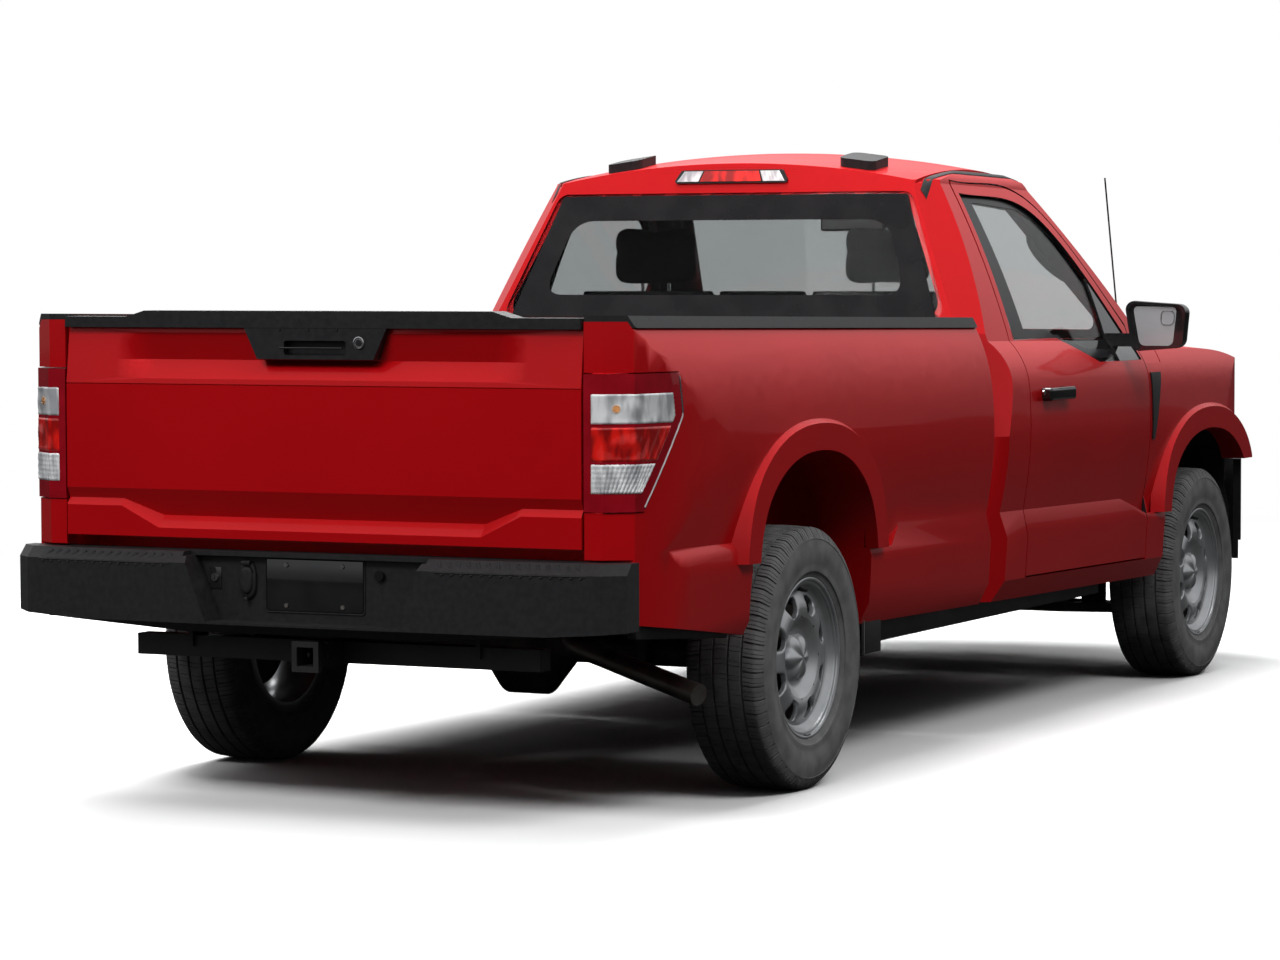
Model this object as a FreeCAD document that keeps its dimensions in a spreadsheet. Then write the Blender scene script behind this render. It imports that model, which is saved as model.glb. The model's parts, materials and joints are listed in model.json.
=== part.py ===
import FreeCAD, Part
import math
import os
import re
from types import SimpleNamespace

import Sketcher
from FreeCAD import Placement, Rotation, Vector

# Full-size pickup truck: regular cab, long load box, rear wheel drive.
# Millimetres. X is the vehicle's left, Y is rearward, Z is up. The origin lies on the
# ground, on the centreline, halfway along the vehicle.

SIZES = {
    # whole vehicle
    "overall_length": 5784,
    "wheelbase": 3594,
    "front_overhang": 958,
    "front_track": 1725,
    "rear_track": 1735,
    "body_half_width": 1000,
    "flare_stand": 14,
    "flare_bevel": 34,
    "shut_gap": 6,
    "running_clearance": 5,
    "seat_gap": 0.3,
    "turning_gap": 0.08,
    "overrun": 60,
    # body side, as heights over the ground at the middle of the length and insets from
    # the widest line
    "waist_height": 960,
    "shoulder_height": 1162,
    "shoulder_inset": 14,
    "groove_height": 714,
    "groove_inset": 27,
    "sill_height": 632,
    "sill_inset": 10,
    "crease_height": 492,
    "crease_inset": 19,
    "under_height": 425,
    "under_inset": 52,
    "strip_drop": 24,
    "strip_inset": 12,
    "dip_depth": 60,
    "dip_slant_inset": 6,
    "front_dip_at": -1041,
    "front_dip_low_at": -1281,
    "rear_dip_at": 982,
    "rear_dip_low_at": 1063,
    # cab
    "belt_height": 1264,
    "belt_half_width": 924,
    "roof_edge_height": 1778,
    "roof_edge_half_width": 704,
    "glass_bulge": 15,
    "roof_height": 1892,
    "roof_crown_at": -420,
    "roof_long_radius": 2650,
    "roof_cross_radius": 3300,
    "roof_corner_inset": 52,
    "roof_corner_rise": 48,
    "roof_skin_half_width": 646,
    "ditch_depth": 12,
    "ditch_width": 14,
    "roof_thickness": 34,
    "pillar_depth": 46,
    "cab_back_at": 214,
    "cab_back_crown": 22,
    "back_glass_lean": 164,
    "back_break_height": 1290,
    "cab_corner_bevel": 66,
    "cab_corner_length": 84,
    "back_wall": 48,
    "windshield_base_at": -1455,
    "windshield_base_bow": 170,
    "windshield_base_height": 1200,
    "windshield_base_half_width": 900,
    "windshield_top_at": -730,
    "windshield_top_bow": 100,
    "windshield_top_height": 1850,
    "windshield_top_half_width": 620,
    "windshield_frame": 40,
    "glass_thickness": 5,
    "glass_recess": 3,
    "windshield_low": 1262,
    "windshield_high": 1806,
    "windshield_low_half_width": 812,
    "windshield_high_half_width": 598,
    "back_glass_low": 1322,
    "back_glass_high": 1752,
    "back_glass_low_half_width": 812,
    "back_glass_high_half_width": 640,
    "glass_corner_radius": 46,
    "glass_frame": 16,
    "floor_height": 600,
    "floor_thickness": 36,
    "tunnel_half_width": 190,
    "tunnel_height": 120,
    "firewall_at": -1415,
    "firewall_thickness": 30,
    "rocker_width": 92,
    "hinge_post_length": 126,
    # doors
    "door_front_at": -1288,
    "door_rear_at": -86,
    "door_rear_top_at": -112,
    "door_top_rear_height": 1792,
    "door_thickness": 110,
    "door_skin": 14,
    "door_lap": 22,
    "door_foot_half_width": 885,
    "door_foot_end_at": -1215,
    "door_frame_depth": 40,
    "window_rail": 44,
    "window_sill_drop": 88,
    "pillar_line_low_at": -1272,
    "pillar_line_low_height": 1300,
    "pillar_line_mid_at": -980,
    "pillar_line_mid_height": 1592,
    "pillar_line_high_at": -800,
    "pillar_line_high_height": 1728,
    "trim_thickness": 40,
    "trim_pad": 46,
    "handle_length": 236,
    "handle_height": 44,
    "handle_stand": 34,
    "handle_centre_height": 1086,
    "handle_rear_inset": 112,
    "mirror_width": 224,
    "mirror_height": 176,
    "mirror_depth": 118,
    "mirror_centre_height": 1298,
    "mirror_face_at": -1022,
    "mirror_inner_half_width": 992,
    "mirror_arm_height": 46,
    "mirror_glass_recess": 6,
    "sail_rear_at": -1046,
    # nose
    "nose_round": 640,
    "face_setback": 86,
    "hood_half_width": 790,
    "hood_thickness": 30,
    "hood_rear_at": -1650,
    "hood_rear_corner_at": -1528,
    "hood_pin_at": -1545,
    "hood_pin_height": 1209,
    "hood_pin_radius": 7,
    "hood_pin_length": 26,
    "hood_pin_relief": 31,
    "hood_front_at": -2700,
    "fender_wall": 62,
    "fender_front_at": -2425,
    "lamp_inner_half_width": 600,
    "lamp_low_height": 830,
    "lamp_high_height": 1096,
    "lamp_depth": 150,
    "lamp_rear_low_at": -2500,
    "lamp_rear_high_at": -2405,
    "grille_low_height": 790,
    "grille_high_height": 1118,
    "grille_rim": 46,
    "grille_depth": 54,
    "grille_bar": 34,
    "bumper_high_height": 776,
    "bumper_low_height": 400,
    "bumper_depth": 96,
    "bumper_rear_at": -2398,
    "intake_half_width": 560,
    "intake_low_height": 470,
    "intake_high_height": 610,
    "intake_bar": 26,
    # wheel arches, measured from the wheel's centre
    "front_arch_half_length": 458,
    "front_arch_rise": 531,
    "rear_arch_half_length": 432,
    "rear_arch_rise": 601,
    "arch_lip_width": 112,
    "liner_gap": 14,
    "liner_thickness": 8,
    "liner_inner_half_width": 520,
    # load box
    "cab_box_gap": 30,
    "rail_height": 1324,
    "rail_half_width": 926,
    "rail_inner_half_width": 818,
    "box_wall_half_width": 828,
    "box_floor_height": 800,
    "box_floor_thickness": 26,
    "floor_rib_height": 10,
    "floor_rib_width": 70,
    "floor_rib_pitch": 128,
    "wheelhouse_half_width": 642,
    "wheelhouse_thickness": 20,
    "box_front_wall": 40,
    "box_tail_at": 2786,
    "tail_round": 520,
    "tail_bevel": 58,
    "tail_flank_drop": 72,
    "rail_cap_height": 16,
    "tail_lamp_low": 863,
    "tail_lamp_high": 1229,
    "tail_lamp_stand": 3,
    "tail_lamp_high_length": 240,
    "tail_lamp_mid_length": 258,
    "tail_lamp_low_length": 84,
    "tail_rise": 60,
    # tailgate
    "tailgate_half_width": 811,
    "tailgate_low": 763,
    "tailgate_high": 1346,
    "tailgate_thickness": 66,
    "tailgate_hinge_height": 790,
    "tailgate_hinge_inset": 36,
    "tailgate_pin_radius": 12,
    "tailgate_pin_length": 26,
    "tailgate_crease_height": 1186,
    "tailgate_crease_depth": 4,
    "tailgate_step": 12,
    "band_high": 1332,
    "band_deep_height": 1257,
    "band_low": 1204,
    "band_depth": 34,
    "band_half_width": 532,
    "band_end_half_width": 650,
    "ledge_high": 896,
    "ledge_deep_height": 822,
    "ledge_low": 788,
    "ledge_depth": 30,
    "ledge_half_width": 508,
    "ledge_side_half_width": 630,
    "ledge_side_deep_height": 867,
    "ledge_side_low": 847,
    "ledge_side_depth": 13,
    "spoiler_height": 30,
    "spoiler_raise": 17,
    "spoiler_raise_half_width": 548,
    "bezel_top_half_width": 225,
    "bezel_low_half_width": 183,
    "bezel_low_height": 1261,
    "bezel_stand": 16,
    "pull_half_width": 98,
    "pull_low_height": 1272,
    "pull_high_height": 1312,
    "pull_depth": 26,
    # rear bumper and hitch
    "rear_bumper_half_width": 957,
    "rear_bumper_flat_half_width": 900,
    "rear_bumper_high": 730,
    "rear_bumper_low": 510,
    "rear_bumper_end_low": 548,
    "rear_bumper_front_at": 2742,
    "rear_bumper_wall": 22,
    "plate_recess_top_half_width": 384,
    "plate_recess_low_half_width": 300,
    "plate_recess_depth": 92,
    "plate_recess_step": 12,
    "rear_bumper_chamfer": 30,
    "rear_bumper_tuck": 25,
    "rear_bumper_tuck_height": 24,
    "rear_bumper_corner": 46,
    "plate_height": 152,
    "plate_low": 562,
    "plate_hole_spacing": 178,
    "plate_hole_radius": 3.3,
    "plate_hole_drop": 16,
    "receiver_size": 64,
    "receiver_wall": 6,
    "receiver_height": 452,
    "receiver_mouth_at": 2858,
    "receiver_length": 250,
    "receiver_collar": 10,
    "receiver_pin_radius": 8.3,
    "receiver_pin_setback": 64,
    "hitch_tube": 60,
    "hitch_half_width": 640,
    "hitch_tube_at": 2640,
    # tyres, rims and hubs
    "tyre_radius": 382,
    "tyre_width": 245,
    "tread_width": 196,
    "shoulder_drop": 30,
    "rim_width": 210,
    "flange_radius": 234,
    "flange_thickness": 8,
    "drop_radius": 190,
    "barrel_wall": 9,
    "wheel_offset": 44,
    "disc_sheet": 16,
    "dish_radius": 186,
    "crown_radius": 142,
    "crown_stand": 88,
    "bolt_face_radius": 92,
    "bolt_face_stand": 60,
    "cap_radius": 56,
    "cap_stand": 90,
    "window_inner_radius": 116,
    "window_outer_radius": 172,
    "window_inner_half_width": 20,
    "window_outer_half_width": 40,
    "window_corner_radius": 12,
    "hub_bore_radius": 32,
    "hub_radius": 74,
    "brake_disc_radius": 156,
    "brake_disc_thickness": 24,
    "brake_disc_stand": 2,
    # front suspension and steering
    "steer_axis_inset": 80,
    "ball_joint_rise": 140,
    "upright_radius": 24,
    "pin_radius": 14,
    "arm_eye_radius": 30,
    "arm_thickness": 34,
    "lower_arm_spread": 105,
    "upper_arm_spread": 150,
    "arm_leg_width": 40,
    "arm_crotch": 90,
    "spring_radius": 46,
    "spring_at": 560,
    "spring_top": 760,
    "steering_arm_length": 120,
    "steering_arm_inset": 32,
    "steering_arm_width": 34,
    "steering_arm_thickness": 14,
    "steering_arm_drop": 74,
    "tie_rod_radius": 11,
    "tie_rod_rise": 26,
    "rack_housing_radius": 28,
    "rack_housing_half_length": 330,
    "caliper_length": 116,
    "caliper_near": 96,
    "caliper_far": 164,
    "caliper_inner": 28,
    "caliper_outer": 38,
    "bracket_thickness": 40,
    "bearing_radius": 52,
    # frame
    "rail_outer_half_width": 450,
    "rail_tube_width": 66,
    "frame_rail_low": 400,
    "frame_rail_depth": 140,
    "frame_kick_low": 566,
    "frame_kick_depth": 128,
    "frame_tail_low": 520,
    "frame_tail_depth": 110,
    "frame_nose_low": 470,
    "frame_nose_depth": 130,
    "frame_kick_half_length": 420,
    "frame_ramp_length": 300,
    "frame_nose_at": -2700,
    "frame_tail_at": 2726,
    "crossmember_size": 70,
    "mount_radius": 34,
    "cab_mount_first_at": -1250,
    "cab_mount_middle_at": -640,
    "cab_mount_last_at": 60,
    "bed_mount_first_at": 400,
    "bed_mount_second_at": 880,
    "bed_mount_third_at": 1300,
    "bed_mount_fourth_at": 2020,
    "bed_mount_last_at": 2560,
    "bed_sill_height": 60,
    "bed_sill_width": 90,
    "bumper_pad_depth": 60,
    # rear axle
    "axle_tube_radius": 42,
    "differential_radius": 141,
    "differential_half_length": 150,
    "differential_flat": 60,
    "differential_offset": -72,
    "carrier_radius": 70,
    "carrier_length": 250,
    "axle_flange_radius": 60,
    "axle_flange_length": 30,
    "shaft_radius": 42,
    "shaft_front_at": -900,
    "leaf_half_width": 32,
    "leaf_at": 540,
    "leaf_half_length": 700,
    "leaf_thickness": 30,
    "leaf_front_rise": 50,
    "leaf_rear_rise": 110,
    "leaf_eye_radius": 24,
    "shock_radius": 24,
    "shock_low": 350,
    "shock_high": 660,
    "shock_eye_radius": 14,
    # engine and underfloor
    "engine_length": 640,
    "engine_width": 600,
    "engine_low": 452,
    "engine_height": 600,
    "engine_front_at": -2280,
    "gearbox_radius": 150,
    "gearbox_tail_radius": 60,
    "gearbox_height": 480,
    "tank_width": 290,
    "tank_length": 980,
    "tank_height": 185,
    "tank_low": 370,
    "tank_inner_at": 84,
    "tank_front_at": 20,
    "tank_edge_radius": 40,
    "pipe_radius": 31,
    "pipe_bend": 110,
    "muffler_width": 230,
    "muffler_height": 150,
    "muffler_length": 620,
    "muffler_front_at": -60,
    "pipe_height": 455,
    "pipe_inner_at": -262,
    "pipe_over_axle_at": -320,
    "pipe_over_axle_height": 530,
    "pipe_under_rail_at": -430,
    "pipe_under_rail_height": 440,
    "pipe_under_rail_back": 440,
    "pipe_tip_half_width": 905,
    "pipe_tip_at": 2262,
    "pipe_tip_height": 330,
    "radiator_high": 1040,
    "radiator_thickness": 70,
    "radiator_at": -2620,
    "carrier_low": 846,
    "carrier_high": 900,
    "carrier_depth": 40,
    # inside the cab
    "dash_rear_at": -1120,
    "dash_low": 760,
    "dash_high": 1150,
    "dash_half_width": 800,
    "cluster_rise": 46,
    "cluster_half_width": 190,
    "driver_at": 400,
    "steering_wheel_radius": 188,
    "steering_wheel_grip": 15,
    "steering_wheel_at": -930,
    "steering_wheel_height": 1062,
    "steering_wheel_hub_radius": 66,
    "column_radius": 30,
    "column_lean": 24,
    "column_length": 250,
    "seat_width": 500,
    "seat_centre_width": 330,
    "seat_at": 430,
    "cushion_front_at": -860,
    "cushion_rear_at": -270,
    "cushion_low": 640,
    "cushion_high": 850,
    "backrest_thickness": 130,
    "backrest_lean": 110,
    "backrest_height": 620,
    "headrest_width": 260,
    "headrest_height": 190,
    "headrest_thickness": 90,
    "headrest_lift": 40,
    # small outside pieces
    "antenna_half_width": 812,
    "antenna_at": -1494,
    "antenna_radius": 3,
    "antenna_height": 588,
    "antenna_lean": 165,
    "antenna_foot_radius": 16,
    "pod_inner": 362,
    "pod_outer": 490,
    "pod_length": 150,
    "pod_rear_at": 20,
    "pod_height": 30,
    "stop_lamp_half_width": 211,
    "stop_lamp_top_half_width": 184,
    "stop_lamp_low": 1784,
    "stop_lamp_high": 1828,
    "stop_lamp_depth": 26,
    "vent_length": 106,
    "vent_low_length": 22,
    "vent_low": 895,
    "vent_high": 1130,
    "vent_inset": 12,
    "vent_stand": 5,
    "guard_low": 346,
    "guard_thickness": 10,
}

# How far the body lines rise for each millimetre towards the tail.
RAKE_SHARE = 0.0154
# Arch outline: shares of the arch's half length and of its rise, from foot to crown.
ARCH_SHARES = [
    (1.0, 0.0), (1.0, 0.3), (0.975, 0.53), (0.87, 0.735), (0.65, 0.885), (0.34, 0.975), (0.0, 1.0)
]
# Nose in plan: shares of the body's half width and of the nose's rounding.
NOSE_SHARES = [(0.0, 0.0), (0.3, 0.05), (0.6, 0.16), (0.8, 0.32), (0.9, 0.48), (0.96, 0.675), (1.0, 1.0)]
# Tail in plan: shares of the body's half width and of the tail's rounding.
TAIL_SHARES = [(1.0, 1.0), (0.994, 0.66), (0.972, 0.33), (0.94, 0.1)]
# Front top surface: shares of the length from door to nose, then centre height and side
# drop as shares of the belt height.
TOP_SHARES = [
    (-0.1, 1.002, 0.044),
    (0.0, 1.0, 0.046),
    (0.4, 0.989, 0.047),
    (0.6, 0.974, 0.052),
    (0.73, 0.952, 0.075),
    (0.85, 0.916, 0.115),
    (1.0, 0.84, 0.16),
]
# Top of the flank between top edge and shoulder: shares of its lean and of its drop.
FLANK_SHARES = (0.68, 0.55)
# Outward and upward shares of the roof corner's arc at its middle.
ROOF_CORNER_SHARES = (0.33, 0.72)
RIM_WINDOWS = 8
# Points nearer than this are the same point.
SAME_POINT = 1e-4

doc = FreeCAD.newDocument("pickup_truck")
sheet = doc.addObject("Spreadsheet::Sheet", "sizes")
for row, (name, size) in enumerate(SIZES.items(), 1):
    sheet.set(f"A{row}", str(size))
    sheet.setAlias(f"A{row}", name)
doc.recompute()
S = SimpleNamespace(**{name: float(sheet.get(name)) for name in SIZES})

S.nose_at = -S.overall_length / 2
S.front_axle_at = S.nose_at + S.front_overhang
S.rear_axle_at = S.front_axle_at + S.wheelbase
S.box_front_at = S.cab_back_at + S.cab_box_gap
FRONT_AXLE = "front_overhang - overall_length / 2"
REAR_AXLE = "front_overhang + wheelbase - overall_length / 2"

nodes = []


def formula(text):
    """A formula in plain size names, with each name made a cell of the sheet."""
    return re.sub(
        r"[a-z][a-z_]*",
        lambda word: "sizes." + word.group() if word.group() in SIZES else word.group(),
        text,
    )


def bind(item, field, text):
    """Bind one property of an object to a formula."""
    item.setExpression(field, formula(text))


def node(item, name):
    """Name an object as one finished piece of the vehicle."""
    item.Label = name
    nodes.append(item)
    return item


def shape_node(name, shape):
    """A finished piece whose free-form shape the code has worked out."""
    item = doc.addObject("Part::Feature", name)
    item.Shape = shape
    return node(item, name)


# Sketched bodies


def new_body(name, x="0", y="0", z="0", turn=None):
    body = doc.addObject("PartDesign::Body", name)
    if turn:
        body.Placement = Placement(Vector(), turn)
    for field, text in (("x", x), ("y", y), ("z", z)):
        bind(body, "Placement.Base." + field, text)
    return body


def sketch(body, plane, corners, offset="0"):
    """A closed outline on one of the body's own planes, each corner a pair of formulas."""
    outline = body.newObject("Sketcher::SketchObject", "outline")
    support = next(item for item in body.Origin.OriginFeatures if item.Role == plane)
    outline.AttachmentSupport = [(support, "")]
    outline.MapMode = "FlatFace"
    bind(outline, "AttachmentOffset.Base.z", offset)
    count = len(corners)
    ring = [
        Vector(math.cos(2 * math.pi * i / count), math.sin(2 * math.pi * i / count), 0)
        for i in range(count)
    ]
    for i in range(count):
        outline.addGeometry(Part.LineSegment(ring[i], ring[(i + 1) % count]))
    for i in range(count):
        outline.addConstraint(Sketcher.Constraint("Coincident", i, 2, (i + 1) % count, 1))
    for i, (across, up) in enumerate(corners):
        for kind, text, start in (("DistanceX", across, ring[i].x), ("DistanceY", up, ring[i].y)):
            index = outline.addConstraint(Sketcher.Constraint(kind, -1, 1, i, 1, start))
            bind(outline, f"Constraints[{index}]", text)
    return outline


def pad(body, outline, length, symmetric=False, reversed_way=False):
    feature = body.newObject("PartDesign::Pad", "pad")
    feature.Profile = outline
    bind(feature, "Length", length)
    if symmetric:
        feature.SideType = "Symmetric"
    feature.Reversed = reversed_way
    return feature


def pocket(body, outline, length, symmetric=False, reversed_way=False):
    feature = body.newObject("PartDesign::Pocket", "pocket")
    feature.Profile = outline
    bind(feature, "Length", length)
    if symmetric:
        feature.SideType = "Symmetric"
    feature.Reversed = reversed_way
    return feature


def revolve(body, outline, axis="H_Axis"):
    feature = body.newObject("PartDesign::Revolution", "turned")
    feature.Profile = outline
    feature.ReferenceAxis = (outline, [axis])
    feature.Angle = 360
    return feature


def repeat(body, feature, count, plane_role):
    pattern = body.newObject("PartDesign::PolarPattern", "repeat")
    pattern.Originals = [feature]
    pattern.Axis = (next(f for f in body.Origin.OriginFeatures if f.Role == plane_role), [""])
    pattern.Angle = 360
    pattern.Occurrences = count
    body.Tip = pattern
    return pattern


def fuse_objects(name, items):
    fused = doc.addObject("Part::MultiFuse", name)
    fused.Shapes = items
    return fused


def cut_objects(name, base, tool):
    cut = doc.addObject("Part::Cut", name)
    cut.Base = base
    cut.Tool = tool
    return cut


def block(name, length, width, height, x, y, z):
    """A Part box whose three sizes and corner are formulas: X, Y and Z in turn."""
    item = doc.addObject("Part::Box", name)
    for field, text in (
        ("Length", length),
        ("Width", width),
        ("Height", height),
        ("Placement.Base.x", x),
        ("Placement.Base.y", y),
        ("Placement.Base.z", z),
    ):
        bind(item, field, text)
    return item


def rod(name, radius, length, x, y, z, direction):
    """A Part cylinder whose sizes and foot are formulas, pointing along a direction."""
    item = doc.addObject("Part::Cylinder", name)
    item.Placement = Placement(Vector(), Rotation(Vector(0, 0, 1), direction))
    for field, text in (
        ("Radius", radius),
        ("Height", length),
        ("Placement.Base.x", x),
        ("Placement.Base.y", y),
        ("Placement.Base.z", z),
    ):
        bind(item, field, text)
    return item


# Free-form shapes


def curve(points):
    """An edge that runs smoothly through points."""
    spline = Part.BSplineCurve()
    spline.interpolate(points)
    return spline.toShape()


def ring_wire(parts):
    """A closed wire from edges and single points, joined by straight lines in turn."""
    edges = []
    ends = []
    for item in parts:
        if isinstance(item, Vector):
            ends.append((item, item))
        else:
            ends.append((item.Vertexes[0].Point, item.Vertexes[-1].Point))
    for i, item in enumerate(parts):
        if not isinstance(item, Vector):
            edges.append(item)
        here = ends[i][1]
        ahead = ends[(i + 1) % len(parts)][0]
        if not here.isEqual(ahead, SAME_POINT):
            edges.append(Part.makeLine(here, ahead))
    return Part.Wire(edges)


def rounded_face(points, radius):
    """A flat face whose straight-sided outline has round corners of one radius."""
    count = len(points)
    trimmed = []
    for i in range(count):
        corner = points[i]
        back = (points[i - 1] - corner).normalize()
        ahead = (points[(i + 1) % count] - corner).normalize()
        half_turn = (math.pi - back.getAngle(ahead)) / 2
        reach = radius * math.tan(half_turn)
        middle = (back + ahead).normalize() * (radius / math.cos(half_turn) - radius)
        trimmed.append((corner + back * reach, corner + middle, corner + ahead * reach))
    edges = []
    for i in range(count):
        edges.append(Part.Arc(*trimmed[i]).toShape())
        edges.append(Part.makeLine(trimmed[i][2], trimmed[(i + 1) % count][0]))
    return Part.Face(Part.Wire(edges))


def along_y(flat, y_start, y_end, rise_share=0.0):
    """A flat XZ face drawn at Y zero, run from one station to another as it rises."""
    flat = flat.copy()
    flat.translate(Vector(0, y_start, rise_share * y_start))
    return flat.extrude(Vector(0, y_end - y_start, rise_share * (y_end - y_start)))


def along_x(flat, x_start, x_end):
    """A flat YZ face drawn at X zero, run from one half width to another."""
    flat = flat.copy()
    flat.translate(Vector(x_start, 0, 0))
    return flat.extrude(Vector(x_end - x_start, 0, 0))


def along_z(flat, z_start, z_end):
    flat = flat.copy()
    flat.translate(Vector(0, 0, z_start))
    return flat.extrude(Vector(0, 0, z_end - z_start))


def box_between(x, y, z):
    """A box from its lowest and highest X, Y and Z."""
    return Part.makeBox(x[1] - x[0], y[1] - y[0], z[1] - z[0], Vector(x[0], y[0], z[0]))


def mirror(shape):
    """The same shape on the vehicle's other side."""
    return shape.mirror(Vector(0, 0, 0), Vector(1, 0, 0))


def pair(shape):
    """A shape and its mirror image, one solid each."""
    return Part.makeCompound(solids(shape) + solids(mirror(shape)))


def solids(shape):
    return list(shape.Solids)


def fuse(*shapes):
    first, *rest = shapes
    return first.fuse(rest).removeSplitter()


def largest(shape):
    """The main solid of a shape, without slivers that a cut left beside it."""
    return max(shape.Solids, key=lambda solid: solid.Volume)


def tube(points, radius, bend):
    """A round bar along straight runs joined by tangent arcs."""
    edges = []
    last = points[0]
    for i in range(1, len(points) - 1):
        corner = points[i]
        back = (points[i - 1] - corner).normalize()
        ahead = (points[i + 1] - corner).normalize()
        half_turn = (math.pi - back.getAngle(ahead)) / 2
        reach = bend * math.tan(half_turn)
        middle = (back + ahead).normalize() * (bend / math.cos(half_turn) - bend)
        edges.append(Part.makeLine(last, corner + back * reach))
        edges.append(Part.Arc(corner + back * reach, corner + middle, corner + ahead * reach).toShape())
        last = corner + ahead * reach
    edges.append(Part.makeLine(last, points[-1]))
    path = Part.Wire(edges)
    start = Part.Wire(Part.makeCircle(radius, points[0], points[1] - points[0]))
    return path.makePipeShell([start], True, False)


# Body surfaces that several pieces share


def lower_side_points():
    """Right-hand half widths and heights of the body side, from groove to underside."""
    half = S.body_half_width
    return [
        Vector(half - S.groove_inset, 0, S.groove_height),
        Vector(half - S.sill_inset, 0, S.sill_height),
        Vector(half - S.crease_inset, 0, S.crease_height),
        Vector(half - S.under_inset, 0, S.under_height),
    ]


def flank_curve(top):
    """The smooth flank from a top edge over the shoulder and the waist to the groove."""
    half = S.body_half_width
    drop = top.z - S.shoulder_height
    lean = half - S.shoulder_inset - top.x
    return curve(
        [
            top,
            Vector(top.x + lean * FLANK_SHARES[0], 0, top.z - drop * FLANK_SHARES[1]),
            Vector(half - S.shoulder_inset, 0, S.shoulder_height),
            Vector(half - S.shoulder_inset / 7, 0, (S.shoulder_height + S.waist_height) / 2),
            Vector(half, 0, S.waist_height),
            Vector(half - S.groove_inset / 3, 0, (S.waist_height + S.groove_height) / 2),
            Vector(half - S.groove_inset, 0, S.groove_height),
        ]
    )


def box_section():
    """Outer half section of the load box, closed on the centreline."""
    top = Vector(S.rail_half_width, 0, S.rail_height)
    return Part.Face(
        ring_wire(
            [Vector(0, 0, S.rail_height), flank_curve(top)]
            + lower_side_points()[1:]
            + [Vector(0, 0, S.under_height)]
        )
    )


def fender_section(inset):
    """Outer half section of the fenders, square above the belt, drawn in by an inset."""
    top = Vector(S.belt_half_width, 0, S.belt_height)
    flat = Part.Face(
        ring_wire(
            [
                Vector(inset, 0, S.rail_height),
                top + Vector(0, 0, S.rail_height - S.belt_height),
                flank_curve(top),
            ]
            + lower_side_points()[1:]
            + [Vector(inset, 0, S.under_height)]
        )
    )
    flat.translate(Vector(-inset, 0, 0))
    return flat


def cab_section(inset):
    """Outer half section of the cab, closed on the centreline and drawn in by an inset."""
    top = Vector(S.belt_half_width - inset, 0, S.belt_height)
    edge = Vector(S.roof_edge_half_width - inset, 0, S.roof_edge_height)
    lean = (top + edge) * 0.5 + Vector(S.glass_bulge, 0, 0)
    over, up = ROOF_CORNER_SHARES
    corner = edge + Vector(-S.roof_corner_inset * over, 0, S.roof_corner_rise * up)
    inner = edge + Vector(-S.roof_corner_inset, 0, S.roof_corner_rise)
    crown = Vector(0, 0, S.roof_height + S.overrun)
    flank = flank_curve(Vector(S.belt_half_width, 0, S.belt_height))
    flank.translate(Vector(-inset, 0, 0))
    low = [point - Vector(inset, 0, 0) for point in lower_side_points()]
    return Part.Face(
        ring_wire(
            [
                crown,
                inner + Vector(0, 0, S.overrun),
                Part.Arc(inner, corner, edge).toShape(),
                Part.Arc(edge, lean, top).toShape(),
                flank,
            ]
            + low[1:]
            + [Vector(0, 0, S.under_height)]
        )
    )


def roof_dome(drop):
    """Everything under the roof's doubly curved skin, lowered by a drop."""
    centre = S.roof_height - drop - S.roof_long_radius
    crown = S.roof_height - drop
    half = S.body_half_width
    sag = half * half / (2 * S.roof_cross_radius)
    top = Part.Arc(
        Vector(-half, 0, crown - sag), Vector(0, 0, crown), Vector(half, 0, crown - sag)
    ).toShape()
    flat = Part.Face(
        ring_wire([top, Vector(half, 0, centre + S.overrun), Vector(-half, 0, centre + S.overrun)])
    )
    flat.rotate(Vector(0, 0, centre), Vector(1, 0, 0), -360 / 6)
    dome = flat.revolve(Vector(0, 0, centre), Vector(1, 0, 0), 360 / 3)
    dome.translate(Vector(0, S.roof_crown_at, 0))
    return dome


def behind_windshield(inset):
    """Everything behind the windshield's surface, set back by an inset."""
    far = S.overall_length
    wide = S.body_half_width * 2
    rise = S.windshield_top_height - S.windshield_base_height
    slope = (S.windshield_top_at - S.windshield_base_at) / rise
    back = inset * math.hypot(1, slope)
    wires = []
    for share, level in ((0, 0), (0, S.windshield_base_height), (2, S.windshield_base_height + rise * 2)):
        half = S.windshield_base_half_width + share * (
            S.windshield_top_half_width - S.windshield_base_half_width
        )
        corner = S.windshield_base_at + share * (S.windshield_top_at - S.windshield_base_at) + back
        bow = S.windshield_base_bow + share * (S.windshield_top_bow - S.windshield_base_bow)
        side = corner + bow * (wide * wide / (half * half) - 1)
        arc = Part.Arc(
            Vector(wide, side, level), Vector(0, corner - bow, level), Vector(-wide, side, level)
        ).toShape()
        wires.append(ring_wire([arc, Vector(-wide, far, level), Vector(wide, far, level)]))
    low = Part.makeLoft(wires[:2], True, True)
    return low.fuse(Part.makeLoft(wires[1:], True, True))


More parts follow.
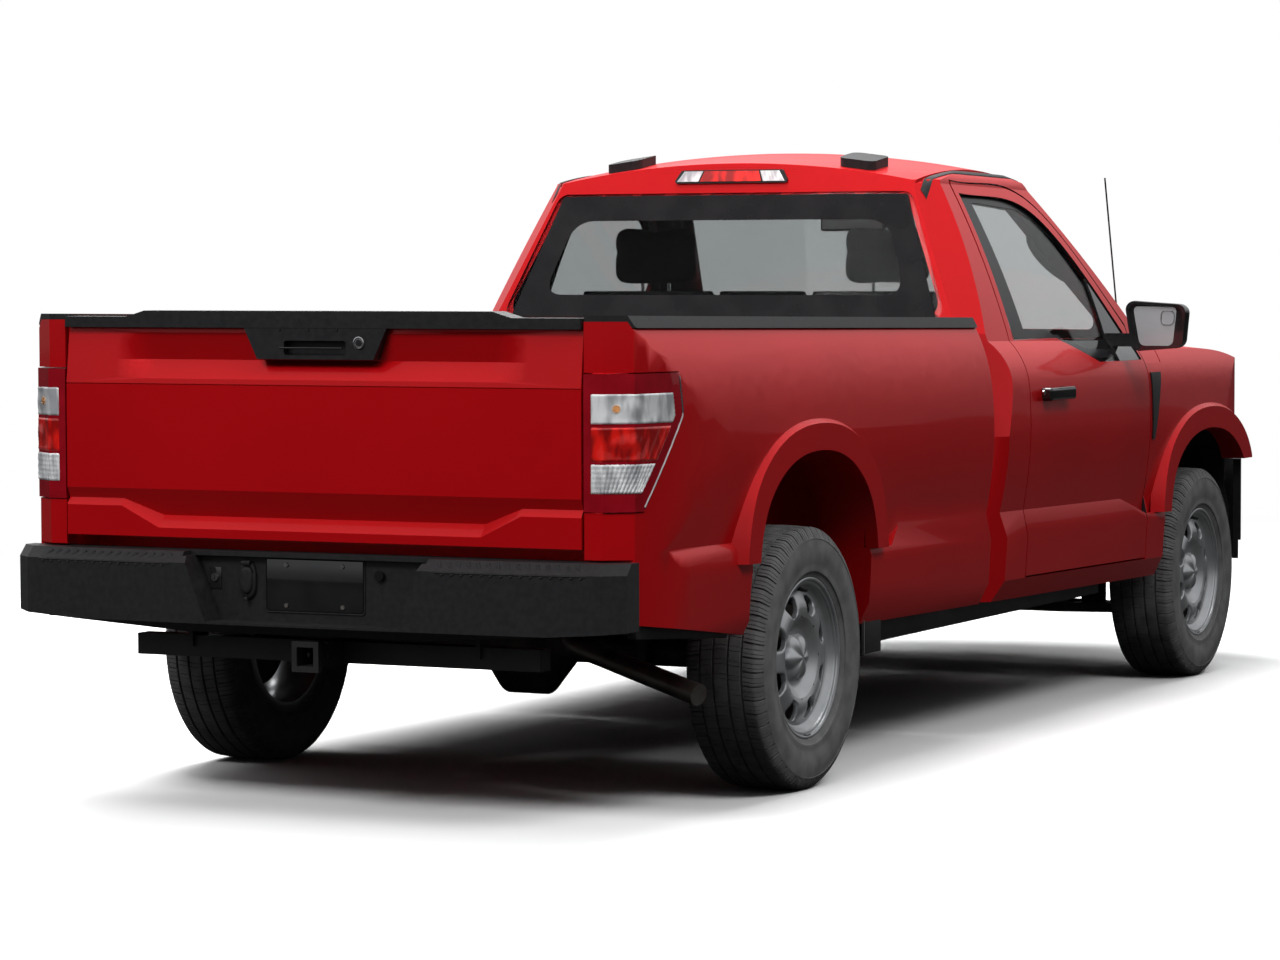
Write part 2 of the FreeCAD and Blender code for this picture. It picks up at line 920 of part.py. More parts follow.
def before_cab_back(inset):
    """Everything ahead of the cab's back, with its bevelled corners, set in by an inset."""
    levels = []
    rise = S.windshield_top_height - S.back_break_height
    for level, half, lean in (
        (0, S.body_half_width - S.under_inset, 0),
        (S.waist_height, S.body_half_width, 0),
        (S.back_break_height, S.belt_half_width - S.glass_bulge / 2, 0),
        (S.back_break_height + rise, S.roof_edge_half_width - S.ditch_width * 2, S.back_glass_lean),
        (
            S.back_break_height + rise * 2,
            S.roof_edge_half_width - S.ditch_width * 16,
            S.back_glass_lean * 2,
        ),
    ):
        at = S.cab_back_at - S.cab_back_crown - lean - inset
        levels.append((level, half - inset, at))
    pieces = []
    for low, high in zip(levels[:-1], levels[1:]):
        wires = []
        for level, half, at in (low, high):
            inner = half - S.cab_corner_bevel
            arc = Part.Arc(
                Vector(inner, at, level), Vector(0, at + S.cab_back_crown, level), Vector(-inner, at, level)
            ).toShape()
            wide = S.body_half_width * 2
            wires.append(
                ring_wire(
                    [
                        arc,
                        Vector(-half, at - S.cab_corner_length, level),
                        Vector(
                            -wide,
                            at - S.cab_corner_length * (1 + (wide - half) / S.cab_corner_bevel),
                            level,
                        ),
                        Vector(-wide, -S.overall_length, level),
                        Vector(wide, -S.overall_length, level),
                        Vector(
                            wide, at - S.cab_corner_length * (1 + (wide - half) / S.cab_corner_bevel), level
                        ),
                        Vector(half, at - S.cab_corner_length, level),
                    ]
                )
            )
        pieces.append(Part.makeLoft(wires, True, True))
    return pieces[0].fuse(pieces[1:])


def whole(section, y_start, y_end):
    """A half section run along the vehicle and joined to its mirror image."""
    half = along_y(section, y_start, y_end, RAKE_SHARE)
    return half.fuse(mirror(half)).removeSplitter()


def nose_outline(setback):
    """Plan face behind the rounded nose."""
    half = S.body_half_width
    points = []
    for across, back in NOSE_SHARES:
        points.append(Vector(half * across, S.nose_at + setback + S.nose_round * back, 0))
    left = [Vector(-p.x, p.y, 0) for p in reversed(points[1:])]
    return Part.Face(
        ring_wire(
            [curve(left + points), Vector(half, S.overall_length, 0), Vector(-half, S.overall_length, 0)]
        )
    )


def tail_outline(inset):
    """Plan face ahead of the rounded tail corners."""
    half = S.body_half_width - inset
    flat = half - S.tail_bevel - S.tail_flank_drop
    points = [
        Vector(
            half * across, S.box_tail_at - inset - S.tail_round * back, 0
        ) for across, back in TAIL_SHARES
    ]
    side = curve(points)
    other = curve([Vector(-p.x, p.y, 0) for p in reversed(points)])
    return Part.Face(
        ring_wire(
            [
                Vector(half, -S.overall_length, 0),
                side,
                Vector(flat, S.box_tail_at - inset, 0),
                Vector(-flat, S.box_tail_at - inset, 0),
                other,
                Vector(-half, -S.overall_length, 0),
            ]
        )
    )


def front_top(drop):
    """Everything under the hood and fender tops, lowered by a drop."""
    half = S.body_half_width + S.overrun
    length = S.door_front_at - S.nose_at
    wires = []
    for along, centre, side in TOP_SHARES:
        y = S.door_front_at - length * along
        z = S.belt_height * centre - drop
        low = z - S.belt_height * side
        arc = Part.Arc(Vector(-half, y, low), Vector(0, y, z), Vector(half, y, low)).toShape()
        wires.append(ring_wire([arc, Vector(half, y, 0), Vector(-half, y, 0)]))
    return Part.makeLoft(wires, True, False)


def arch_face(axle_at, half_length, rise, grow):
    """Wheel arch outline in the side view, grown outward by a width."""
    centre = S.tyre_radius
    points = []
    for along, up in ARCH_SHARES:
        points.append(Vector(0, axle_at + (half_length + grow) * along, centre + (rise + grow) * up))
    for along, up in reversed(ARCH_SHARES[:-1]):
        points.append(Vector(0, axle_at - (half_length + grow) * along, centre + (rise + grow) * up))
    foot = Vector(0, 0, -centre)
    return Part.Face(ring_wire([points[0] + foot, curve(points), points[-1] + foot]))


def flare(axle_at, half_length, rise):
    """The lip that stands out of the flank round a wheel arch behind a narrow bevel."""
    outer = arch_face(axle_at, half_length, rise, S.arch_lip_width).OuterWire
    inner = arch_face(axle_at, half_length, rise, S.arch_lip_width - S.flare_bevel).OuterWire
    start = outer.copy()
    start.translate(Vector(S.body_half_width - S.groove_inset, 0, 0))
    end = inner.copy()
    end.translate(Vector(S.body_half_width + S.flare_stand, 0, 0))
    lip = Part.makeLoft([start, end], True, True)
    foot = S.groove_height - S.dip_depth
    wide = S.body_half_width * 2
    over = ring_wire([Vector(0, 0, foot), Vector(wide, 0, foot), Vector(wide, 0, wide), Vector(0, 0, wide)])
    return lip.common(along_y(Part.Face(over), -S.overall_length, S.overall_length, RAKE_SHARE))


def dip(start_at, low_at, end_at, inset):
    """Where the bright band under the groove steps down, at an inset from the surface.

    The groove slants down from one station to a lower line, and the flank above
    follows it, so the band's upper part is missing from there to the wheel arch.
    """
    way = math.copysign(1, low_at - start_at)
    high = S.groove_height
    low = high - S.dip_depth - inset
    stations = ((start_at - way * inset, high), (low_at - way * inset, low), (end_at, low), (end_at, high))
    side = Part.Face(ring_wire([Vector(0, y, z + RAKE_SHARE * y) for y, z in stations]))
    wide = S.body_half_width * 2
    edge = S.body_half_width - S.groove_inset - inset
    core = ring_wire(
        [
            Vector(0, 0, low - S.overrun),
            Vector(edge - S.dip_slant_inset, 0, low - S.overrun),
            Vector(edge - S.dip_slant_inset, 0, low),
            Vector(edge, 0, high),
            Vector(edge, 0, high + S.overrun),
            Vector(0, 0, high + S.overrun),
        ]
    )
    return along_x(side, 0, wide).cut(
        along_y(Part.Face(core), -S.overall_length, S.overall_length, RAKE_SHARE)
    )


# Cab


def door_outline(gap):
    """Side outline of the door, shrunk by a gap."""
    rise = RAKE_SHARE
    front = S.door_front_at + gap
    rear = S.door_rear_at - gap
    sill = S.crease_height + gap
    slope = (
        S.pillar_line_mid_height - S.pillar_line_low_height
    ) / (S.pillar_line_mid_at - S.pillar_line_low_at)
    down = gap * math.hypot(1, slope)
    top = S.door_top_rear_height - gap
    points = [
        Vector(0, front, sill + rise * front),
        Vector(0, rear, sill + rise * rear),
        Vector(0, rear, S.belt_height),
    ]
    brow = curve(
        [
            Vector(0, S.door_rear_top_at - gap * 2, top),
            Vector(0, (S.door_rear_top_at + S.pillar_line_high_at) / 2, top - S.window_rail / 6),
            Vector(0, S.pillar_line_high_at, S.pillar_line_high_height - down),
            Vector(0, S.pillar_line_mid_at, S.pillar_line_mid_height - down),
            Vector(0, S.pillar_line_low_at + gap, S.pillar_line_low_height - down),
        ]
    )
    return Part.Face(ring_wire(points + [brow, Vector(0, front, S.shoulder_height)]))


def window_outline(gap):
    """Side outline of the opening in the door, with its lower stretch at the front."""
    rail = S.window_rail + gap
    front = S.door_front_at + S.window_rail / 2 + gap
    rear = S.door_rear_at - rail
    sill = S.belt_height + gap
    low = sill - S.window_sill_drop
    slope = (
        S.pillar_line_mid_height - S.pillar_line_low_height
    ) / (S.pillar_line_mid_at - S.pillar_line_low_at)
    down = rail * math.hypot(1, slope)
    brow = curve(
        [
            Vector(0, S.door_rear_top_at - rail, S.door_top_rear_height - rail),
            Vector(
                0, (S.door_rear_top_at + S.pillar_line_high_at) / 2, S.door_top_rear_height - rail * 1.2
            ),
            Vector(0, S.pillar_line_high_at + rail / 2, S.pillar_line_high_height - rail),
            Vector(0, S.pillar_line_mid_at, S.pillar_line_mid_height - down),
            Vector(0, S.pillar_line_low_at + rail / 3, S.pillar_line_low_height - down * 0.9),
        ]
    )
    length = S.door_rear_at - S.door_front_at
    return Part.Face(
        ring_wire(
            [
                Vector(0, rear, sill),
                brow,
                Vector(0, front, low),
                Vector(0, front + length * 0.36, low),
                Vector(0, front + length * 0.6, sill),
            ]
        )
    )


def across_face(low_half, low, high_half, high, radius):
    """A rounded trapezium seen from behind, for windshield and back glass."""
    return rounded_face(
        [
            Vector(-low_half, 0, low),
            Vector(low_half, 0, low),
            Vector(high_half, 0, high),
            Vector(-high_half, 0, high),
        ],
        radius,
    )


def cab_volume(inset, roof_drop, front_inset, back_inset):
    body = whole(
        cab_section(inset), S.windshield_base_at - S.windshield_base_bow * 2, S.cab_back_at + S.overrun
    )
    body = body.common(roof_dome(roof_drop))
    body = body.common(behind_windshield(front_inset))
    return body.common(before_cab_back(back_inset))


def cab_pieces():
    """The cab's welded shell, its roof skin, its fixed glass and both doors."""
    outer = cab_volume(0, 0, 0, 0)
    inner = cab_volume(S.pillar_depth, S.roof_thickness, S.windshield_frame, S.back_wall)
    far = S.overall_length
    half = S.body_half_width
    above = box_between((-half * 2, half * 2), (-far, far), (S.shoulder_height, far))
    upper = outer.cut(inner)

    front_hole = along_y(
        across_face(
            S.windshield_low_half_width, S.windshield_low, S.windshield_high_half_width, S.windshield_high,
            S.glass_corner_radius,
        ),
        -far,
        S.door_front_at + S.windshield_frame * 10,
    )
    back_hole = along_y(
        across_face(
            S.back_glass_low_half_width, S.back_glass_low, S.back_glass_high_half_width, S.back_glass_high,
            S.glass_corner_radius,
        ),
        S.door_rear_at,
        far,
    )
    front_slab = behind_windshield(S.glass_recess).cut(
        behind_windshield(S.glass_recess + S.glass_thickness)
    )
    back_slab = before_cab_back(S.glass_recess).cut(before_cab_back(S.glass_recess + S.glass_thickness))
    shape_node("windshield", largest(front_slab.common(front_hole)))
    shape_node("rear_window", largest(back_slab.common(back_hole)))
    frame = S.glass_frame
    front_view = along_y(
        across_face(
            S.windshield_low_half_width - frame, S.windshield_low + frame,
            S.windshield_high_half_width - frame, S.windshield_high - frame, S.glass_corner_radius,
        ),
        -far,
        S.door_front_at + S.windshield_frame * 10,
    )
    back_view = along_y(
        across_face(
            S.back_glass_low_half_width - frame, S.back_glass_low + frame,
            S.back_glass_high_half_width - frame, S.back_glass_high - frame, S.glass_corner_radius,
        ),
        S.door_rear_at,
        far,
    )
    recess = S.glass_recess + S.glass_thickness
    upper = upper.cut(front_hole.cut(behind_windshield(recess)))
    upper = upper.cut(back_hole.cut(before_cab_back(recess)))
    upper = upper.cut([front_view, back_view])

    opening = along_x(door_outline(0), S.roof_skin_half_width / 2, half * 2)
    upper = upper.cut([opening, mirror(opening)])

    roof_zone = box_between(
        (-S.roof_skin_half_width, S.roof_skin_half_width),
        (S.windshield_top_at - S.windshield_top_bow * 2, S.cab_back_at),
        (S.windshield_high + S.glass_frame, far),
    )
    roof_top = outer.common(roof_zone)
    skin = roof_top.cut(roof_dome(S.roof_thickness / 2))
    upper = upper.cut(roof_top.cut(roof_dome(S.roof_thickness / 2 + S.seat_gap)))
    ditch_in = S.roof_skin_half_width
    ditch = box_between(
        (ditch_in, ditch_in + S.ditch_width),
        (-far, far),
        (S.roof_edge_height, far),
    ).cut(roof_dome(S.ditch_depth))
    upper = upper.cut([ditch, mirror(ditch)])
    shape_node("roof", largest(skin))

    front_cut = box_between(
        (-half * 2, half * 2), (-far, S.door_front_at - S.shut_gap), (0, S.shoulder_height)
    )
    shell = upper.cut(front_cut)
    floor_low = S.floor_height - S.floor_thickness
    inner_half = half - S.door_thickness - S.running_clearance * 3
    rocker = outer.common(
        box_between(
            (inner_half - S.rocker_width, half * 2),
            (S.door_front_at - S.shut_gap, far),
            (0, S.floor_height),
        )
    ).cut(opening)
    rocker = rocker.cut(box_between((0, inner_half), (-far, far), (0, floor_low)))
    floor = box_between(
        (-inner_half, inner_half), (S.firewall_at, S.cab_back_at - S.back_wall), (floor_low, S.floor_height)
    )
    tunnel_top = S.floor_height + S.tunnel_height
    tunnel = box_between(
        (-S.tunnel_half_width, S.tunnel_half_width),
        (S.firewall_at, S.dash_rear_at + S.tunnel_half_width),
        (floor_low, tunnel_top),
    )
    hollow = box_between(
        (-S.tunnel_half_width + S.floor_thickness, S.tunnel_half_width - S.floor_thickness),
        (S.firewall_at - S.overrun, S.dash_rear_at + S.tunnel_half_width - S.floor_thickness),
        (floor_low - S.overrun, tunnel_top - S.floor_thickness),
    )
    back_low = outer.cut(before_cab_back(S.back_wall)).common(
        box_between(
            (-inner_half, inner_half), (S.door_rear_at, far), (floor_low, S.shoulder_height + S.overrun)
        )
    )
    firewall = box_between(
        (-inner_half, inner_half),
        (S.firewall_at - S.firewall_thickness, S.firewall_at),
        (floor_low, S.windshield_base_height),
    )
    cowl_line = S.windshield_low - S.glass_frame
    cowl = behind_windshield(0).cut(behind_windshield(S.windshield_frame * 5)).common(
        box_between((-inner_half, inner_half), (-far, S.door_front_at), (S.shoulder_height, cowl_line))
    )
    post = box_between(
        (inner_half - S.pillar_depth, half - S.groove_inset - S.fender_wall / 2),
        (S.door_front_at - S.shut_gap - S.hinge_post_length, S.door_front_at - S.shut_gap),
        (S.crease_height, S.windshield_base_height + S.glass_frame),
    )
    shell = fuse(
        shell.common(above), shell.cut(above), rocker, mirror(rocker), floor, tunnel, back_low, firewall, cowl,
        post, mirror(post),
    )
    below = box_between(
        (-inner_half + S.rocker_width, inner_half - S.rocker_width), (-far, far), (0, floor_low)
    )
    shell = shell.cut([hollow, below])
    shape_node("cab_shell", largest(shell))
    return outer


def door_pieces(cab_outer):
    """Both doors with their glass, inner trim, outer handle and mirror."""
    half = S.body_half_width
    far = S.overall_length
    outline = along_x(door_outline(S.shut_gap), S.roof_skin_half_width / 2, half * 2)
    inner_outline = along_x(door_outline(S.shut_gap + S.door_lap), S.roof_skin_half_width / 2, half * 2)
    dips = [dip(S.front_dip_at, S.front_dip_low_at, S.front_axle_at, inset) for inset in (0, S.door_skin)]
    skin = cab_outer.cut(dips[0]).common(outline)
    skin = skin.cut(whole(cab_section(S.door_skin), -far, far).cut(dips[1]))
    depth = whole(cab_section(S.door_thickness), -far, far)
    frame_depth = whole(cab_section(S.door_frame_depth), -far, far)
    low = box_between((0, half * 2), (-far, far), (0, S.shoulder_height))
    core = cab_outer.cut(dips[0]).common(inner_outline)
    core = core.cut(depth).common(low).fuse(core.cut(frame_depth).cut(low))
    left = box_between((0, half * 2), (-far, far), (0, far))
    window = along_x(window_outline(0), 0, half * 2)
    panel = skin.common(left).fuse(core.common(left)).removeSplitter().cut(window)
    foot_top = S.floor_height + S.running_clearance
    foot = box_between((0, S.door_foot_half_width), (-far, S.door_foot_end_at), (0, foot_top))
    panel = largest(panel.cut(foot))
    glass_zone = along_x(window_outline(-S.glass_frame / 2), 0, half * 2)
    glass = whole(cab_section(S.door_skin), -far, far).cut(
        whole(cab_section(S.door_skin + S.glass_thickness), -far, far)
    )
    glass = largest(glass.common(glass_zone).common(left))
    slot = largest(
        whole(cab_section(S.door_skin - S.seat_gap), -far, far)
        .cut(whole(cab_section(S.door_skin + S.glass_thickness + S.seat_gap), -far, far))
        .common(along_x(window_outline(-S.glass_frame / 2 - S.seat_gap), 0, half * 2))
        .common(left)
    )
    panel = largest(panel.cut(slot))
    rest = door_fittings()
    for side, turned in (("left", lambda shape: shape), ("right", mirror)):
        shape_node("door_" + side, turned(panel))
        shape_node("door_glass_" + side, turned(glass))
        shape_node("door_fittings_" + side, turned(rest))


def door_fittings():
    """Inner trim with its armrest, the outer handle and the mirror of the left door."""
    half = S.body_half_width
    front = S.door_front_at + S.hinge_post_length + S.shut_gap
    rear = S.door_rear_at - S.door_lap - S.shut_gap
    deep = S.door_thickness + S.seat_gap
    lining = whole(cab_section(deep), front, rear).cut(
        whole(cab_section(deep + S.trim_thickness), front - S.overrun, rear + S.overrun)
    )
    lining = lining.common(
        box_between(
            (0, half),
            (front, rear),
            (S.floor_height + S.running_clearance, S.shoulder_height - S.glass_frame),
        )
    )
    arm = box_between(
        (half - deep - S.trim_thickness - S.trim_pad, half - deep - S.trim_thickness / 2),
        (S.cushion_front_at, rear - S.trim_pad),
        (S.cushion_high + S.trim_pad, S.cushion_high + S.trim_pad * 2),
    )
    arm = arm.makeFillet(S.trim_pad / 3, arm.Edges)
    lining = lining.fuse(arm).removeSplitter()
    handle_front = S.door_rear_at - S.handle_rear_inset - S.handle_length
    low = S.handle_centre_height - S.handle_height / 2
    grip = box_between(
        (half - S.door_skin, half + S.handle_stand),
        (handle_front, handle_front + S.handle_length),
        (low, low + S.handle_height),
    )
    grip = grip.makeFillet(S.handle_height / 4, grip.Edges)
    grip = grip.cut(whole(cab_section(-S.seat_gap), handle_front - S.overrun, S.door_rear_at))
    palm = box_between(
        (half - S.door_skin, half + S.handle_stand / 2),
        (handle_front + S.handle_length / 4, handle_front + S.handle_length * 0.72),
        (low - S.handle_height, low + S.handle_height * 2),
    )
    return Part.makeCompound([largest(lining), largest(grip.cut(palm)), mirror_housing()])


def mirror_housing():
    """The left door mirror: a rounded shell on a short arm, its glass facing back."""
    inner = S.mirror_inner_half_width
    outer = inner + S.mirror_width
    centre = S.mirror_centre_height
    tall = S.mirror_height / 2
    taper = S.mirror_height / 6
    outline = rounded_face(
        [
            Vector(inner + taper, 0, centre - tall),
            Vector(outer - taper / 2, 0, centre - tall + taper / 2),
            Vector(outer, 0, centre + tall - taper / 2),
            Vector(inner, 0, centre + tall),
        ],
        taper,
    )
    start = outline.OuterWire.copy()
    start.translate(Vector(0, S.mirror_face_at, 0))
    middle = Vector((inner + outer) / 2, 0, centre)
    small = outline.OuterWire.copy()
    small.scale(0.93, middle)
    small.translate(Vector(0, S.mirror_face_at - S.mirror_depth * 0.6, 0))
    nose = outline.OuterWire.copy()
    nose.scale(0.62, middle)
    nose.translate(Vector(0, S.mirror_face_at - S.mirror_depth, 0))
    shell = Part.makeLoft([start, small, nose], True, False)
    glass_hole = outline.OuterWire.copy()
    glass_hole.scale(0.88, middle)
    hole = Part.Face(glass_hole)
    hole.translate(Vector(0, S.mirror_face_at - S.mirror_glass_recess, 0))
    shell = shell.cut(hole.extrude(Vector(0, S.overrun, 0)))
    arm_low = centre - tall + S.glass_frame
    arm = box_between(
        (S.belt_half_width - S.trim_pad, inner + S.mirror_width / 3),
        (S.mirror_face_at - S.mirror_depth * 0.8, S.mirror_face_at - S.mirror_depth * 0.3),
        (arm_low, arm_low + S.mirror_arm_height),
    )
    front = S.door_front_at - S.overrun
    under = whole(cab_section(S.door_skin - S.seat_gap), front, S.door_rear_at)
    sail = whole(cab_section(S.door_skin / 3), front, S.sail_rear_at).cut(under)
    sail = largest(sail.common(along_x(window_outline(S.seat_gap), 0, outer)))
    return fuse(shell, arm.cut(under), sail)


# Nose


def hood_outline(gap):
    """Plan face of the hood, its rear edge bowed ahead of the windshield."""
    half = S.hood_half_width - gap
    rear = Part.Arc(
        Vector(half, S.hood_rear_corner_at - gap, 0),
        Vector(0, S.hood_rear_at - gap, 0),
        Vector(-half, S.hood_rear_corner_at - gap, 0),
    ).toShape()
    taper = S.hood_half_width - S.lamp_inner_half_width
    front_half = half - taper * 0.8
    front = Part.Arc(
        Vector(-front_half, S.hood_front_at + gap + taper * 0.7, 0),
        Vector(0, S.hood_front_at + gap, 0),
        Vector(front_half, S.hood_front_at + gap + taper * 0.7, 0),
    ).toShape()
    side_front = S.lamp_rear_high_at + taper / 2
    return Part.Face(ring_wire([rear, Vector(-half, side_front, 0), front, Vector(half, side_front, 0)]))


def hood_pin(gap):
    """The left pin that the hood turns on, grown by a gap."""
    start = Vector(S.hood_half_width - S.hood_pin_length, S.hood_pin_at, S.hood_pin_height)
    return Part.makeCylinder(S.hood_pin_radius + gap, S.hood_pin_length * 2 + gap, start, Vector(1, 0, 0))


def lamp_zone(gap, depth):
    """Space of the left headlamp, a block that wraps the nose's corner."""
    high = S.lamp_high_height + gap
    low = S.lamp_low_height - gap
    side = Part.Face(
        ring_wire(
            [
                Vector(0, S.nose_at - S.overrun, low),
                Vector(0, S.lamp_rear_low_at + gap, low),
                Vector(0, S.lamp_rear_high_at + gap, high),
                Vector(0, S.nose_at - S.overrun, high),
            ]
        )
    )
    block_shape = along_x(side, S.lamp_inner_half_width - gap, S.body_half_width * 2)
    if depth:
        core = along_z(nose_outline(S.face_setback + depth), 0, S.overall_length)
        block_shape = block_shape.cut(core)
    return block_shape


def nose_pieces():
    """Hood, fenders, headlamps, grille and front bumper."""
    half = S.body_half_width
    far = S.overall_length
    front = along_z(nose_outline(S.face_setback), 0, far)
    under_top = front_top(0)
    side = whole(fender_section(0), S.nose_at - S.overrun, S.door_front_at)
    body = front.common(under_top).common(side)

    hood_zone = along_z(hood_outline(S.shut_gap / 2), 0, far)
    hood_top = under_top.common(front)
    hood_under = front_top(S.hood_thickness)
    hood_skin = hood_top.common(hood_zone).cut(hood_under)
    rim_zone = hood_zone.cut(along_z(hood_outline(S.shut_gap / 2 + S.fender_wall), 0, far))
    hood_rim = hood_top.common(rim_zone).cut(front_top(S.hood_thickness * 1.6))
    pin = hood_pin(0)
    shape_node("hood", largest(fuse(hood_skin, hood_rim, pin, mirror(pin))))

    front_end = S.fender_front_at
    rear_end = S.door_front_at
    wing = body.common(
        box_between((S.liner_inner_half_width, half * 2), (front_end, rear_end - S.shut_gap), (0, far))
    )
    wing = wing.cut(
        whole(fender_section(S.fender_wall), S.nose_at - S.overrun * 2, S.door_front_at + S.overrun)
    )
    wing = wing.cut(along_z(hood_outline(-S.shut_gap / 2), 0, far))
    deck = body.common(
        box_between(
            (S.hood_half_width - S.overrun, half), (front_end, S.door_front_at - S.shut_gap), (0, far)
        )
    ).cut(front_top(S.hood_thickness)).cut(along_z(hood_outline(-S.shut_gap / 2), 0, far))
    wing = wing.fuse(deck).cut(dip(S.front_dip_at, S.front_dip_low_at, S.front_axle_at, 0))
    lip = flare(S.front_axle_at, S.front_arch_half_length, S.front_arch_rise)
    lip = lip.common(box_between((0, half * 2), (front_end, rear_end - S.shut_gap), (0, far)))
    wing = wing.fuse(lip)
    arch = along_x(arch_face(S.front_axle_at, S.front_arch_half_length, S.front_arch_rise, 0), 0, half * 2)
    bumper_room = box_between(
        (0, half * 2), (-far, S.bumper_rear_at + S.shut_gap), (0, S.bumper_high_height + S.shut_gap)
    )
    foot = box_between((0, half * 2), (-far, S.front_axle_at), (0, S.bumper_high_height + S.shut_gap))
    swing = Part.makeCylinder(
        S.hood_pin_relief,
        S.hood_half_width - S.liner_inner_half_width + S.overrun + S.shut_gap / 2,
        Vector(S.liner_inner_half_width - S.overrun, S.hood_pin_at, S.hood_pin_height),
        Vector(1, 0, 0),
    )
    room = [arch, bumper_room, foot, lamp_zone(S.shut_gap / 2, 0), cab_front_room(), swing]
    wing = wing.cut(room + [hood_pin(S.turning_gap)])
    wing = largest(wing.removeSplitter())
    shape_node("fender_left", wing)
    shape_node("fender_right", mirror(wing))

    lamp = body.common(lamp_zone(0, S.lamp_depth)).cut(along_z(hood_outline(-S.shut_gap / 2), 0, far))
    shape_node("headlamps", pair(largest(lamp)))
    grille_node()
    bumper_node()
    liner_node()


def cab_front_room():
    """Space that the cab's front posts and firewall take behind the fenders."""
    inner = S.body_half_width - S.groove_inset - S.fender_wall / 2 + S.seat_gap
    front = S.firewall_at - S.firewall_thickness - S.seat_gap
    low = box_between(
        (0, inner),
        (front, S.door_front_at + S.overrun),
        (0, S.windshield_base_height + S.glass_frame + S.seat_gap),
    )
    pillar = behind_windshield(-S.running_clearance).common(
        whole(cab_section(-S.running_clearance), S.firewall_at - S.overrun * 5, S.door_front_at)
    )
    pillar = pillar.common(
        box_between((0, S.body_half_width), (-S.overall_length, 0), (S.shoulder_height, S.overall_length))
    )
    return low.fuse(pillar)


def grille_node():
    """A rimmed grille with level bars, curved with the nose."""
    far = S.overall_length
    low = S.grille_low_height
    high = S.grille_high_height
    edge = S.lamp_inner_half_width - S.shut_gap
    slab = along_z(nose_outline(S.face_setback), 0, far).cut(
        along_z(nose_outline(S.face_setback + S.grille_depth), 0, far)
    )
    outer = box_between((-edge, edge), (-far, S.door_front_at), (low, high))
    rim = S.grille_rim
    hole = box_between((-edge + rim, edge - rim), (-far, S.door_front_at), (low + rim, high - rim))
    pitch = (high - low - rim) / 3
    bars = []
    for step in (1, 2):
        middle = low + rim / 2 + pitch * step
        bars.append(
            box_between(
                (-edge + rim, edge - rim), (-far, 0), (middle - S.grille_bar / 2, middle + S.grille_bar / 2)
            )
        )
    frame = outer.cut(hole).fuse(bars)
    grille = slab.common(frame).cut(
        front_top(-S.running_clearance).cut(
            front_top(S.hood_thickness * 1.6 + S.running_clearance)
        ).common(along_z(hood_outline(-S.running_clearance), 0, far))
    )
    shape_node("grille", largest(grille))


def bumper_node():
    """The front bumper shell with its lower air intake."""
    far = S.overall_length
    half = S.body_half_width
    skin = along_z(nose_outline(0), S.bumper_low_height, S.bumper_high_height).cut(
        along_z(nose_outline(S.bumper_depth), 0, far)
    )
    skin = skin.common(box_between((-half * 2, half * 2), (-far, S.bumper_rear_at), (0, far)))
    wide = S.intake_half_width
    hole = along_y(
        rounded_face(
            [
                Vector(-wide, 0, S.intake_low_height),
                Vector(wide, 0, S.intake_low_height),
                Vector(wide - S.intake_bar * 2, 0, S.intake_high_height),
                Vector(-wide + S.intake_bar * 2, 0, S.intake_high_height),
            ],
            S.intake_bar,
        ),
        -far,
        0,
    )
    middle = (S.intake_low_height + S.intake_high_height) / 2
    bar = skin.common(
        box_between((-wide, wide), (-far, 0), (middle - S.intake_bar / 2, middle + S.intake_bar / 2))
    )
    back = along_z(nose_outline(S.bumper_depth / 2), 0, far)
    slope = box_between((-half * 2, half * 2), (-far, far), (0, S.intake_low_height)).common(
        along_z(nose_outline(S.bumper_depth / 3), 0, far)
    )
    low_part = skin.common(slope)
    high_part = skin.cut(box_between((-half * 2, half * 2), (-far, far), (0, S.intake_low_height)))
    rail = S.rail_outer_half_width
    bracket = box_between(
        (rail - S.rail_tube_width, rail),
        (S.frame_nose_at - S.bumper_pad_depth, S.frame_nose_at - S.seat_gap),
        (middle - S.intake_bar, middle + S.intake_bar),
    )
    shell = fuse(high_part.cut(hole), low_part, bar.common(back), bracket, mirror(bracket))
    shape_node("front_bumper", largest(shell))


def liner_node():
    """Black liners inside both front wheel arches."""
    outer = arch_face(
        S.front_axle_at, S.front_arch_half_length, S.front_arch_rise, S.liner_gap + S.liner_thickness
    )
    inner = arch_face(S.front_axle_at, S.front_arch_half_length, S.front_arch_rise, S.liner_gap)
    outside = S.body_half_width
    shell = along_x(outer, S.liner_inner_half_width, outside).cut(
        along_x(inner, S.liner_inner_half_width + S.liner_thickness, outside + S.overrun)
    )
    tower = along_x(inner, 0, outside).common(
        box_between(
            (0, outside),
            (S.front_axle_at - S.lower_arm_spread * 1.2, S.front_axle_at + S.lower_arm_spread * 1.2),
            (0, S.spring_top + S.arm_thickness + S.running_clearance),
        )
    )
    low = box_between((0, outside * 2), (-S.overall_length, 0), (0, S.under_height))
    shell = shell.cut([tower, low]).common(
        whole(fender_section(S.fender_wall + S.seat_gap), S.nose_at, S.door_front_at)
    )
    shape_node("wheel_liners", pair(largest(shell)))


# Load box


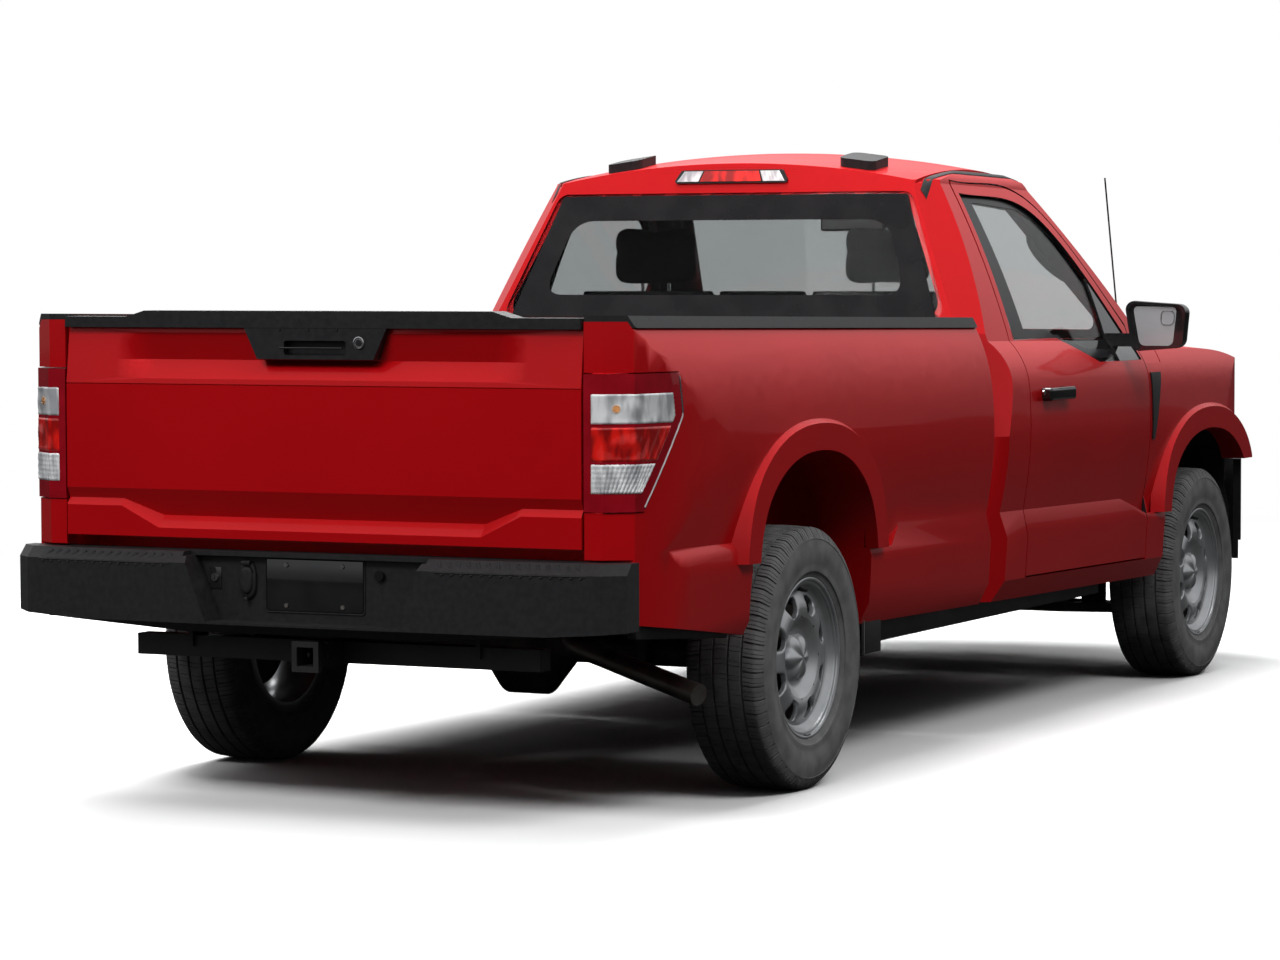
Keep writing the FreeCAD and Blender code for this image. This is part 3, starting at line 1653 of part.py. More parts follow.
def box_pieces():
    """Box sides with their arches, floor, front wall, rail caps and tail lamps."""
    half = S.body_half_width
    far = S.overall_length
    body = whole(box_section(), S.box_front_at, S.box_tail_at + S.overrun).common(
        along_z(tail_outline(0), 0, far)
    )
    wall = body.common(box_between((S.box_wall_half_width, half * 2), (-far, far), (0, far)))
    corner_at = S.box_tail_at - S.tailgate_thickness
    corner = body.common(
        box_between((S.tailgate_half_width + S.shut_gap, half), (corner_at, far), (S.rear_bumper_high, far))
    )
    rail_step = S.rail_height - S.box_floor_thickness
    ledge = body.common(
        box_between(
            (S.rail_inner_half_width, half),
            (S.box_front_at + S.box_front_wall + S.seat_gap, corner_at),
            (rail_step, far),
        )
    )
    wall = wall.fuse([corner, ledge]).cut(dip(S.rear_dip_at, S.rear_dip_low_at, S.rear_axle_at, 0))
    groove = half - S.groove_inset
    sill = half - S.sill_inset
    strip = ring_wire(
        [
            Vector(groove, 0, S.groove_height),
            Vector(half - S.strip_inset, 0, S.groove_height - S.strip_drop),
            Vector(sill, 0, S.sill_height),
            Vector(groove, 0, S.sill_height),
        ]
    )
    strip = along_y(Part.Face(strip), S.rear_axle_at, S.box_tail_at, RAKE_SHARE)
    wall = wall.fuse(strip.common(along_z(tail_outline(0), 0, far)))
    wall = wall.fuse(flare(S.rear_axle_at, S.rear_arch_half_length, S.rear_arch_rise))
    arch = along_x(arch_face(S.rear_axle_at, S.rear_arch_half_length, S.rear_arch_rise, 0), 0, half * 2)
    bumper_room = box_between(
        (0, half * 2),
        (S.rear_bumper_front_at - S.shut_gap, far),
        (0, S.rear_bumper_high + S.shut_gap),
    )
    rise = Part.Face(
        Part.makePolygon(
            [
                Vector(0, S.rear_axle_at, 0),
                Vector(0, S.rear_axle_at + S.rear_arch_half_length, S.under_height + S.tail_rise),
                Vector(0, S.box_tail_at, S.rear_bumper_end_low + S.tail_rise / 3),
                Vector(0, far, 0),
                Vector(0, S.rear_axle_at, 0),
            ]
        )
    )
    lamp_space = tail_lamp_zone(S.shut_gap / 2)
    wall = wall.cut(
        [arch, bumper_room, along_x(rise, 0, half * 2), lamp_space, tailgate_pin(S.turning_gap)]
    )
    wall = largest(wall.removeSplitter())
    shape_node("box_side_left", wall)
    shape_node("box_side_right", mirror(wall))
    stand = Vector(S.tail_lamp_stand, S.tail_lamp_stand, 0)
    moved = body.copy()
    moved.translate(stand)
    foot_x = S.tailgate_half_width + S.tail_bevel
    foot = box_between(
        (foot_x, foot_x + S.tail_bevel / 2),
        (corner_at + S.rail_cap_height, corner_at + S.rail_cap_height * 2),
        (S.tail_lamp_low - S.shut_gap / 2 + S.seat_gap, S.tail_lamp_low + S.rail_cap_height),
    )
    lamp = moved.common(tail_lamp_zone(0)).fuse(foot)
    shape_node("tail_lamps", pair(largest(lamp.removeSplitter())))
    box_floor(body)
    rail_caps(body)


def tail_lamp_zone(gap):
    """Side outline of the left tail lamp, run out from its inner edge."""
    rear = S.box_tail_at + S.overrun
    low = S.tail_lamp_low - gap
    high = S.tail_lamp_high + gap
    middle = high - (high - low) * 0.3
    outline = Part.Face(
        ring_wire(
            [
                Vector(0, rear, low),
                Vector(0, S.box_tail_at - S.tail_lamp_low_length - gap, low),
                Vector(0, S.box_tail_at - S.tail_lamp_mid_length - gap, middle),
                Vector(0, S.box_tail_at - S.tail_lamp_high_length - gap, high),
                Vector(0, rear, high),
            ]
        )
    )
    return along_x(outline, S.tailgate_half_width + S.shut_gap - gap, S.body_half_width * 2)


def box_floor(body):
    """Ribbed floor, front wall and wheelhouses as one welding."""
    inner = S.box_wall_half_width - S.seat_gap
    low = S.box_floor_height - S.box_floor_thickness
    rear = S.box_tail_at - S.tailgate_thickness - S.shut_gap * 3
    floor = box_between(
        (-inner, inner), (S.box_front_at, rear), (low, S.box_floor_height - S.floor_rib_height)
    )
    ribs = []
    count = int((S.wheelhouse_half_width * 2) // S.floor_rib_pitch)
    for step in range(count):
        middle = (step - (count - 1) / 2) * S.floor_rib_pitch
        ribs.append(
            box_between(
                (middle - S.floor_rib_width / 2, middle + S.floor_rib_width / 2),
                (S.box_front_at, rear),
                (low, S.box_floor_height),
            )
        )
    front_wall = box_between(
        (-inner, inner),
        (S.box_front_at, S.box_front_at + S.box_front_wall),
        (low, S.rail_height - S.glass_frame),
    )
    grow = S.liner_gap
    outer_arch = arch_face(
        S.rear_axle_at, S.rear_arch_half_length, S.rear_arch_rise, grow + S.wheelhouse_thickness
    )
    inner_arch = arch_face(S.rear_axle_at, S.rear_arch_half_length, S.rear_arch_rise, grow)
    house = along_x(outer_arch, S.wheelhouse_half_width, inner).cut(
        along_x(inner_arch, S.wheelhouse_half_width + S.wheelhouse_thickness, inner + S.overrun)
    )
    house = house.cut(box_between((0, inner), (S.box_front_at, rear), (0, low - S.tail_rise)))
    room = along_x(inner_arch, S.wheelhouse_half_width + S.wheelhouse_thickness, inner + S.overrun)
    sills = []
    for middle in bed_mounts():
        sills.append(
            box_between(
                (-inner, inner),
                (middle - S.bed_sill_width / 2, middle + S.bed_sill_width / 2),
                (low - S.bed_sill_height, low),
            )
        )
    floor = floor.fuse(ribs + sills + [front_wall]).cut([room, mirror(room)])
    shape_node("box_floor", largest(fuse(floor, house, mirror(house))))


def bed_mounts():
    """Stations at which the load box rests on the frame."""
    return [
        S.bed_mount_first_at, S.bed_mount_second_at, S.bed_mount_third_at, S.bed_mount_fourth_at,
        S.bed_mount_last_at
    ]


def rail_caps(body):
    """Black caps along both rails and across the front wall."""
    top = body.common(
        box_between(
            (-S.body_half_width, S.body_half_width),
            (S.box_front_at, S.overall_length),
            (S.shoulder_height, S.overall_length),
        )
    ).copy()
    top.translate(Vector(0, 0, S.rail_cap_height + S.seat_gap))
    slab = top.cut(
        whole(
            box_section(), S.box_front_at - S.overrun, S.overall_length
        ).translated(Vector(0, 0, S.seat_gap))
    )
    inner = S.rail_inner_half_width
    rear = S.box_tail_at
    hole = box_between(
        (-inner, inner),
        (S.box_front_at + S.box_front_wall, S.overall_length),
        (0, S.overall_length),
    )
    lip = Part.Face(
        ring_wire(
            [
                Vector(-S.body_half_width, 0, S.rail_height - S.glass_frame),
                Vector(S.body_half_width, 0, S.rail_height - S.glass_frame),
                Vector(S.body_half_width, 0, S.overall_length),
                Vector(-S.body_half_width, 0, S.overall_length),
            ]
        )
    )
    caps = slab.cut(hole).common(along_y(lip, S.box_front_at - S.overrun, S.overall_length, RAKE_SHARE))
    shape_node("rail_caps", largest(caps))


# Tailgate


def tailgate_pieces():
    """The tailgate panel and its black top cap with the handle bezel."""
    half = S.tailgate_half_width
    rear = S.box_tail_at + S.running_clearance
    front = S.box_tail_at - S.tailgate_thickness
    step = S.tailgate_step
    low = S.tailgate_low
    section = Part.Face(
        ring_wire(
            [
                Vector(0, front, low),
                Vector(0, rear, low),
                Vector(0, rear, S.tailgate_crease_height),
                Vector(0, rear - step * 1.5, S.tailgate_high),
                Vector(0, front, S.tailgate_high),
            ]
        )
    )
    panel = along_x(section, -half, half)
    bezel_hole = bezel_face(S.seat_gap)
    panel = panel.cut(along_y(bezel_hole, rear - step * 3, rear + step))
    crease = box_between(
        (-half * 2, half * 2),
        (rear - S.tailgate_crease_depth, rear + step),
        (S.tailgate_crease_height, S.tailgate_crease_height + S.tailgate_crease_depth),
    )
    panel = panel.cut([upper_band(rear, step), lower_ledge(rear, step), crease])
    pin = tailgate_pin(0)
    shape_node("tailgate", largest(fuse(panel, pin, mirror(pin))))
    bezel = along_y(bezel_face(0), rear - step * 3 + S.seat_gap, rear + S.bezel_stand - step)
    pull = along_y(
        rounded_face(
            [
                Vector(-S.pull_half_width, 0, S.pull_low_height),
                Vector(S.pull_half_width, 0, S.pull_low_height),
                Vector(S.pull_half_width, 0, S.pull_high_height),
                Vector(-S.pull_half_width, 0, S.pull_high_height),
            ],
            S.rail_cap_height / 2,
        ),
        rear + S.bezel_stand - step - S.pull_depth,
        rear + S.overrun,
    )
    cap = box_between(
        (-half, half), (front, rear + S.running_clearance), (
            S.tailgate_high + S.seat_gap, S.tailgate_high + S.spoiler_height
        )
    )
    raise_face = Part.Face(
        ring_wire(
            [
                Vector(
                    -S.spoiler_raise_half_width - S.overrun,
                    0,
                    S.tailgate_high + S.spoiler_height - S.seat_gap,
                ),
                Vector(
                    S.spoiler_raise_half_width + S.overrun,
                    0,
                    S.tailgate_high + S.spoiler_height - S.seat_gap,
                ),
                Vector(S.spoiler_raise_half_width, 0, S.tailgate_high + S.spoiler_height + S.spoiler_raise),
                Vector(
                    -S.spoiler_raise_half_width, 0, S.tailgate_high + S.spoiler_height + S.spoiler_raise
                ),
            ]
        )
    )
    crest = along_y(raise_face, front, rear + S.running_clearance)
    trim = fuse(cap, crest, bezel).cut(pull)
    shape_node("tailgate_trim", largest(trim))


def wedge(stations, outside):
    """A run of wedges along X from outlines given as depth and height, open to the rear."""
    wires = []
    for x, points in stations:
        corners = [Vector(x, outside, points[0][1])]
        corners += [Vector(x, y, z) for y, z in points]
        corners.append(Vector(x, outside, points[-1][1]))
        wires.append(Part.makePolygon(corners + corners[:1]))
    return Part.makeLoft(wires, True, True)


def upper_band(rear, step):
    """The hollow under the tailgate's cap that fades out towards both ends."""
    slope = step * 1.5 / (S.tailgate_high - S.tailgate_crease_height)
    levels = (S.band_high, S.band_deep_height, S.band_low)
    face = [rear - slope * (z - S.tailgate_crease_height) for z in levels]
    deep = [(face[0], levels[0]), (rear - S.band_depth, levels[1]), (face[2], levels[2])]
    shallow = [(y + S.seat_gap, z) for y, z in zip(face, levels)]
    end = S.band_end_half_width
    half = S.band_half_width
    return wedge([(-end, shallow), (-half, deep), (half, deep), (end, shallow)], rear + step)


def lower_ledge(rear, step):
    """The hollow over the tailgate's lower lip, deeper and lower between its two kinks."""
    deep = [(rear, S.ledge_high), (rear - S.ledge_depth, S.ledge_deep_height), (rear, S.ledge_low)]
    flat = [
        (rear, S.ledge_high),
        (rear - S.ledge_side_depth, S.ledge_side_deep_height),
        (rear, S.ledge_side_low),
    ]
    end = S.tailgate_half_width * 2
    side = S.ledge_side_half_width
    half = S.ledge_half_width
    return wedge(
        [(-end, flat), (-side, flat), (-half, deep), (half, deep), (side, flat), (end, flat)], rear + step
    )


def tailgate_pin(gap):
    """The left trunnion that the tailgate turns on, grown by a gap."""
    start = S.tailgate_half_width - S.tailgate_pin_length
    return Part.makeCylinder(
        S.tailgate_pin_radius + gap,
        S.tailgate_pin_length * 2 + gap,
        Vector(start, S.box_tail_at - S.tailgate_hinge_inset, S.tailgate_hinge_height),
        Vector(1, 0, 0),
    )


def bezel_face(gap):
    """Trapezium of the handle bezel, grown by a gap."""
    return Part.Face(
        ring_wire(
            [
                Vector(-S.bezel_low_half_width - gap, 0, S.bezel_low_height - gap),
                Vector(S.bezel_low_half_width + gap, 0, S.bezel_low_height - gap),
                Vector(S.bezel_top_half_width + gap, 0, S.tailgate_high + S.seat_gap * 2),
                Vector(-S.bezel_top_half_width - gap, 0, S.tailgate_high + S.seat_gap * 2),
            ]
        )
    )


# Rear bumper


def rear_bumper():
    """Step bumper with its plate recess, a shell open below and ahead."""
    half = S.rear_bumper_half_width
    flat = S.rear_bumper_flat_half_width
    rear = -S.nose_at
    front = S.rear_bumper_front_at
    low = S.rear_bumper_low
    high = S.rear_bumper_high

    def layer(inset, back, z):
        side = rear - S.overrun / 2 - inset - back
        arc = Part.Arc(
            Vector(flat - inset, side, z), Vector(0, rear - inset - back, z), Vector(-flat + inset, side, z)
        ).toShape()
        corner = side - S.rear_bumper_corner
        return ring_wire(
            [
                arc,
                Vector(-half + inset, corner, z),
                Vector(-half + inset, front - inset, z),
                Vector(half - inset, front - inset, z),
                Vector(half - inset, corner, z),
            ]
        )

    def plan(inset):
        high_wall = high - inset
        layers = [
            layer(inset, S.rear_bumper_tuck, low - high),
            layer(inset, S.rear_bumper_tuck, low),
            layer(inset, 0, low + S.rear_bumper_tuck_height),
            layer(inset, 0, high_wall - S.rear_bumper_chamfer),
            layer(inset, S.rear_bumper_chamfer, high_wall),
        ]
        return Part.makeLoft(layers, True, True)

    def elevation(inset):
        return Part.Face(
            ring_wire(
                [
                    Vector(-half, 0, high - inset),
                    Vector(-half, 0, S.rear_bumper_end_low - inset * 4),
                    Vector(-S.plate_recess_top_half_width, 0, low - inset * 4),
                    Vector(S.plate_recess_top_half_width, 0, low - inset * 4),
                    Vector(half, 0, S.rear_bumper_end_low - inset * 4),
                    Vector(half, 0, high - inset),
                ]
            )
        )

    wall = S.rear_bumper_wall
    body = plan(0).common(along_y(elevation(0), 0, rear * 2))
    hollow = plan(wall).common(along_y(elevation(wall), 0, rear * 2))
    recess = Part.Face(
        ring_wire(
            [
                Vector(-S.plate_recess_low_half_width, 0, S.plate_low - wall),
                Vector(S.plate_recess_low_half_width, 0, S.plate_low - wall),
                Vector(S.plate_recess_top_half_width, 0, high + wall),
                Vector(-S.plate_recess_top_half_width, 0, high + wall),
            ]
        )
    )
    recess_at = rear - S.plate_recess_depth
    bay = along_y(recess, recess_at, rear * 2)
    core_wall = wall
    bay_core = along_y(grown_face(recess, wall), recess_at - core_wall, rear * 2)
    cover = box_between((-half, half), (-rear, rear * 2), (0, high - S.plate_recess_step))
    shell = body.cut(hollow).fuse(body.common(bay_core).common(cover)).cut(bay.common(cover)).cut(
        box_between(
            (-S.plate_recess_top_half_width, S.plate_recess_top_half_width),
            (recess_at + wall, rear * 2),
            (high - S.plate_recess_step, high * 2),
        )
    )
    hole_height = S.plate_low + S.plate_height - S.plate_hole_drop
    for side in (-1, 1):
        hole = Part.makeCylinder(
            S.plate_hole_radius,
            core_wall * 3,
            Vector(side * S.plate_hole_spacing / 2, recess_at - core_wall * 2, hole_height),
            Vector(0, 1, 0),
        )
        shell = shell.cut(hole)
    rail = S.rail_outer_half_width
    bracket = box_between(
        (S.plate_recess_top_half_width + S.running_clearance, rail - S.running_clearance),
        (S.frame_tail_at + S.seat_gap, rear - S.overrun / 3),
        (
            S.frame_tail_low + S.bumper_pad_depth,
            S.frame_tail_low + S.frame_tail_depth - S.running_clearance,
        ),
    )
    shape_node("rear_bumper", largest(fuse(shell, bracket, mirror(bracket))))


def grown_face(flat, width):
    """A flat face grown all round by a width."""
    return Part.Face(flat.OuterWire.makeOffset2D(width))


# Wheels


def tyre(name, axle, centre, turn):
    """One tyre, turned about its axle."""
    body = new_body(name, centre, axle, "tyre_radius", turn)
    outline = sketch(
        body,
        "XY_Plane",
        [
            ("-tread_width / 2", "tyre_radius"),
            ("tread_width / 2", "tyre_radius"),
            ("tyre_width / 2 - shoulder_drop / 4", "tyre_radius - shoulder_drop"),
            ("tyre_width / 2", "(tyre_radius + flange_radius) / 2"),
            ("rim_width / 2", "flange_radius + seat_gap"),
            ("-rim_width / 2", "flange_radius + seat_gap"),
            ("-tyre_width / 2", "(tyre_radius + flange_radius) / 2"),
            ("-tyre_width / 2 + shoulder_drop / 4", "tyre_radius - shoulder_drop"),
        ],
    )
    revolve(body, outline)
    node(body, name)


def rim(name, axle, centre, turn):
    """One rim with its pierced disc, hub and brake disc; its outer face points along X."""
    body = new_body(name, centre, axle, "tyre_radius", turn)
    bead = "flange_radius - flange_thickness * 2.5"
    outline = sketch(
        body,
        "XY_Plane",
        [
            ("rim_width / 2", "flange_radius"),
            ("rim_width / 2 - flange_thickness", "flange_radius"),
            ("rim_width / 2 - flange_thickness", bead),
            ("rim_width / 4", "drop_radius"),
            ("-rim_width / 5", "drop_radius"),
            ("-rim_width / 2 + flange_thickness", bead),
            ("-rim_width / 2 + flange_thickness", "flange_radius"),
            ("-rim_width / 2", "flange_radius"),
            ("-rim_width / 2", bead + " - barrel_wall"),
            ("-rim_width / 5", "drop_radius - barrel_wall"),
            ("wheel_offset", "drop_radius - barrel_wall"),
            ("crown_stand - disc_sheet", "crown_radius"),
            ("wheel_offset", "bolt_face_radius"),
            ("wheel_offset", "hub_bore_radius"),
            ("cap_stand - disc_sheet", "hub_bore_radius"),
            ("cap_stand - disc_sheet", "0"),
            ("cap_stand", "0"),
            ("cap_stand", "cap_radius * 0.7"),
            ("cap_stand - disc_sheet", "cap_radius"),
            ("bolt_face_stand", "cap_radius"),
            ("bolt_face_stand", "bolt_face_radius"),
            ("crown_stand", "crown_radius"),
            ("crown_stand - disc_sheet", "dish_radius"),
            ("rim_width / 2 - flange_thickness", bead + " - barrel_wall"),
            ("rim_width / 2", "flange_radius - flange_thickness"),
        ],
    )
    revolve(body, outline)
    hub = sketch(
        body,
        "XY_Plane",
        [
            ("brake_disc_stand", "hub_bore_radius"),
            ("brake_disc_stand", "brake_disc_radius"),
            ("brake_disc_stand + brake_disc_thickness", "brake_disc_radius"),
            ("brake_disc_stand + brake_disc_thickness", "hub_radius"),
            ("wheel_offset", "hub_radius"),
            ("wheel_offset", "hub_bore_radius"),
        ],
    )
    revolve(body, hub)
    window = sketch(
        body,
        "YZ_Plane",
        [
            ("window_inner_radius", "-window_inner_half_width"),
            ("window_outer_radius - window_corner_radius", "-window_outer_half_width"),
            ("window_outer_radius", "-window_outer_half_width + window_corner_radius"),
            ("window_outer_radius", "window_outer_half_width - window_corner_radius"),
            ("window_outer_radius - window_corner_radius", "window_outer_half_width"),
            ("window_inner_radius", "window_inner_half_width"),
        ],
        "wheel_offset - flange_thickness",
    )
    pierced = pocket(body, window, "rim_width / 2", reversed_way=True)
    doc.recompute()
    repeat(body, pierced, RIM_WINDOWS, "X_Axis")
    node(body, name)


def wheels():
    for end, axle, track in (("front", FRONT_AXLE, "front_track"), ("rear", REAR_AXLE, "rear_track")):
        for side, sign, turn in (("left", "", None), ("right", "-", Rotation(Vector(0, 0, 1), 180))):
            tyre(f"tyre_{end}_{side}", axle, f"{sign}{track} / 2", turn)
            rim(f"rim_{end}_{side}", axle, f"{sign}{track} / 2", turn)


def brake_caliper(label, axle, wheel_x, king_x):
    """A caliper that straddles the brake disc, with its bracket, on the left side."""
    jaw = block(
        label + "_jaw", "caliper_inner + caliper_outer", "caliper_far - caliper_near", "caliper_length",
        f"{wheel_x} - caliper_inner", f"{axle} + caliper_near", "tyre_radius - caliper_length / 2",
    )
    arm = block(
        label + "_bracket", f"{wheel_x} - caliper_inner / 2 - ({king_x})", "caliper_near + caliper_inner",
        "bracket_thickness", king_x, axle, "tyre_radius - bracket_thickness / 2",
    )
    room = rod(
        label + "_room", "brake_disc_radius + running_clearance",
        "brake_disc_thickness + running_clearance * 2",
        f"{wheel_x} + brake_disc_stand - running_clearance", axle, "tyre_radius", Vector(1, 0, 0),
    )
    joined = fuse_objects(label + "_joined", [jaw, arm])
    return cut_objects(label, joined, room)


def knuckles():
    """Front uprights: stub axle, ball pins, steering arm and caliper."""
    wheel = "front_track / 2"
    king = "front_track / 2 - steer_axis_inset"
    eye = "arm_thickness / 2 + running_clearance"
    low = "tyre_radius - ball_joint_rise"
    arm_z = "tyre_radius - steering_arm_drop"
    items = [
        rod(
            "upright",
            "upright_radius",
            f"ball_joint_rise * 2 - ({eye}) * 2",
            king,
            FRONT_AXLE,
            f"{low} + {eye}",
            Vector(0, 0, 1),
        ),
        rod(
            "ball_pins",
            "pin_radius",
            "ball_joint_rise * 2 + arm_thickness",
            king,
            FRONT_AXLE,
            f"{low} - arm_thickness / 2",
            Vector(0, 0, 1),
        ),
        rod(
            "bearing", "bearing_radius",
            "steer_axis_inset + upright_radius + brake_disc_stand - running_clearance",
            f"{king} - upright_radius", FRONT_AXLE, "tyre_radius", Vector(1, 0, 0),
        ),
        rod(
            "stub", "hub_bore_radius - turning_gap", "steer_axis_inset + bolt_face_stand",
            king, FRONT_AXLE, "tyre_radius", Vector(1, 0, 0),
        ),
        block(
            "steering_arm", "steering_arm_width", "steering_arm_length", "steering_arm_thickness",
            f"{king} - steering_arm_inset - steering_arm_width / 2", f"{FRONT_AXLE} - steering_arm_length",
            f"{arm_z} - steering_arm_thickness / 2",
        ),
        block(
            "steering_arm_root", "steering_arm_inset + steering_arm_width / 2", "upright_radius * 2",
            "steering_arm_thickness",
            f"{king} - steering_arm_inset - steering_arm_width / 2", f"{FRONT_AXLE} - upright_radius",
            f"{arm_z} - steering_arm_thickness / 2",
        ),
        rod(
            "steering_arm_eye", "steering_arm_width / 2", "steering_arm_thickness",
            f"{king} - steering_arm_inset", f"{FRONT_AXLE} - steering_arm_length",
            f"{arm_z} - steering_arm_thickness / 2", Vector(0, 0, 1),
        ),
        brake_caliper("front_caliper", FRONT_AXLE, wheel, king),
    ]
    left = fuse_objects("knuckle_left", items)
    node(left, "knuckle_left")
    right = doc.addObject("Part::Mirroring", "knuckle_right")
    right.Source = left
    right.Normal = Vector(1, 0, 0)
    node(right, "knuckle_right")


# Chassis


def other_side(item, name):
    copy = doc.addObject("Part::Mirroring", name)
    copy.Source = item
    copy.Normal = Vector(1, 0, 0)
    return copy


def chassis_frame():
    """Ladder frame: two kicked rails, crossmembers, spring towers and the tow receiver."""
    body = new_body("frame_rail")
    kick_front = REAR_AXLE + " - frame_kick_half_length"
    kick_rear = REAR_AXLE + " + frame_kick_half_length"
    nose_rear = FRONT_AXLE + " + spring_radius * 3"
    outline = sketch(
        body,
        "YZ_Plane",
        [
            ("frame_nose_at", "frame_nose_low"),
            (nose_rear, "frame_nose_low"),
            (nose_rear + " + frame_ramp_length", "frame_rail_low"),
            (kick_front + " - frame_ramp_length", "frame_rail_low"),
            (kick_front, "frame_kick_low"),
            (kick_rear, "frame_kick_low"),
            (kick_rear + " + frame_ramp_length", "frame_tail_low"),
            ("frame_tail_at", "frame_tail_low"),
            ("frame_tail_at", "frame_tail_low + frame_tail_depth"),
            (kick_rear + " + frame_ramp_length", "frame_tail_low + frame_tail_depth"),
            (kick_rear, "frame_kick_low + frame_kick_depth"),
            (kick_front, "frame_kick_low + frame_kick_depth"),
            (kick_front + " - frame_ramp_length", "frame_rail_low + frame_rail_depth"),
            (nose_rear + " + frame_ramp_length", "frame_rail_low + frame_rail_depth"),
            (nose_rear, "frame_nose_low + frame_nose_depth"),
            ("frame_nose_at", "frame_nose_low + frame_nose_depth"),
        ],
        "rail_outer_half_width - rail_tube_width",
    )
    pad(body, outline, "rail_tube_width")
    items = [body]
    inner = "rail_outer_half_width - rail_tube_width"
    for label, y, z, tall in (
        ("nose_cross", "frame_nose_at + crossmember_size", "frame_nose_low", "frame_nose_depth"),
        (
            "middle_cross", "tank_front_at + tank_length + crossmember_size",
            "frame_rail_low + crossmember_size * 1.6", "crossmember_size",
        ),
        ("kick_cross", kick_rear, "frame_kick_low + crossmember_size * 0.7", "crossmember_size * 0.7"),
        ("tail_cross", "frame_tail_at - crossmember_size", "frame_tail_low", "frame_tail_depth"),
    ):
        items.append(block(label, f"({inner}) * 2", "crossmember_size", tall, f"-({inner})", y, z))
    items.append(
        block(
            "cab_cross", "rail_outer_half_width * 2", "crossmember_size", "crossmember_size",
            "-rail_outer_half_width",
            "shaft_front_at - crossmember_size * 2", "frame_rail_low - crossmember_size",
        )
    )
    cradle_half = "lower_arm_spread - running_clearance"
    cradle_low = "tyre_radius - ball_joint_rise - arm_thickness / 2"
    items.append(
        block(
            "cradle", "rail_outer_half_width * 2", f"({cradle_half}) * 2", "arm_thickness",
            "-rail_outer_half_width", f"{FRONT_AXLE} - ({cradle_half})", cradle_low,
        )
    )
    sides = [
        block(
            "cradle_side", "arm_thickness", f"({cradle_half}) * 2", f"frame_nose_low - ({cradle_low})",
            "rail_outer_half_width - arm_thickness", f"{FRONT_AXLE} - ({cradle_half})", cradle_low,
        ),
        block(
            "tower_leg", "rail_tube_width", "spring_radius * 2",
            "spring_top + arm_thickness - frame_nose_low - frame_nose_depth",
            inner, f"{FRONT_AXLE} - spring_radius", "frame_nose_low + frame_nose_depth",
        ),
        block(
            "tower_top", f"spring_at + spring_radius - ({inner})", "spring_radius * 2", "arm_thickness",
            inner, f"{FRONT_AXLE} - spring_radius", "spring_top",
        ),
    ]
    mount_x = "rail_outer_half_width - rail_tube_width / 2"
    cab_top = "floor_height - floor_thickness - seat_gap"
    bed_top = "box_floor_height - box_floor_thickness - bed_sill_height - seat_gap"
    for station in ("first", "middle", "last"):
        base = "frame_rail_low + frame_rail_depth / 2"
        sides.append(
            rod(
                "cab_mount",
                "mount_radius * 0.9",
                f"{cab_top} - ({base})",
                mount_x,
                f"cab_mount_{station}_at",
                base,
                Vector(0, 0, 1),
            )
        )
    for station in ("first", "second", "third", "fourth", "last"):
        base = "frame_tail_low" if station in ("first", "second") else "frame_kick_low + frame_kick_depth / 4"
        sides.append(
            rod(
                "bed_mount",
                "mount_radius * 0.9",
                f"{bed_top} - ({base})",
                mount_x,
                f"bed_mount_{station}_at",
                base,
                Vector(0, 0, 1),
            )
        )
    left = fuse_objects("frame_sides", [body] + sides)
    receiver = receiver_tube()
    joined = fuse_objects(
        "frame_joined", [left, other_side(left, "frame_sides_right")] + items[1:] + receiver
    )
    bore = block(
        "receiver_bore", "receiver_size - receiver_wall * 2", "receiver_length + overrun",
        "receiver_size - receiver_wall * 2", "receiver_wall - receiver_size / 2",
        "receiver_mouth_at - receiver_length - overrun / 2",
        "receiver_height - receiver_size / 2 + receiver_wall",
    )
    pin = rod(
        "receiver_pin_hole", "receiver_pin_radius", "receiver_size * 2", "-receiver_size",
        "receiver_mouth_at - receiver_pin_setback", "receiver_height", Vector(1, 0, 0),
    )
    tools = fuse_objects("receiver_holes", [bore, pin])
    node(cut_objects("chassis_frame", joined, tools), "chassis_frame")


def receiver_tube():
    """The square tow receiver, its mouth collar, cross tube and side plates."""
    size = "receiver_size"
    low = "receiver_height - receiver_size / 2"
    return [
        block(
            "receiver",
            size,
            "receiver_length",
            size,
            "-receiver_size / 2",
            "receiver_mouth_at - receiver_length",
            low,
        ),
        block(
            "receiver_collar", "receiver_size + receiver_collar * 2", "receiver_collar * 2",
            "receiver_size + receiver_collar * 2", "-receiver_size / 2 - receiver_collar",
            "receiver_mouth_at - receiver_collar * 2", f"{low} - receiver_collar",
        ),
        block(
            "hitch_tube_left", "hitch_half_width - receiver_size / 2 + receiver_wall", "hitch_tube",
            "hitch_tube",
            "receiver_size / 2 - receiver_wall", "hitch_tube_at", "receiver_height - hitch_tube / 2",
        ),
        block(
            "hitch_tube_right", "hitch_half_width - receiver_size / 2 + receiver_wall", "hitch_tube",
            "hitch_tube",
            "-hitch_half_width", "hitch_tube_at", "receiver_height - hitch_tube / 2",
        ),
        block(
            "hitch_plate_left", "receiver_wall * 2", "hitch_tube * 1.4",
            "frame_tail_low + frame_tail_depth - receiver_height",
            "rail_outer_half_width", "hitch_tube_at - hitch_tube * 0.2", "receiver_height",
        ),
        block(
            "hitch_plate_right", "receiver_wall * 2", "hitch_tube * 1.4",
            "frame_tail_low + frame_tail_depth - receiver_height",
            "-rail_outer_half_width - receiver_wall * 2", "hitch_tube_at - hitch_tube * 0.2",
            "receiver_height",
        ),
    ]


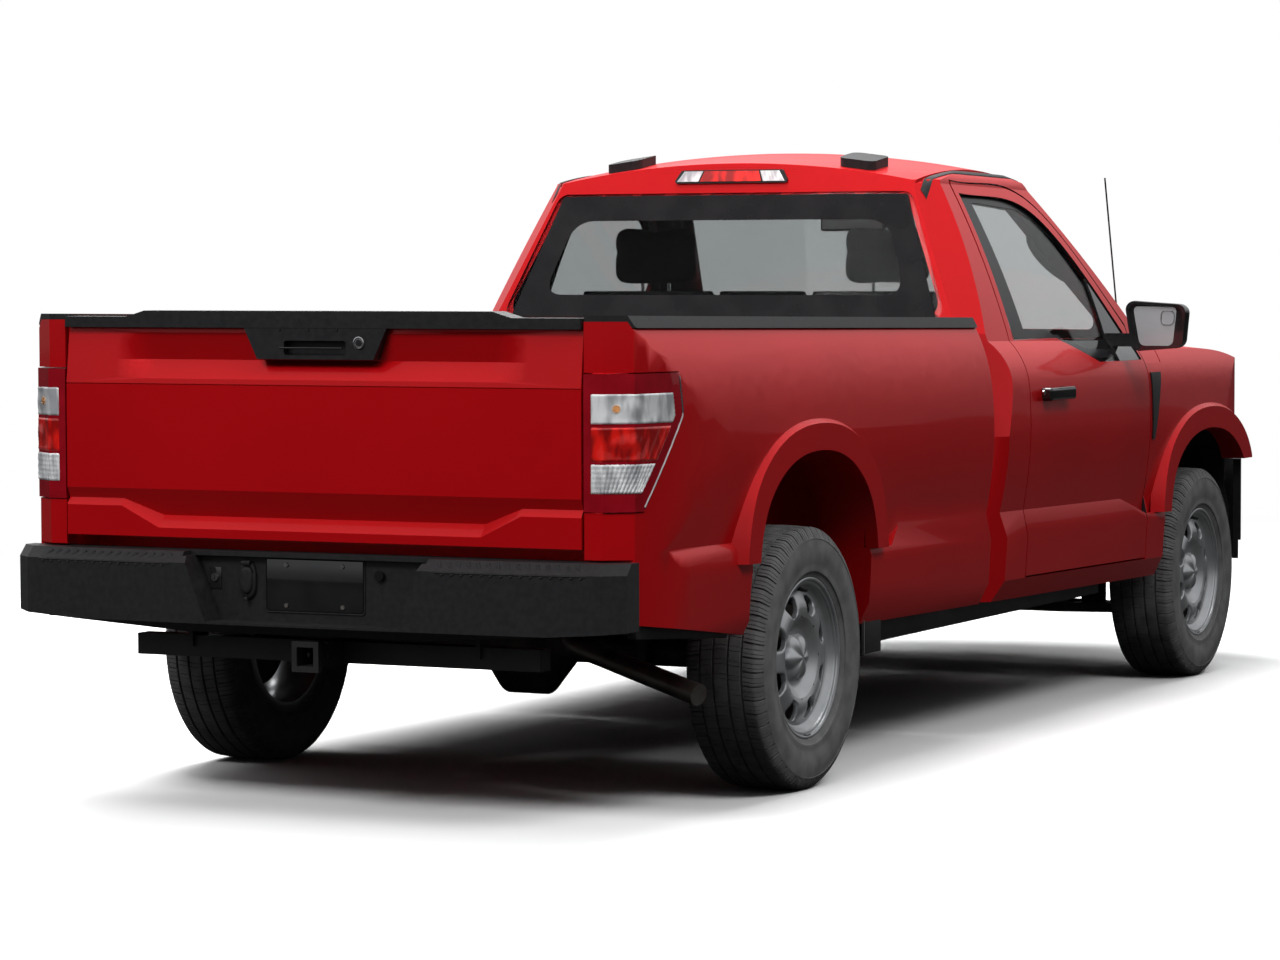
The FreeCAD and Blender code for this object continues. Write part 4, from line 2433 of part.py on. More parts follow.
def control_arm(label, spread, z):
    """One wishbone of the left front wheel, its outer eye round the upright's ball pin."""
    body = new_body(label, z=z)
    eye_x = "front_track / 2 - steer_axis_inset"
    inner = "rail_outer_half_width + seat_gap"
    outline = sketch(
        body,
        "XY_Plane",
        [
            (eye_x, f"{FRONT_AXLE} - arm_eye_radius"),
            (eye_x, f"{FRONT_AXLE} + arm_eye_radius"),
            (inner, f"{FRONT_AXLE} + {spread}"),
            (inner, f"{FRONT_AXLE} + {spread} - arm_leg_width"),
            (f"{eye_x} - arm_crotch", FRONT_AXLE),
            (inner, f"{FRONT_AXLE} - {spread} + arm_leg_width"),
            (inner, f"{FRONT_AXLE} - {spread}"),
        ],
    )
    pad(body, outline, "arm_thickness")
    eye = rod(label + "_eye", "arm_eye_radius", "arm_thickness", eye_x, FRONT_AXLE, z, Vector(0, 0, 1))
    hole = rod(
        label + "_hole", "pin_radius + turning_gap", "arm_thickness + overrun * 2", eye_x, FRONT_AXLE,
        f"{z} - overrun", Vector(0, 0, 1),
    )
    return cut_objects(label + "_cut", fuse_objects(label + "_whole", [body, eye]), hole)


def front_suspension():
    """Wishbones and spring struts of both sides, with the steering rack's housing."""
    low_z = "tyre_radius - ball_joint_rise - arm_thickness / 2"
    high_z = "tyre_radius + ball_joint_rise - arm_thickness / 2"
    pad_z = f"{low_z} + arm_thickness"
    strut = rod(
        "strut", "spring_radius", f"spring_top - seat_gap - ({pad_z})", "spring_at", FRONT_AXLE, pad_z,
        Vector(0, 0, 1)
    )
    seat = block(
        "strut_seat", "arm_crotch + arm_leg_width", "spring_radius * 2", "arm_thickness",
        "spring_at - spring_radius", f"{FRONT_AXLE} - spring_radius", low_z,
    )
    lower = fuse_objects(
        "lower_arm_and_strut", [control_arm("lower_arm", "lower_arm_spread", low_z), strut, seat]
    )
    upper = control_arm("upper_arm", "upper_arm_spread", high_z)
    rack_y = f"{FRONT_AXLE} - steering_arm_length"
    rack_z = "tyre_radius - steering_arm_drop + tie_rod_rise"
    case = rod(
        "rack_case", "rack_housing_radius", "rack_housing_half_length * 2", "-rack_housing_half_length",
        rack_y, rack_z, Vector(1, 0, 0),
    )
    cradle_top = "tyre_radius - ball_joint_rise + arm_thickness / 2"
    foot = block(
        "rack_foot", "rack_housing_radius * 2", "rack_housing_radius",
        f"{rack_z} - ({cradle_top}) - seat_gap",
        "rack_housing_half_length / 2", rack_y, f"{cradle_top} + seat_gap",
    )
    bore = rod(
        "rack_bore", "tie_rod_radius + turning_gap", "rack_housing_half_length * 2 + overrun * 2",
        "-rack_housing_half_length - overrun", rack_y, rack_z, Vector(1, 0, 0),
    )
    housing = cut_objects("rack_housing", fuse_objects("rack_body", [case, foot]), bore)
    parts = [lower, other_side(lower, "lower_right"), upper, other_side(upper, "upper_right"), housing]
    all_parts = doc.addObject("Part::Compound", "front_suspension")
    all_parts.Links = parts
    node(all_parts, "front_suspension")
    bar_half = "front_track / 2 - steer_axis_inset - steering_arm_inset"
    bar = rod(
        "rack_bar", "tie_rod_radius", f"({bar_half}) * 2", f"-({bar_half})", rack_y, rack_z, Vector(1, 0, 0)
    )
    ends = [bar]
    for sign in ("", "-"):
        ends.append(
            rod(
                "rod_end", "steering_arm_width / 2",
                "tie_rod_rise + tie_rod_radius * 1.4 - steering_arm_thickness / 2 - seat_gap",
                f"{sign}({bar_half})", rack_y,
                "tyre_radius - steering_arm_drop + steering_arm_thickness / 2 + seat_gap", Vector(0, 0, 1),
            )
        )
    node(fuse_objects("tie_rods", ends), "tie_rods")


def rear_axle():
    """Driven rear axle with its carrier, brake calipers and propeller shaft."""
    body = new_body("axle_housing", y=REAR_AXLE, z="tyre_radius")
    stub = "rear_track / 2 + bolt_face_stand"
    flange = "rear_track / 2 + brake_disc_stand - running_clearance"
    half = []
    for sign in ("", "-"):
        bulge = f"differential_offset + {sign}differential_half_length"
        flat = f"differential_offset + {sign}differential_flat"
        half.append(
            [
                (f"{sign}({stub})", "0"),
                (f"{sign}({stub})", "hub_bore_radius - turning_gap"),
                (f"{sign}({flange})", "hub_bore_radius - turning_gap"),
                (f"{sign}({flange})", "axle_flange_radius"),
                (f"{sign}({flange} - axle_flange_length)", "axle_flange_radius"),
                (f"{sign}({flange} - axle_flange_length)", "axle_tube_radius"),
                (bulge, "axle_tube_radius"),
                (flat, "differential_radius"),
            ]
        )
    revolve(body, sketch(body, "XY_Plane", half[0] + half[1][::-1]))
    carrier = rod(
        "carrier", "carrier_radius", "carrier_length", "differential_offset", REAR_AXLE, "tyre_radius",
        Vector(0, -1, 0)
    )
    left = brake_caliper("rear_caliper", REAR_AXLE, "rear_track / 2", "rear_track / 2 - steer_axis_inset")
    start = Vector(S.differential_offset, S.rear_axle_at - S.carrier_length / 2, S.tyre_radius)
    end = Vector(0, S.shaft_front_at + S.running_clearance, S.gearbox_height)
    shaft = doc.addObject("Part::Feature", "propeller_shaft")
    shaft.Shape = Part.makeCylinder(S.shaft_radius, (end - start).Length, start, end - start)
    whole_axle = fuse_objects(
        "rear_axle", [body, carrier, left, other_side(left, "rear_caliper_right"), shaft]
    )
    node(whole_axle, "rear_axle")


def rear_springs():
    """Leaf springs with their eyes, and the shock absorbers beside them."""
    mid = S.tyre_radius + S.axle_tube_radius + S.seat_gap
    front = Vector(0, S.rear_axle_at - S.leaf_half_length, mid + S.leaf_front_rise)
    rear = Vector(0, S.rear_axle_at + S.leaf_half_length, mid + S.leaf_rear_rise)
    low = Part.Arc(front, Vector(0, S.rear_axle_at, mid), rear).toShape()
    up = Vector(0, 0, S.leaf_thickness)
    high = Part.Arc(rear + up, Vector(0, S.rear_axle_at, mid) + up, front + up).toShape()
    leaf = along_x(
        Part.Face(ring_wire([low, high])), S.leaf_at - S.leaf_half_width, S.leaf_at + S.leaf_half_width
    )
    eyes = []
    for end in (front, rear):
        foot = Vector(S.rail_outer_half_width + S.seat_gap, end.y, end.z + S.leaf_thickness / 2)
        length = S.leaf_at + S.leaf_half_width - foot.x
        eyes.append(Part.makeCylinder(S.leaf_eye_radius, length, foot, Vector(1, 0, 0)))
    spring = fuse(leaf, *eyes)
    shock_x = S.rail_outer_half_width + S.shock_radius + S.running_clearance
    shock_y = S.rear_axle_at + S.axle_tube_radius + S.shock_radius + S.running_clearance
    tube_low = Vector(shock_x, shock_y, S.shock_low)
    body = Part.makeCylinder(S.shock_radius, S.shock_high - S.shock_low, tube_low)
    low_eye = Part.makeCylinder(
        S.shock_eye_radius, shock_y - S.rear_axle_at - S.axle_tube_radius - S.seat_gap,
        Vector(shock_x, S.rear_axle_at + S.axle_tube_radius + S.seat_gap, S.tyre_radius), Vector(0, 1, 0),
    )
    high_eye = Part.makeCylinder(
        S.shock_eye_radius, shock_x - S.rail_outer_half_width - S.seat_gap,
        Vector(
            S.rail_outer_half_width + S.seat_gap, shock_y, S.shock_high - S.shock_radius * 2
        ), Vector(1, 0, 0),
    )
    shock = fuse(body, low_eye, high_eye)
    shape_node("rear_springs", Part.makeCompound([spring, mirror(spring), shock, mirror(shock)]))


def engine():
    """The engine as one plain block with its gearbox behind it."""
    front = S.engine_front_at
    rear = front + S.engine_length
    engine_block = box_between(
        (-S.engine_width / 2, S.engine_width / 2), (front, rear), (
            S.engine_low, S.engine_low + S.engine_height
        )
    )
    start = Vector(0, rear - S.overrun, S.gearbox_height)
    length = S.shaft_front_at - start.y
    gearbox = Part.makeCone(S.gearbox_radius, S.gearbox_tail_radius, length, start, Vector(0, 1, 0))
    cross_top = S.frame_rail_low + S.crossmember_size
    foot = box_between(
        (-S.gearbox_tail_radius / 2, S.gearbox_tail_radius / 2),
        (S.shaft_front_at - S.crossmember_size * 2, S.shaft_front_at - S.crossmember_size),
        (cross_top + S.seat_gap, S.gearbox_height),
    )
    mounts = box_between(
        (
            -S.rail_outer_half_width + S.rail_tube_width + S.seat_gap,
            S.rail_outer_half_width - S.rail_tube_width - S.seat_gap,
        ),
        (S.front_axle_at - S.crossmember_size / 2, S.front_axle_at + S.crossmember_size / 2),
        (S.frame_nose_low + S.arm_thickness, S.frame_nose_low + S.arm_thickness * 2),
    )
    shape_node("engine_block", fuse(engine_block, gearbox, foot, mounts))


def underfloor():
    """Fuel tank and exhaust."""
    tank_box = block(
        "tank_box", "tank_width", "tank_length", "tank_height", "tank_inner_at", "tank_front_at", "tank_low"
    )
    rounded = doc.addObject("Part::Fillet", "tank_round")
    rounded.Base = tank_box
    doc.recompute()
    rounded.Edges = [
        (i + 1, S.tank_edge_radius, S.tank_edge_radius) for i in range(len(tank_box.Shape.Edges))
    ]
    strap = block(
        "tank_strap", "rail_outer_half_width - rail_tube_width - seat_gap - tank_inner_at - tank_width / 2",
        "crossmember_size", "crossmember_size / 2", "tank_inner_at + tank_width / 2",
        "tank_front_at + tank_length / 2", "tank_low + tank_edge_radius",
    )
    node(fuse_objects("fuel_tank", [rounded, strap]), "fuel_tank")
    z = S.pipe_height
    x = S.pipe_inner_at
    muffler_rear = S.muffler_front_at + S.muffler_length
    route = [
        Vector(x, S.engine_front_at + S.engine_length * 1.3, z),
        Vector(x, S.rear_axle_at - S.pipe_bend * 4, z),
        Vector(S.pipe_over_axle_at, S.rear_axle_at - S.pipe_bend * 1.4, S.pipe_over_axle_height),
        Vector(S.pipe_over_axle_at, S.rear_axle_at + S.pipe_bend * 1.4, S.pipe_over_axle_height),
        Vector(S.pipe_under_rail_at, S.rear_axle_at + S.pipe_under_rail_back, S.pipe_under_rail_height),
        Vector(-S.pipe_tip_half_width, S.pipe_tip_at, S.pipe_tip_height),
    ]
    pipe = tube(route, S.pipe_radius, S.pipe_bend)
    muffler = box_between(
        (x - S.muffler_width / 2, x + S.muffler_width / 2),
        (S.muffler_front_at, muffler_rear),
        (z - S.muffler_height / 2, z + S.muffler_height / 2),
    )
    muffler = muffler.makeFillet(
        S.muffler_height / 3, [e for e in muffler.Edges if abs(e.tangentAt(0).y) > 0.9]
    )
    hanger = box_between(
        (-S.rail_outer_half_width + S.rail_tube_width + S.seat_gap, x),
        (S.muffler_front_at + S.crossmember_size, S.muffler_front_at + S.crossmember_size * 2),
        (z, z + S.pipe_radius),
    )
    shape_node("exhaust", fuse(pipe, muffler, hanger))


def radiator():
    """Radiator on the frame's nose, with the curved carrier of grille and headlamps."""
    inner = S.rail_outer_half_width
    core = box_between(
        (-inner, inner),
        (S.radiator_at, S.radiator_at + S.radiator_thickness),
        (S.frame_nose_low + S.frame_nose_depth + S.seat_gap, S.radiator_high),
    )
    levels = (S.carrier_low, S.carrier_high)
    edge = S.lamp_inner_half_width - S.shut_gap
    deep = S.face_setback + S.grille_depth + S.seat_gap
    middle = along_z(nose_outline(deep), *levels).common(
        box_between(
            (-edge, edge), (S.nose_at, S.radiator_at + S.radiator_thickness + S.carrier_depth), levels
        )
    )
    deep = S.face_setback + S.lamp_depth + S.seat_gap
    band = along_z(nose_outline(deep), *levels).cut(
        along_z(nose_outline(deep + S.carrier_depth), 0, S.overall_length)
    )
    reach = S.body_half_width - S.fender_wall * 1.4
    band = band.common(box_between((-reach, reach), (S.nose_at, S.lamp_rear_high_at), levels)).cut(
        box_between((-edge + S.overrun, edge - S.overrun), (S.nose_at, S.door_front_at), levels)
    )
    shape_node("radiator", largest(fuse(core, middle, band)))


# Inside the cab


def seat(label, width, centre):
    """One seat: cushion and leaning backrest as one padded form on its riser."""
    body = new_body(label, x=centre)
    front = "cushion_front_at"
    rear = "cushion_rear_at"
    outline = sketch(
        body,
        "YZ_Plane",
        [
            (front, "cushion_low"),
            (front, "cushion_high - trim_pad"),
            (f"{front} + trim_pad", "cushion_high"),
            (f"{rear} - backrest_thickness", "cushion_high - trim_pad / 2"),
            (f"{rear} - backrest_thickness + backrest_lean", "cushion_high + backrest_height"),
            (f"{rear} - backrest_thickness / 3 + backrest_lean", "cushion_high + backrest_height"),
            (rear, "cushion_low"),
        ],
    )
    pad(body, outline, width, symmetric=True)
    riser = block(
        label + "_riser", f"{width} * 0.8", f"({rear} - ({front})) * 0.7", "cushion_low - floor_height",
        f"{centre} - {width} * 0.4", f"{front} + ({rear} - ({front})) * 0.15", "floor_height",
    )
    return [body, riser]


def seats():
    side_seats = []
    for sign, label in (("", "seat_left"), ("-", "seat_right")):
        parts = seat(label, "seat_width", f"{sign}seat_at")
        top = "cushion_high + backrest_height + headrest_lift"
        at = "cushion_rear_at - backrest_thickness + backrest_lean"
        rest = block(
            label + "_headrest", "headrest_width", "headrest_thickness", "headrest_height",
            f"{sign}seat_at - headrest_width / 2", at, top,
        )
        neck = block(
            label + "_neck", "headrest_width / 3", "headrest_thickness / 3", "headrest_lift + trim_pad",
            f"{sign}seat_at - headrest_width / 6", f"{at} + headrest_thickness / 3",
            f"{top} - headrest_lift - trim_pad / 2",
        )
        side_seats.append(fuse_objects(label + "_all", parts + [rest, neck]))
    middle = fuse_objects("seat_middle_all", seat("seat_middle", "seat_centre_width", "0"))
    together = doc.addObject("Part::Compound", "seats")
    together.Links = side_seats + [middle]
    node(together, "seats")


def dashboard():
    """Dashboard with the instrument hood and the steering column's housing."""
    body = new_body("dash_body")
    front = "firewall_at + seat_gap"
    outline = sketch(
        body,
        "YZ_Plane",
        [
            (front, "dash_low"),
            (front, "dash_high - trim_pad / 2"),
            ("dash_rear_at - trim_pad * 2", "dash_high"),
            ("dash_rear_at", "dash_high - trim_pad * 2"),
            ("dash_rear_at - trim_pad", "dash_low + trim_pad"),
            ("dash_rear_at - trim_pad * 3", "dash_low"),
        ],
    )
    pad(body, outline, "dash_half_width * 2", symmetric=True)
    cluster = block(
        "cluster", "cluster_half_width * 2", "trim_pad * 3", "trim_pad * 2 + cluster_rise",
        "driver_at - cluster_half_width", "dash_rear_at - trim_pad * 3", "dash_high - trim_pad * 2",
    )
    lean = Vector(0, -math.cos(math.radians(S.column_lean)), -math.sin(math.radians(S.column_lean)))
    centre = Vector(S.driver_at, S.steering_wheel_at, S.steering_wheel_height)
    housing_start = centre + lean * (S.trim_pad + S.running_clearance)
    housing = doc.addObject("Part::Feature", "column_housing")
    housing.Shape = Part.makeCylinder(
        S.column_radius * 1.6, S.column_length, housing_start, lean
    )
    shaft = doc.addObject("Part::Feature", "column_bore")
    shaft.Shape = Part.makeCylinder(
        S.column_radius / 2 + S.turning_gap, S.column_length, centre, lean
    )
    joined = fuse_objects("dash_joined", [body, cluster, housing])
    node(cut_objects("dashboard", joined, shaft), "dashboard")
    rim_ring = Part.makeTorus(S.steering_wheel_radius, S.steering_wheel_grip, centre, lean * -1)
    hub = Part.makeCylinder(S.steering_wheel_hub_radius, S.trim_pad, centre, lean)
    shaft_rod = Part.makeCylinder(S.column_radius / 2, S.column_length * 0.8, centre, lean)
    across = Vector(1, 0, 0)
    up = across.cross(lean)
    middle = centre + lean * S.steering_wheel_grip / 3
    spokes = []
    for direction in (across, up, across * -1):
        spokes.append(
            Part.makeCylinder(S.steering_wheel_grip * 0.9, S.steering_wheel_radius, middle, direction)
        )
    shape_node("steering_wheel", fuse(rim_ring, hub, shaft_rod, *spokes))


# Small outside pieces


def top_height(shape, x, y):
    """Height of a shape's top over one point of the ground."""
    line = Part.makeLine(Vector(x, y, 0), Vector(x, y, S.overall_length))
    return shape.common(line).BoundBox.ZMax


def small_trim():
    """Antenna, roof pods, high stop lamp, fender vents and gravel guards."""
    far = S.overall_length
    half = S.body_half_width
    x = -S.antenna_half_width
    base = top_height(front_top(0), x, S.antenna_at) + S.seat_gap * 2
    lean = Vector(0, S.antenna_lean, S.antenna_height)
    mast = Part.makeCylinder(
        S.antenna_radius, lean.Length, Vector(x, S.antenna_at, base + S.antenna_radius), lean
    )
    foot_low = Vector(x, S.antenna_at, base - S.antenna_foot_radius / 4)
    foot = Part.makeCone(S.antenna_foot_radius, S.antenna_radius, S.antenna_foot_radius * 2, foot_low)
    pieces = [largest(fuse(mast, foot).cut(front_top(-S.seat_gap)))]
    front = S.pod_rear_at - S.pod_length
    plan = rounded_face(
        [
            Vector(S.pod_inner, front, 0),
            Vector(S.pod_outer, front, 0),
            Vector(S.pod_outer, S.pod_rear_at, 0),
            Vector(S.pod_inner, S.pod_rear_at, 0),
        ],
        S.pod_height,
    )
    pod = along_z(plan, S.roof_edge_height, far).common(roof_dome(-S.pod_height)).cut(roof_dome(-S.seat_gap))
    pieces += pair(pod).Solids
    lamp = along_y(
        across_face(
            S.stop_lamp_half_width, S.stop_lamp_low, S.stop_lamp_top_half_width, S.stop_lamp_high,
            S.stop_lamp_depth / 3,
        ),
        S.door_rear_at,
        far,
    )
    lamp = lamp.common(before_cab_back(-S.stop_lamp_depth / 3)).cut(before_cab_back(-S.seat_gap))
    pieces.append(largest(lamp))
    vent_rear = S.door_front_at - S.shut_gap - S.vent_inset
    outline = Part.Face(
        ring_wire(
            [
                Vector(0, vent_rear, S.vent_high),
                Vector(0, vent_rear, S.vent_low),
                Vector(0, vent_rear - S.vent_low_length, S.vent_low),
                Vector(0, vent_rear - S.vent_length, S.vent_high),
            ]
        )
    )
    stand = whole(fender_section(-S.vent_stand), S.front_axle_at, S.door_front_at)
    skin = whole(fender_section(-S.seat_gap), S.front_axle_at - S.overrun, S.door_front_at + S.overrun)
    vent = along_x(outline, S.belt_half_width, half * 2).common(stand).cut(skin)
    pieces += pair(largest(vent)).Solids
    guard_at = S.rear_axle_at - S.rear_arch_half_length - S.guard_thickness * 3
    guard_top = S.under_height + RAKE_SHARE * guard_at - S.seat_gap
    outer = half - S.under_inset
    guard = box_between(
        (S.box_wall_half_width, outer), (guard_at, guard_at + S.guard_thickness), (S.guard_low, guard_top)
    )
    pieces += pair(guard).Solids
    shape_node("outer_trim", Part.makeCompound(pieces))


def check_and_write():
    """Stop on any failed object, then write one file for each piece."""
    doc.recompute()
    for item in doc.Objects:
        if "Invalid" in item.State or "Error" in item.State:
            raise RuntimeError(f"{item.Label} failed: {item.State}")
    os.makedirs("parts", exist_ok=True)
    for item in nodes:
        if item.Shape.isNull() or not item.Shape.isValid():
            raise RuntimeError(f"{item.Label} has no valid shape")
        item.Shape.exportStep(f"parts/{item.Label}.step")
    print(f"{len(nodes)} pieces written")


def main():
    outer = cab_pieces()
    door_pieces(outer)
    nose_pieces()
    box_pieces()
    tailgate_pieces()
    rear_bumper()
    wheels()
    knuckles()
    chassis_frame()
    front_suspension()
    rear_axle()
    rear_springs()
    engine()
    underfloor()
    radiator()
    seats()
    dashboard()
    small_trim()
    check_and_write()


main()
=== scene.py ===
# %% [markdown]
# # A red regular-cab pickup truck
# The truck was built in CAD as separate pieces on one shared frame. This lesson gives each
# piece its finish and adds what CAD leaves out: tyre tread, lamp optics, seams, rubber and
# small trim. The frame comes first, because every new piece takes its place from it.

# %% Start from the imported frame
import json
import math

import bmesh
import bpy
from mathutils import Matrix, Vector


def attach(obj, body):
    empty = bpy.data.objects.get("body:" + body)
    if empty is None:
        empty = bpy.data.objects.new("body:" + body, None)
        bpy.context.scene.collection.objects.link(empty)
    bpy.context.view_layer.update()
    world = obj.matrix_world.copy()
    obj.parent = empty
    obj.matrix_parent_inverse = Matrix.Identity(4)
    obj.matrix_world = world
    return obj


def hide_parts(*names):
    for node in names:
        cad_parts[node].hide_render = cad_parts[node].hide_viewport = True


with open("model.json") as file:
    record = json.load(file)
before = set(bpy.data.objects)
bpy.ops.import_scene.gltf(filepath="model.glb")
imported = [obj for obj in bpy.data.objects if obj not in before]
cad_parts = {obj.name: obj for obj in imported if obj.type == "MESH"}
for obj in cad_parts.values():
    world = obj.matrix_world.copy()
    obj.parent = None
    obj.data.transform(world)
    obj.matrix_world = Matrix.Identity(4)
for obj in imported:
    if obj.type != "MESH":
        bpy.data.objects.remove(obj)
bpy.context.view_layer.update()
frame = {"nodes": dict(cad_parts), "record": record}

# %% [markdown]
# ## The camera
# The photograph was taken from behind and to the right with a long lens, so lines that run
# along the truck hardly converge. A camera is placed by where it stands, how it is turned
# round the truck, its height angle and its lens. These were found by matching the corners of
# the glass, lamps and bumper, which is surer than moving the camera by eye.

# %% Camera behind the right-hand rear corner
CAMERA_AT = Vector((-5.680, 12.445, 1.526))
CAMERA_ROUND = math.radians(205.94)
CAMERA_ABOVE = math.radians(3.06)
CAMERA_ROLL = math.radians(-0.16)
LENS_MM = 115.1
SENSOR_MM = 36.0


def aim(round_angle, above):
    """Direction from the truck back to the camera."""
    flat = math.cos(above)
    return Vector((math.sin(round_angle) * flat, -math.cos(round_angle) * flat, math.sin(above)))


camera = bpy.data.objects.new("camera", bpy.data.cameras.new("camera"))
bpy.context.scene.collection.objects.link(camera)
camera.data.sensor_width = SENSOR_MM
camera.data.lens = LENS_MM
camera.data.clip_end = 200
camera.location = CAMERA_AT
turned = (-aim(CAMERA_ROUND, CAMERA_ABOVE)).to_track_quat("-Z", "Y").to_matrix()
camera.matrix_world = (
    Matrix.Translation(CAMERA_AT) @ (turned @ Matrix.Rotation(CAMERA_ROLL, 3, "Z")).to_4x4()
)
bpy.context.scene.camera = camera
print("camera:", tuple(round(value, 2) for value in camera.location))

# %% [markdown]
# ## Nodes with few words
# A procedural finish is a small tree of nodes: coordinates feed a pattern, the pattern feeds
# colour, roughness and bump. Short helpers keep each finish readable: they add a node with its
# settings, start a material with its shader, and lay noise on it as colour, bump or roughness.

# %% Helpers for materials
def add(tree, kind, inputs=None, **settings):
    """A node of one kind with its settings; an input is a value or another node's output."""
    node = tree.nodes.new(kind)
    for name, value in settings.items():
        setattr(node, name, value)
    for name, value in (inputs or {}).items():
        if isinstance(value, bpy.types.NodeSocket):
            tree.links.new(value, node.inputs[name])
        else:
            node.inputs[name].default_value = value
    return node


def new_finish(name, roughness, metallic=0.0, **constants):
    """A material and its shader. Constants go on the shader's own sockets."""
    material = bpy.data.materials.new(name)
    material.use_nodes = True
    shader = material.node_tree.nodes["Principled BSDF"]
    shader.inputs["Roughness"].default_value = roughness
    shader.inputs["Metallic"].default_value = metallic
    for socket, value in constants.items():
        shader.inputs[socket.replace("_", " ")].default_value = value
    return material, shader


def cloudy(tree, scale, detail=3.0, stretch=(1, 1, 1)):
    """Noise in the piece's own coordinates."""
    place = add(tree, "ShaderNodeTexCoord").outputs["Object"]
    turned = add(tree, "ShaderNodeMapping", {"Vector": place, "Scale": stretch}).outputs["Vector"]
    noise = {"Vector": turned, "Scale": scale, "Detail": detail}
    return add(tree, "ShaderNodeTexNoise", noise).outputs["Fac"]


def mottle(material, shader, dark, light, scale, detail=4.0, stretch=(1, 1, 1), low=0.35, high=0.65):
    """Base colour that wanders between two tones over the piece."""
    tree = material.node_tree
    ramp = add(tree, "ShaderNodeValToRGB", {"Fac": cloudy(tree, scale, detail, stretch)})
    for element, position, colour in zip(ramp.color_ramp.elements, (low, high), (dark, light)):
        element.position = position
        element.color = (*colour, 1)
    tree.links.new(ramp.outputs["Color"], shader.inputs["Base Color"])


def bumpy(tree, shader, pattern, height, strength):
    """Bump on a shader from a pattern; height is the bump's real height in metres."""
    bump = add(tree, "ShaderNodeBump", {"Height": pattern, "Strength": strength, "Distance": height})
    tree.links.new(bump.outputs["Normal"], shader.inputs["Normal"])


def grain(material, shader, scale, height, strength=0.3, stretch=(1, 1, 1)):
    """Fine bump from noise."""
    tree = material.node_tree
    bumpy(tree, shader, cloudy(tree, scale, stretch=stretch), height, strength)


def wander(material, shader, scale, low, high):
    """Roughness that drifts between two values."""
    tree = material.node_tree
    reach = {"Value": cloudy(tree, scale), "From Min": 0.3, "From Max": 0.7, "To Min": low, "To Max": high}
    span = add(tree, "ShaderNodeMapRange", reach)
    tree.links.new(span.outputs["Result"], shader.inputs["Roughness"])


print("helpers ready")

# %% [markdown]
# ## Floor, sky and lamps
# The truck stands on a plain pale floor under a soft sky, as in a photo studio with a large
# tent. Car paint is read by what it mirrors: bright sky above the shoulder line, a dimmer
# band at the horizon. So the sky is brighter overhead, while what the camera sees behind the
# truck is plain white. The floor keeps the truck's soft shadow and melts into the white.

# %% Sky and floor
SKY_HORIZON = (0.03, 0.03, 0.032, 1)
MIRRORED_HORIZON = (0.16, 0.163, 0.166, 1)
SKY_TOP = (0.66, 0.67, 0.68, 1)
SKY_RISE = (0.25, 0.95)
MIRRORED_RISE = (0.0, 0.30)
FLOOR_RADIUS = 60.0
FLOOR_CLEAR_FROM = 4.3
FLOOR_CLEAR_TO = 7.5
FLOOR_COLOUR = (0.94, 0.94, 0.94, 1)
FLOOR_BOUNCE = (0.03, 0.03, 0.03, 1)
FLOOR_OVAL = (1.0, 0.62, 0.0)
WHITE = (1, 1, 1, 1)


def mixed(tree, factor, first, second):
    """A colour between two, by a factor from 0 to 1."""
    return add(tree, "ShaderNodeMix", {"Factor": factor, 6: first, 7: second}, data_type="RGBA").outputs[2]


def rising(tree, value, low, high):
    """A smooth step from 0 to 1 while a value goes from low to high."""
    reach = {"Value": value, "From Min": low, "From Max": high}
    return add(tree, "ShaderNodeMapRange", reach, interpolation_type="SMOOTHSTEP").outputs["Result"]


def seen_directly(tree):
    """1 for what the camera sees, straight or through glass, and 0 for all other rays."""
    ray = add(tree, "ShaderNodeLightPath").outputs
    direct = {0: ray["Is Camera Ray"], 1: ray["Is Transmission Ray"]}
    return add(tree, "ShaderNodeMath", direct, operation="MAXIMUM").outputs[0]


def make_sky():
    """A grey dome, brighter overhead; mirrors see a brighter horizon and the camera plain white."""
    world = bpy.data.worlds.new("sky")
    bpy.context.scene.world = world
    world.use_nodes = True
    tree = world.node_tree
    tree.nodes.clear()
    place = add(tree, "ShaderNodeTexCoord").outputs["Generated"]
    height = add(tree, "ShaderNodeSeparateXYZ", {0: place}).outputs["Z"]
    mirrored = add(tree, "ShaderNodeLightPath").outputs["Is Glossy Ray"]
    rises = [rising(tree, height, *reach) for reach in (SKY_RISE, MIRRORED_RISE)]
    rise = add(tree, "ShaderNodeMix", {"Factor": mirrored, 2: rises[0], 3: rises[1]}).outputs[0]
    horizon = mixed(tree, mirrored, SKY_HORIZON, MIRRORED_HORIZON)
    tone = mixed(tree, rise, horizon, SKY_TOP)
    seen = mixed(tree, seen_directly(tree), tone, WHITE)
    light = add(tree, "ShaderNodeBackground", {"Color": seen, "Strength": 1.0})
    add(tree, "ShaderNodeOutputWorld", {"Surface": light.outputs[0]})


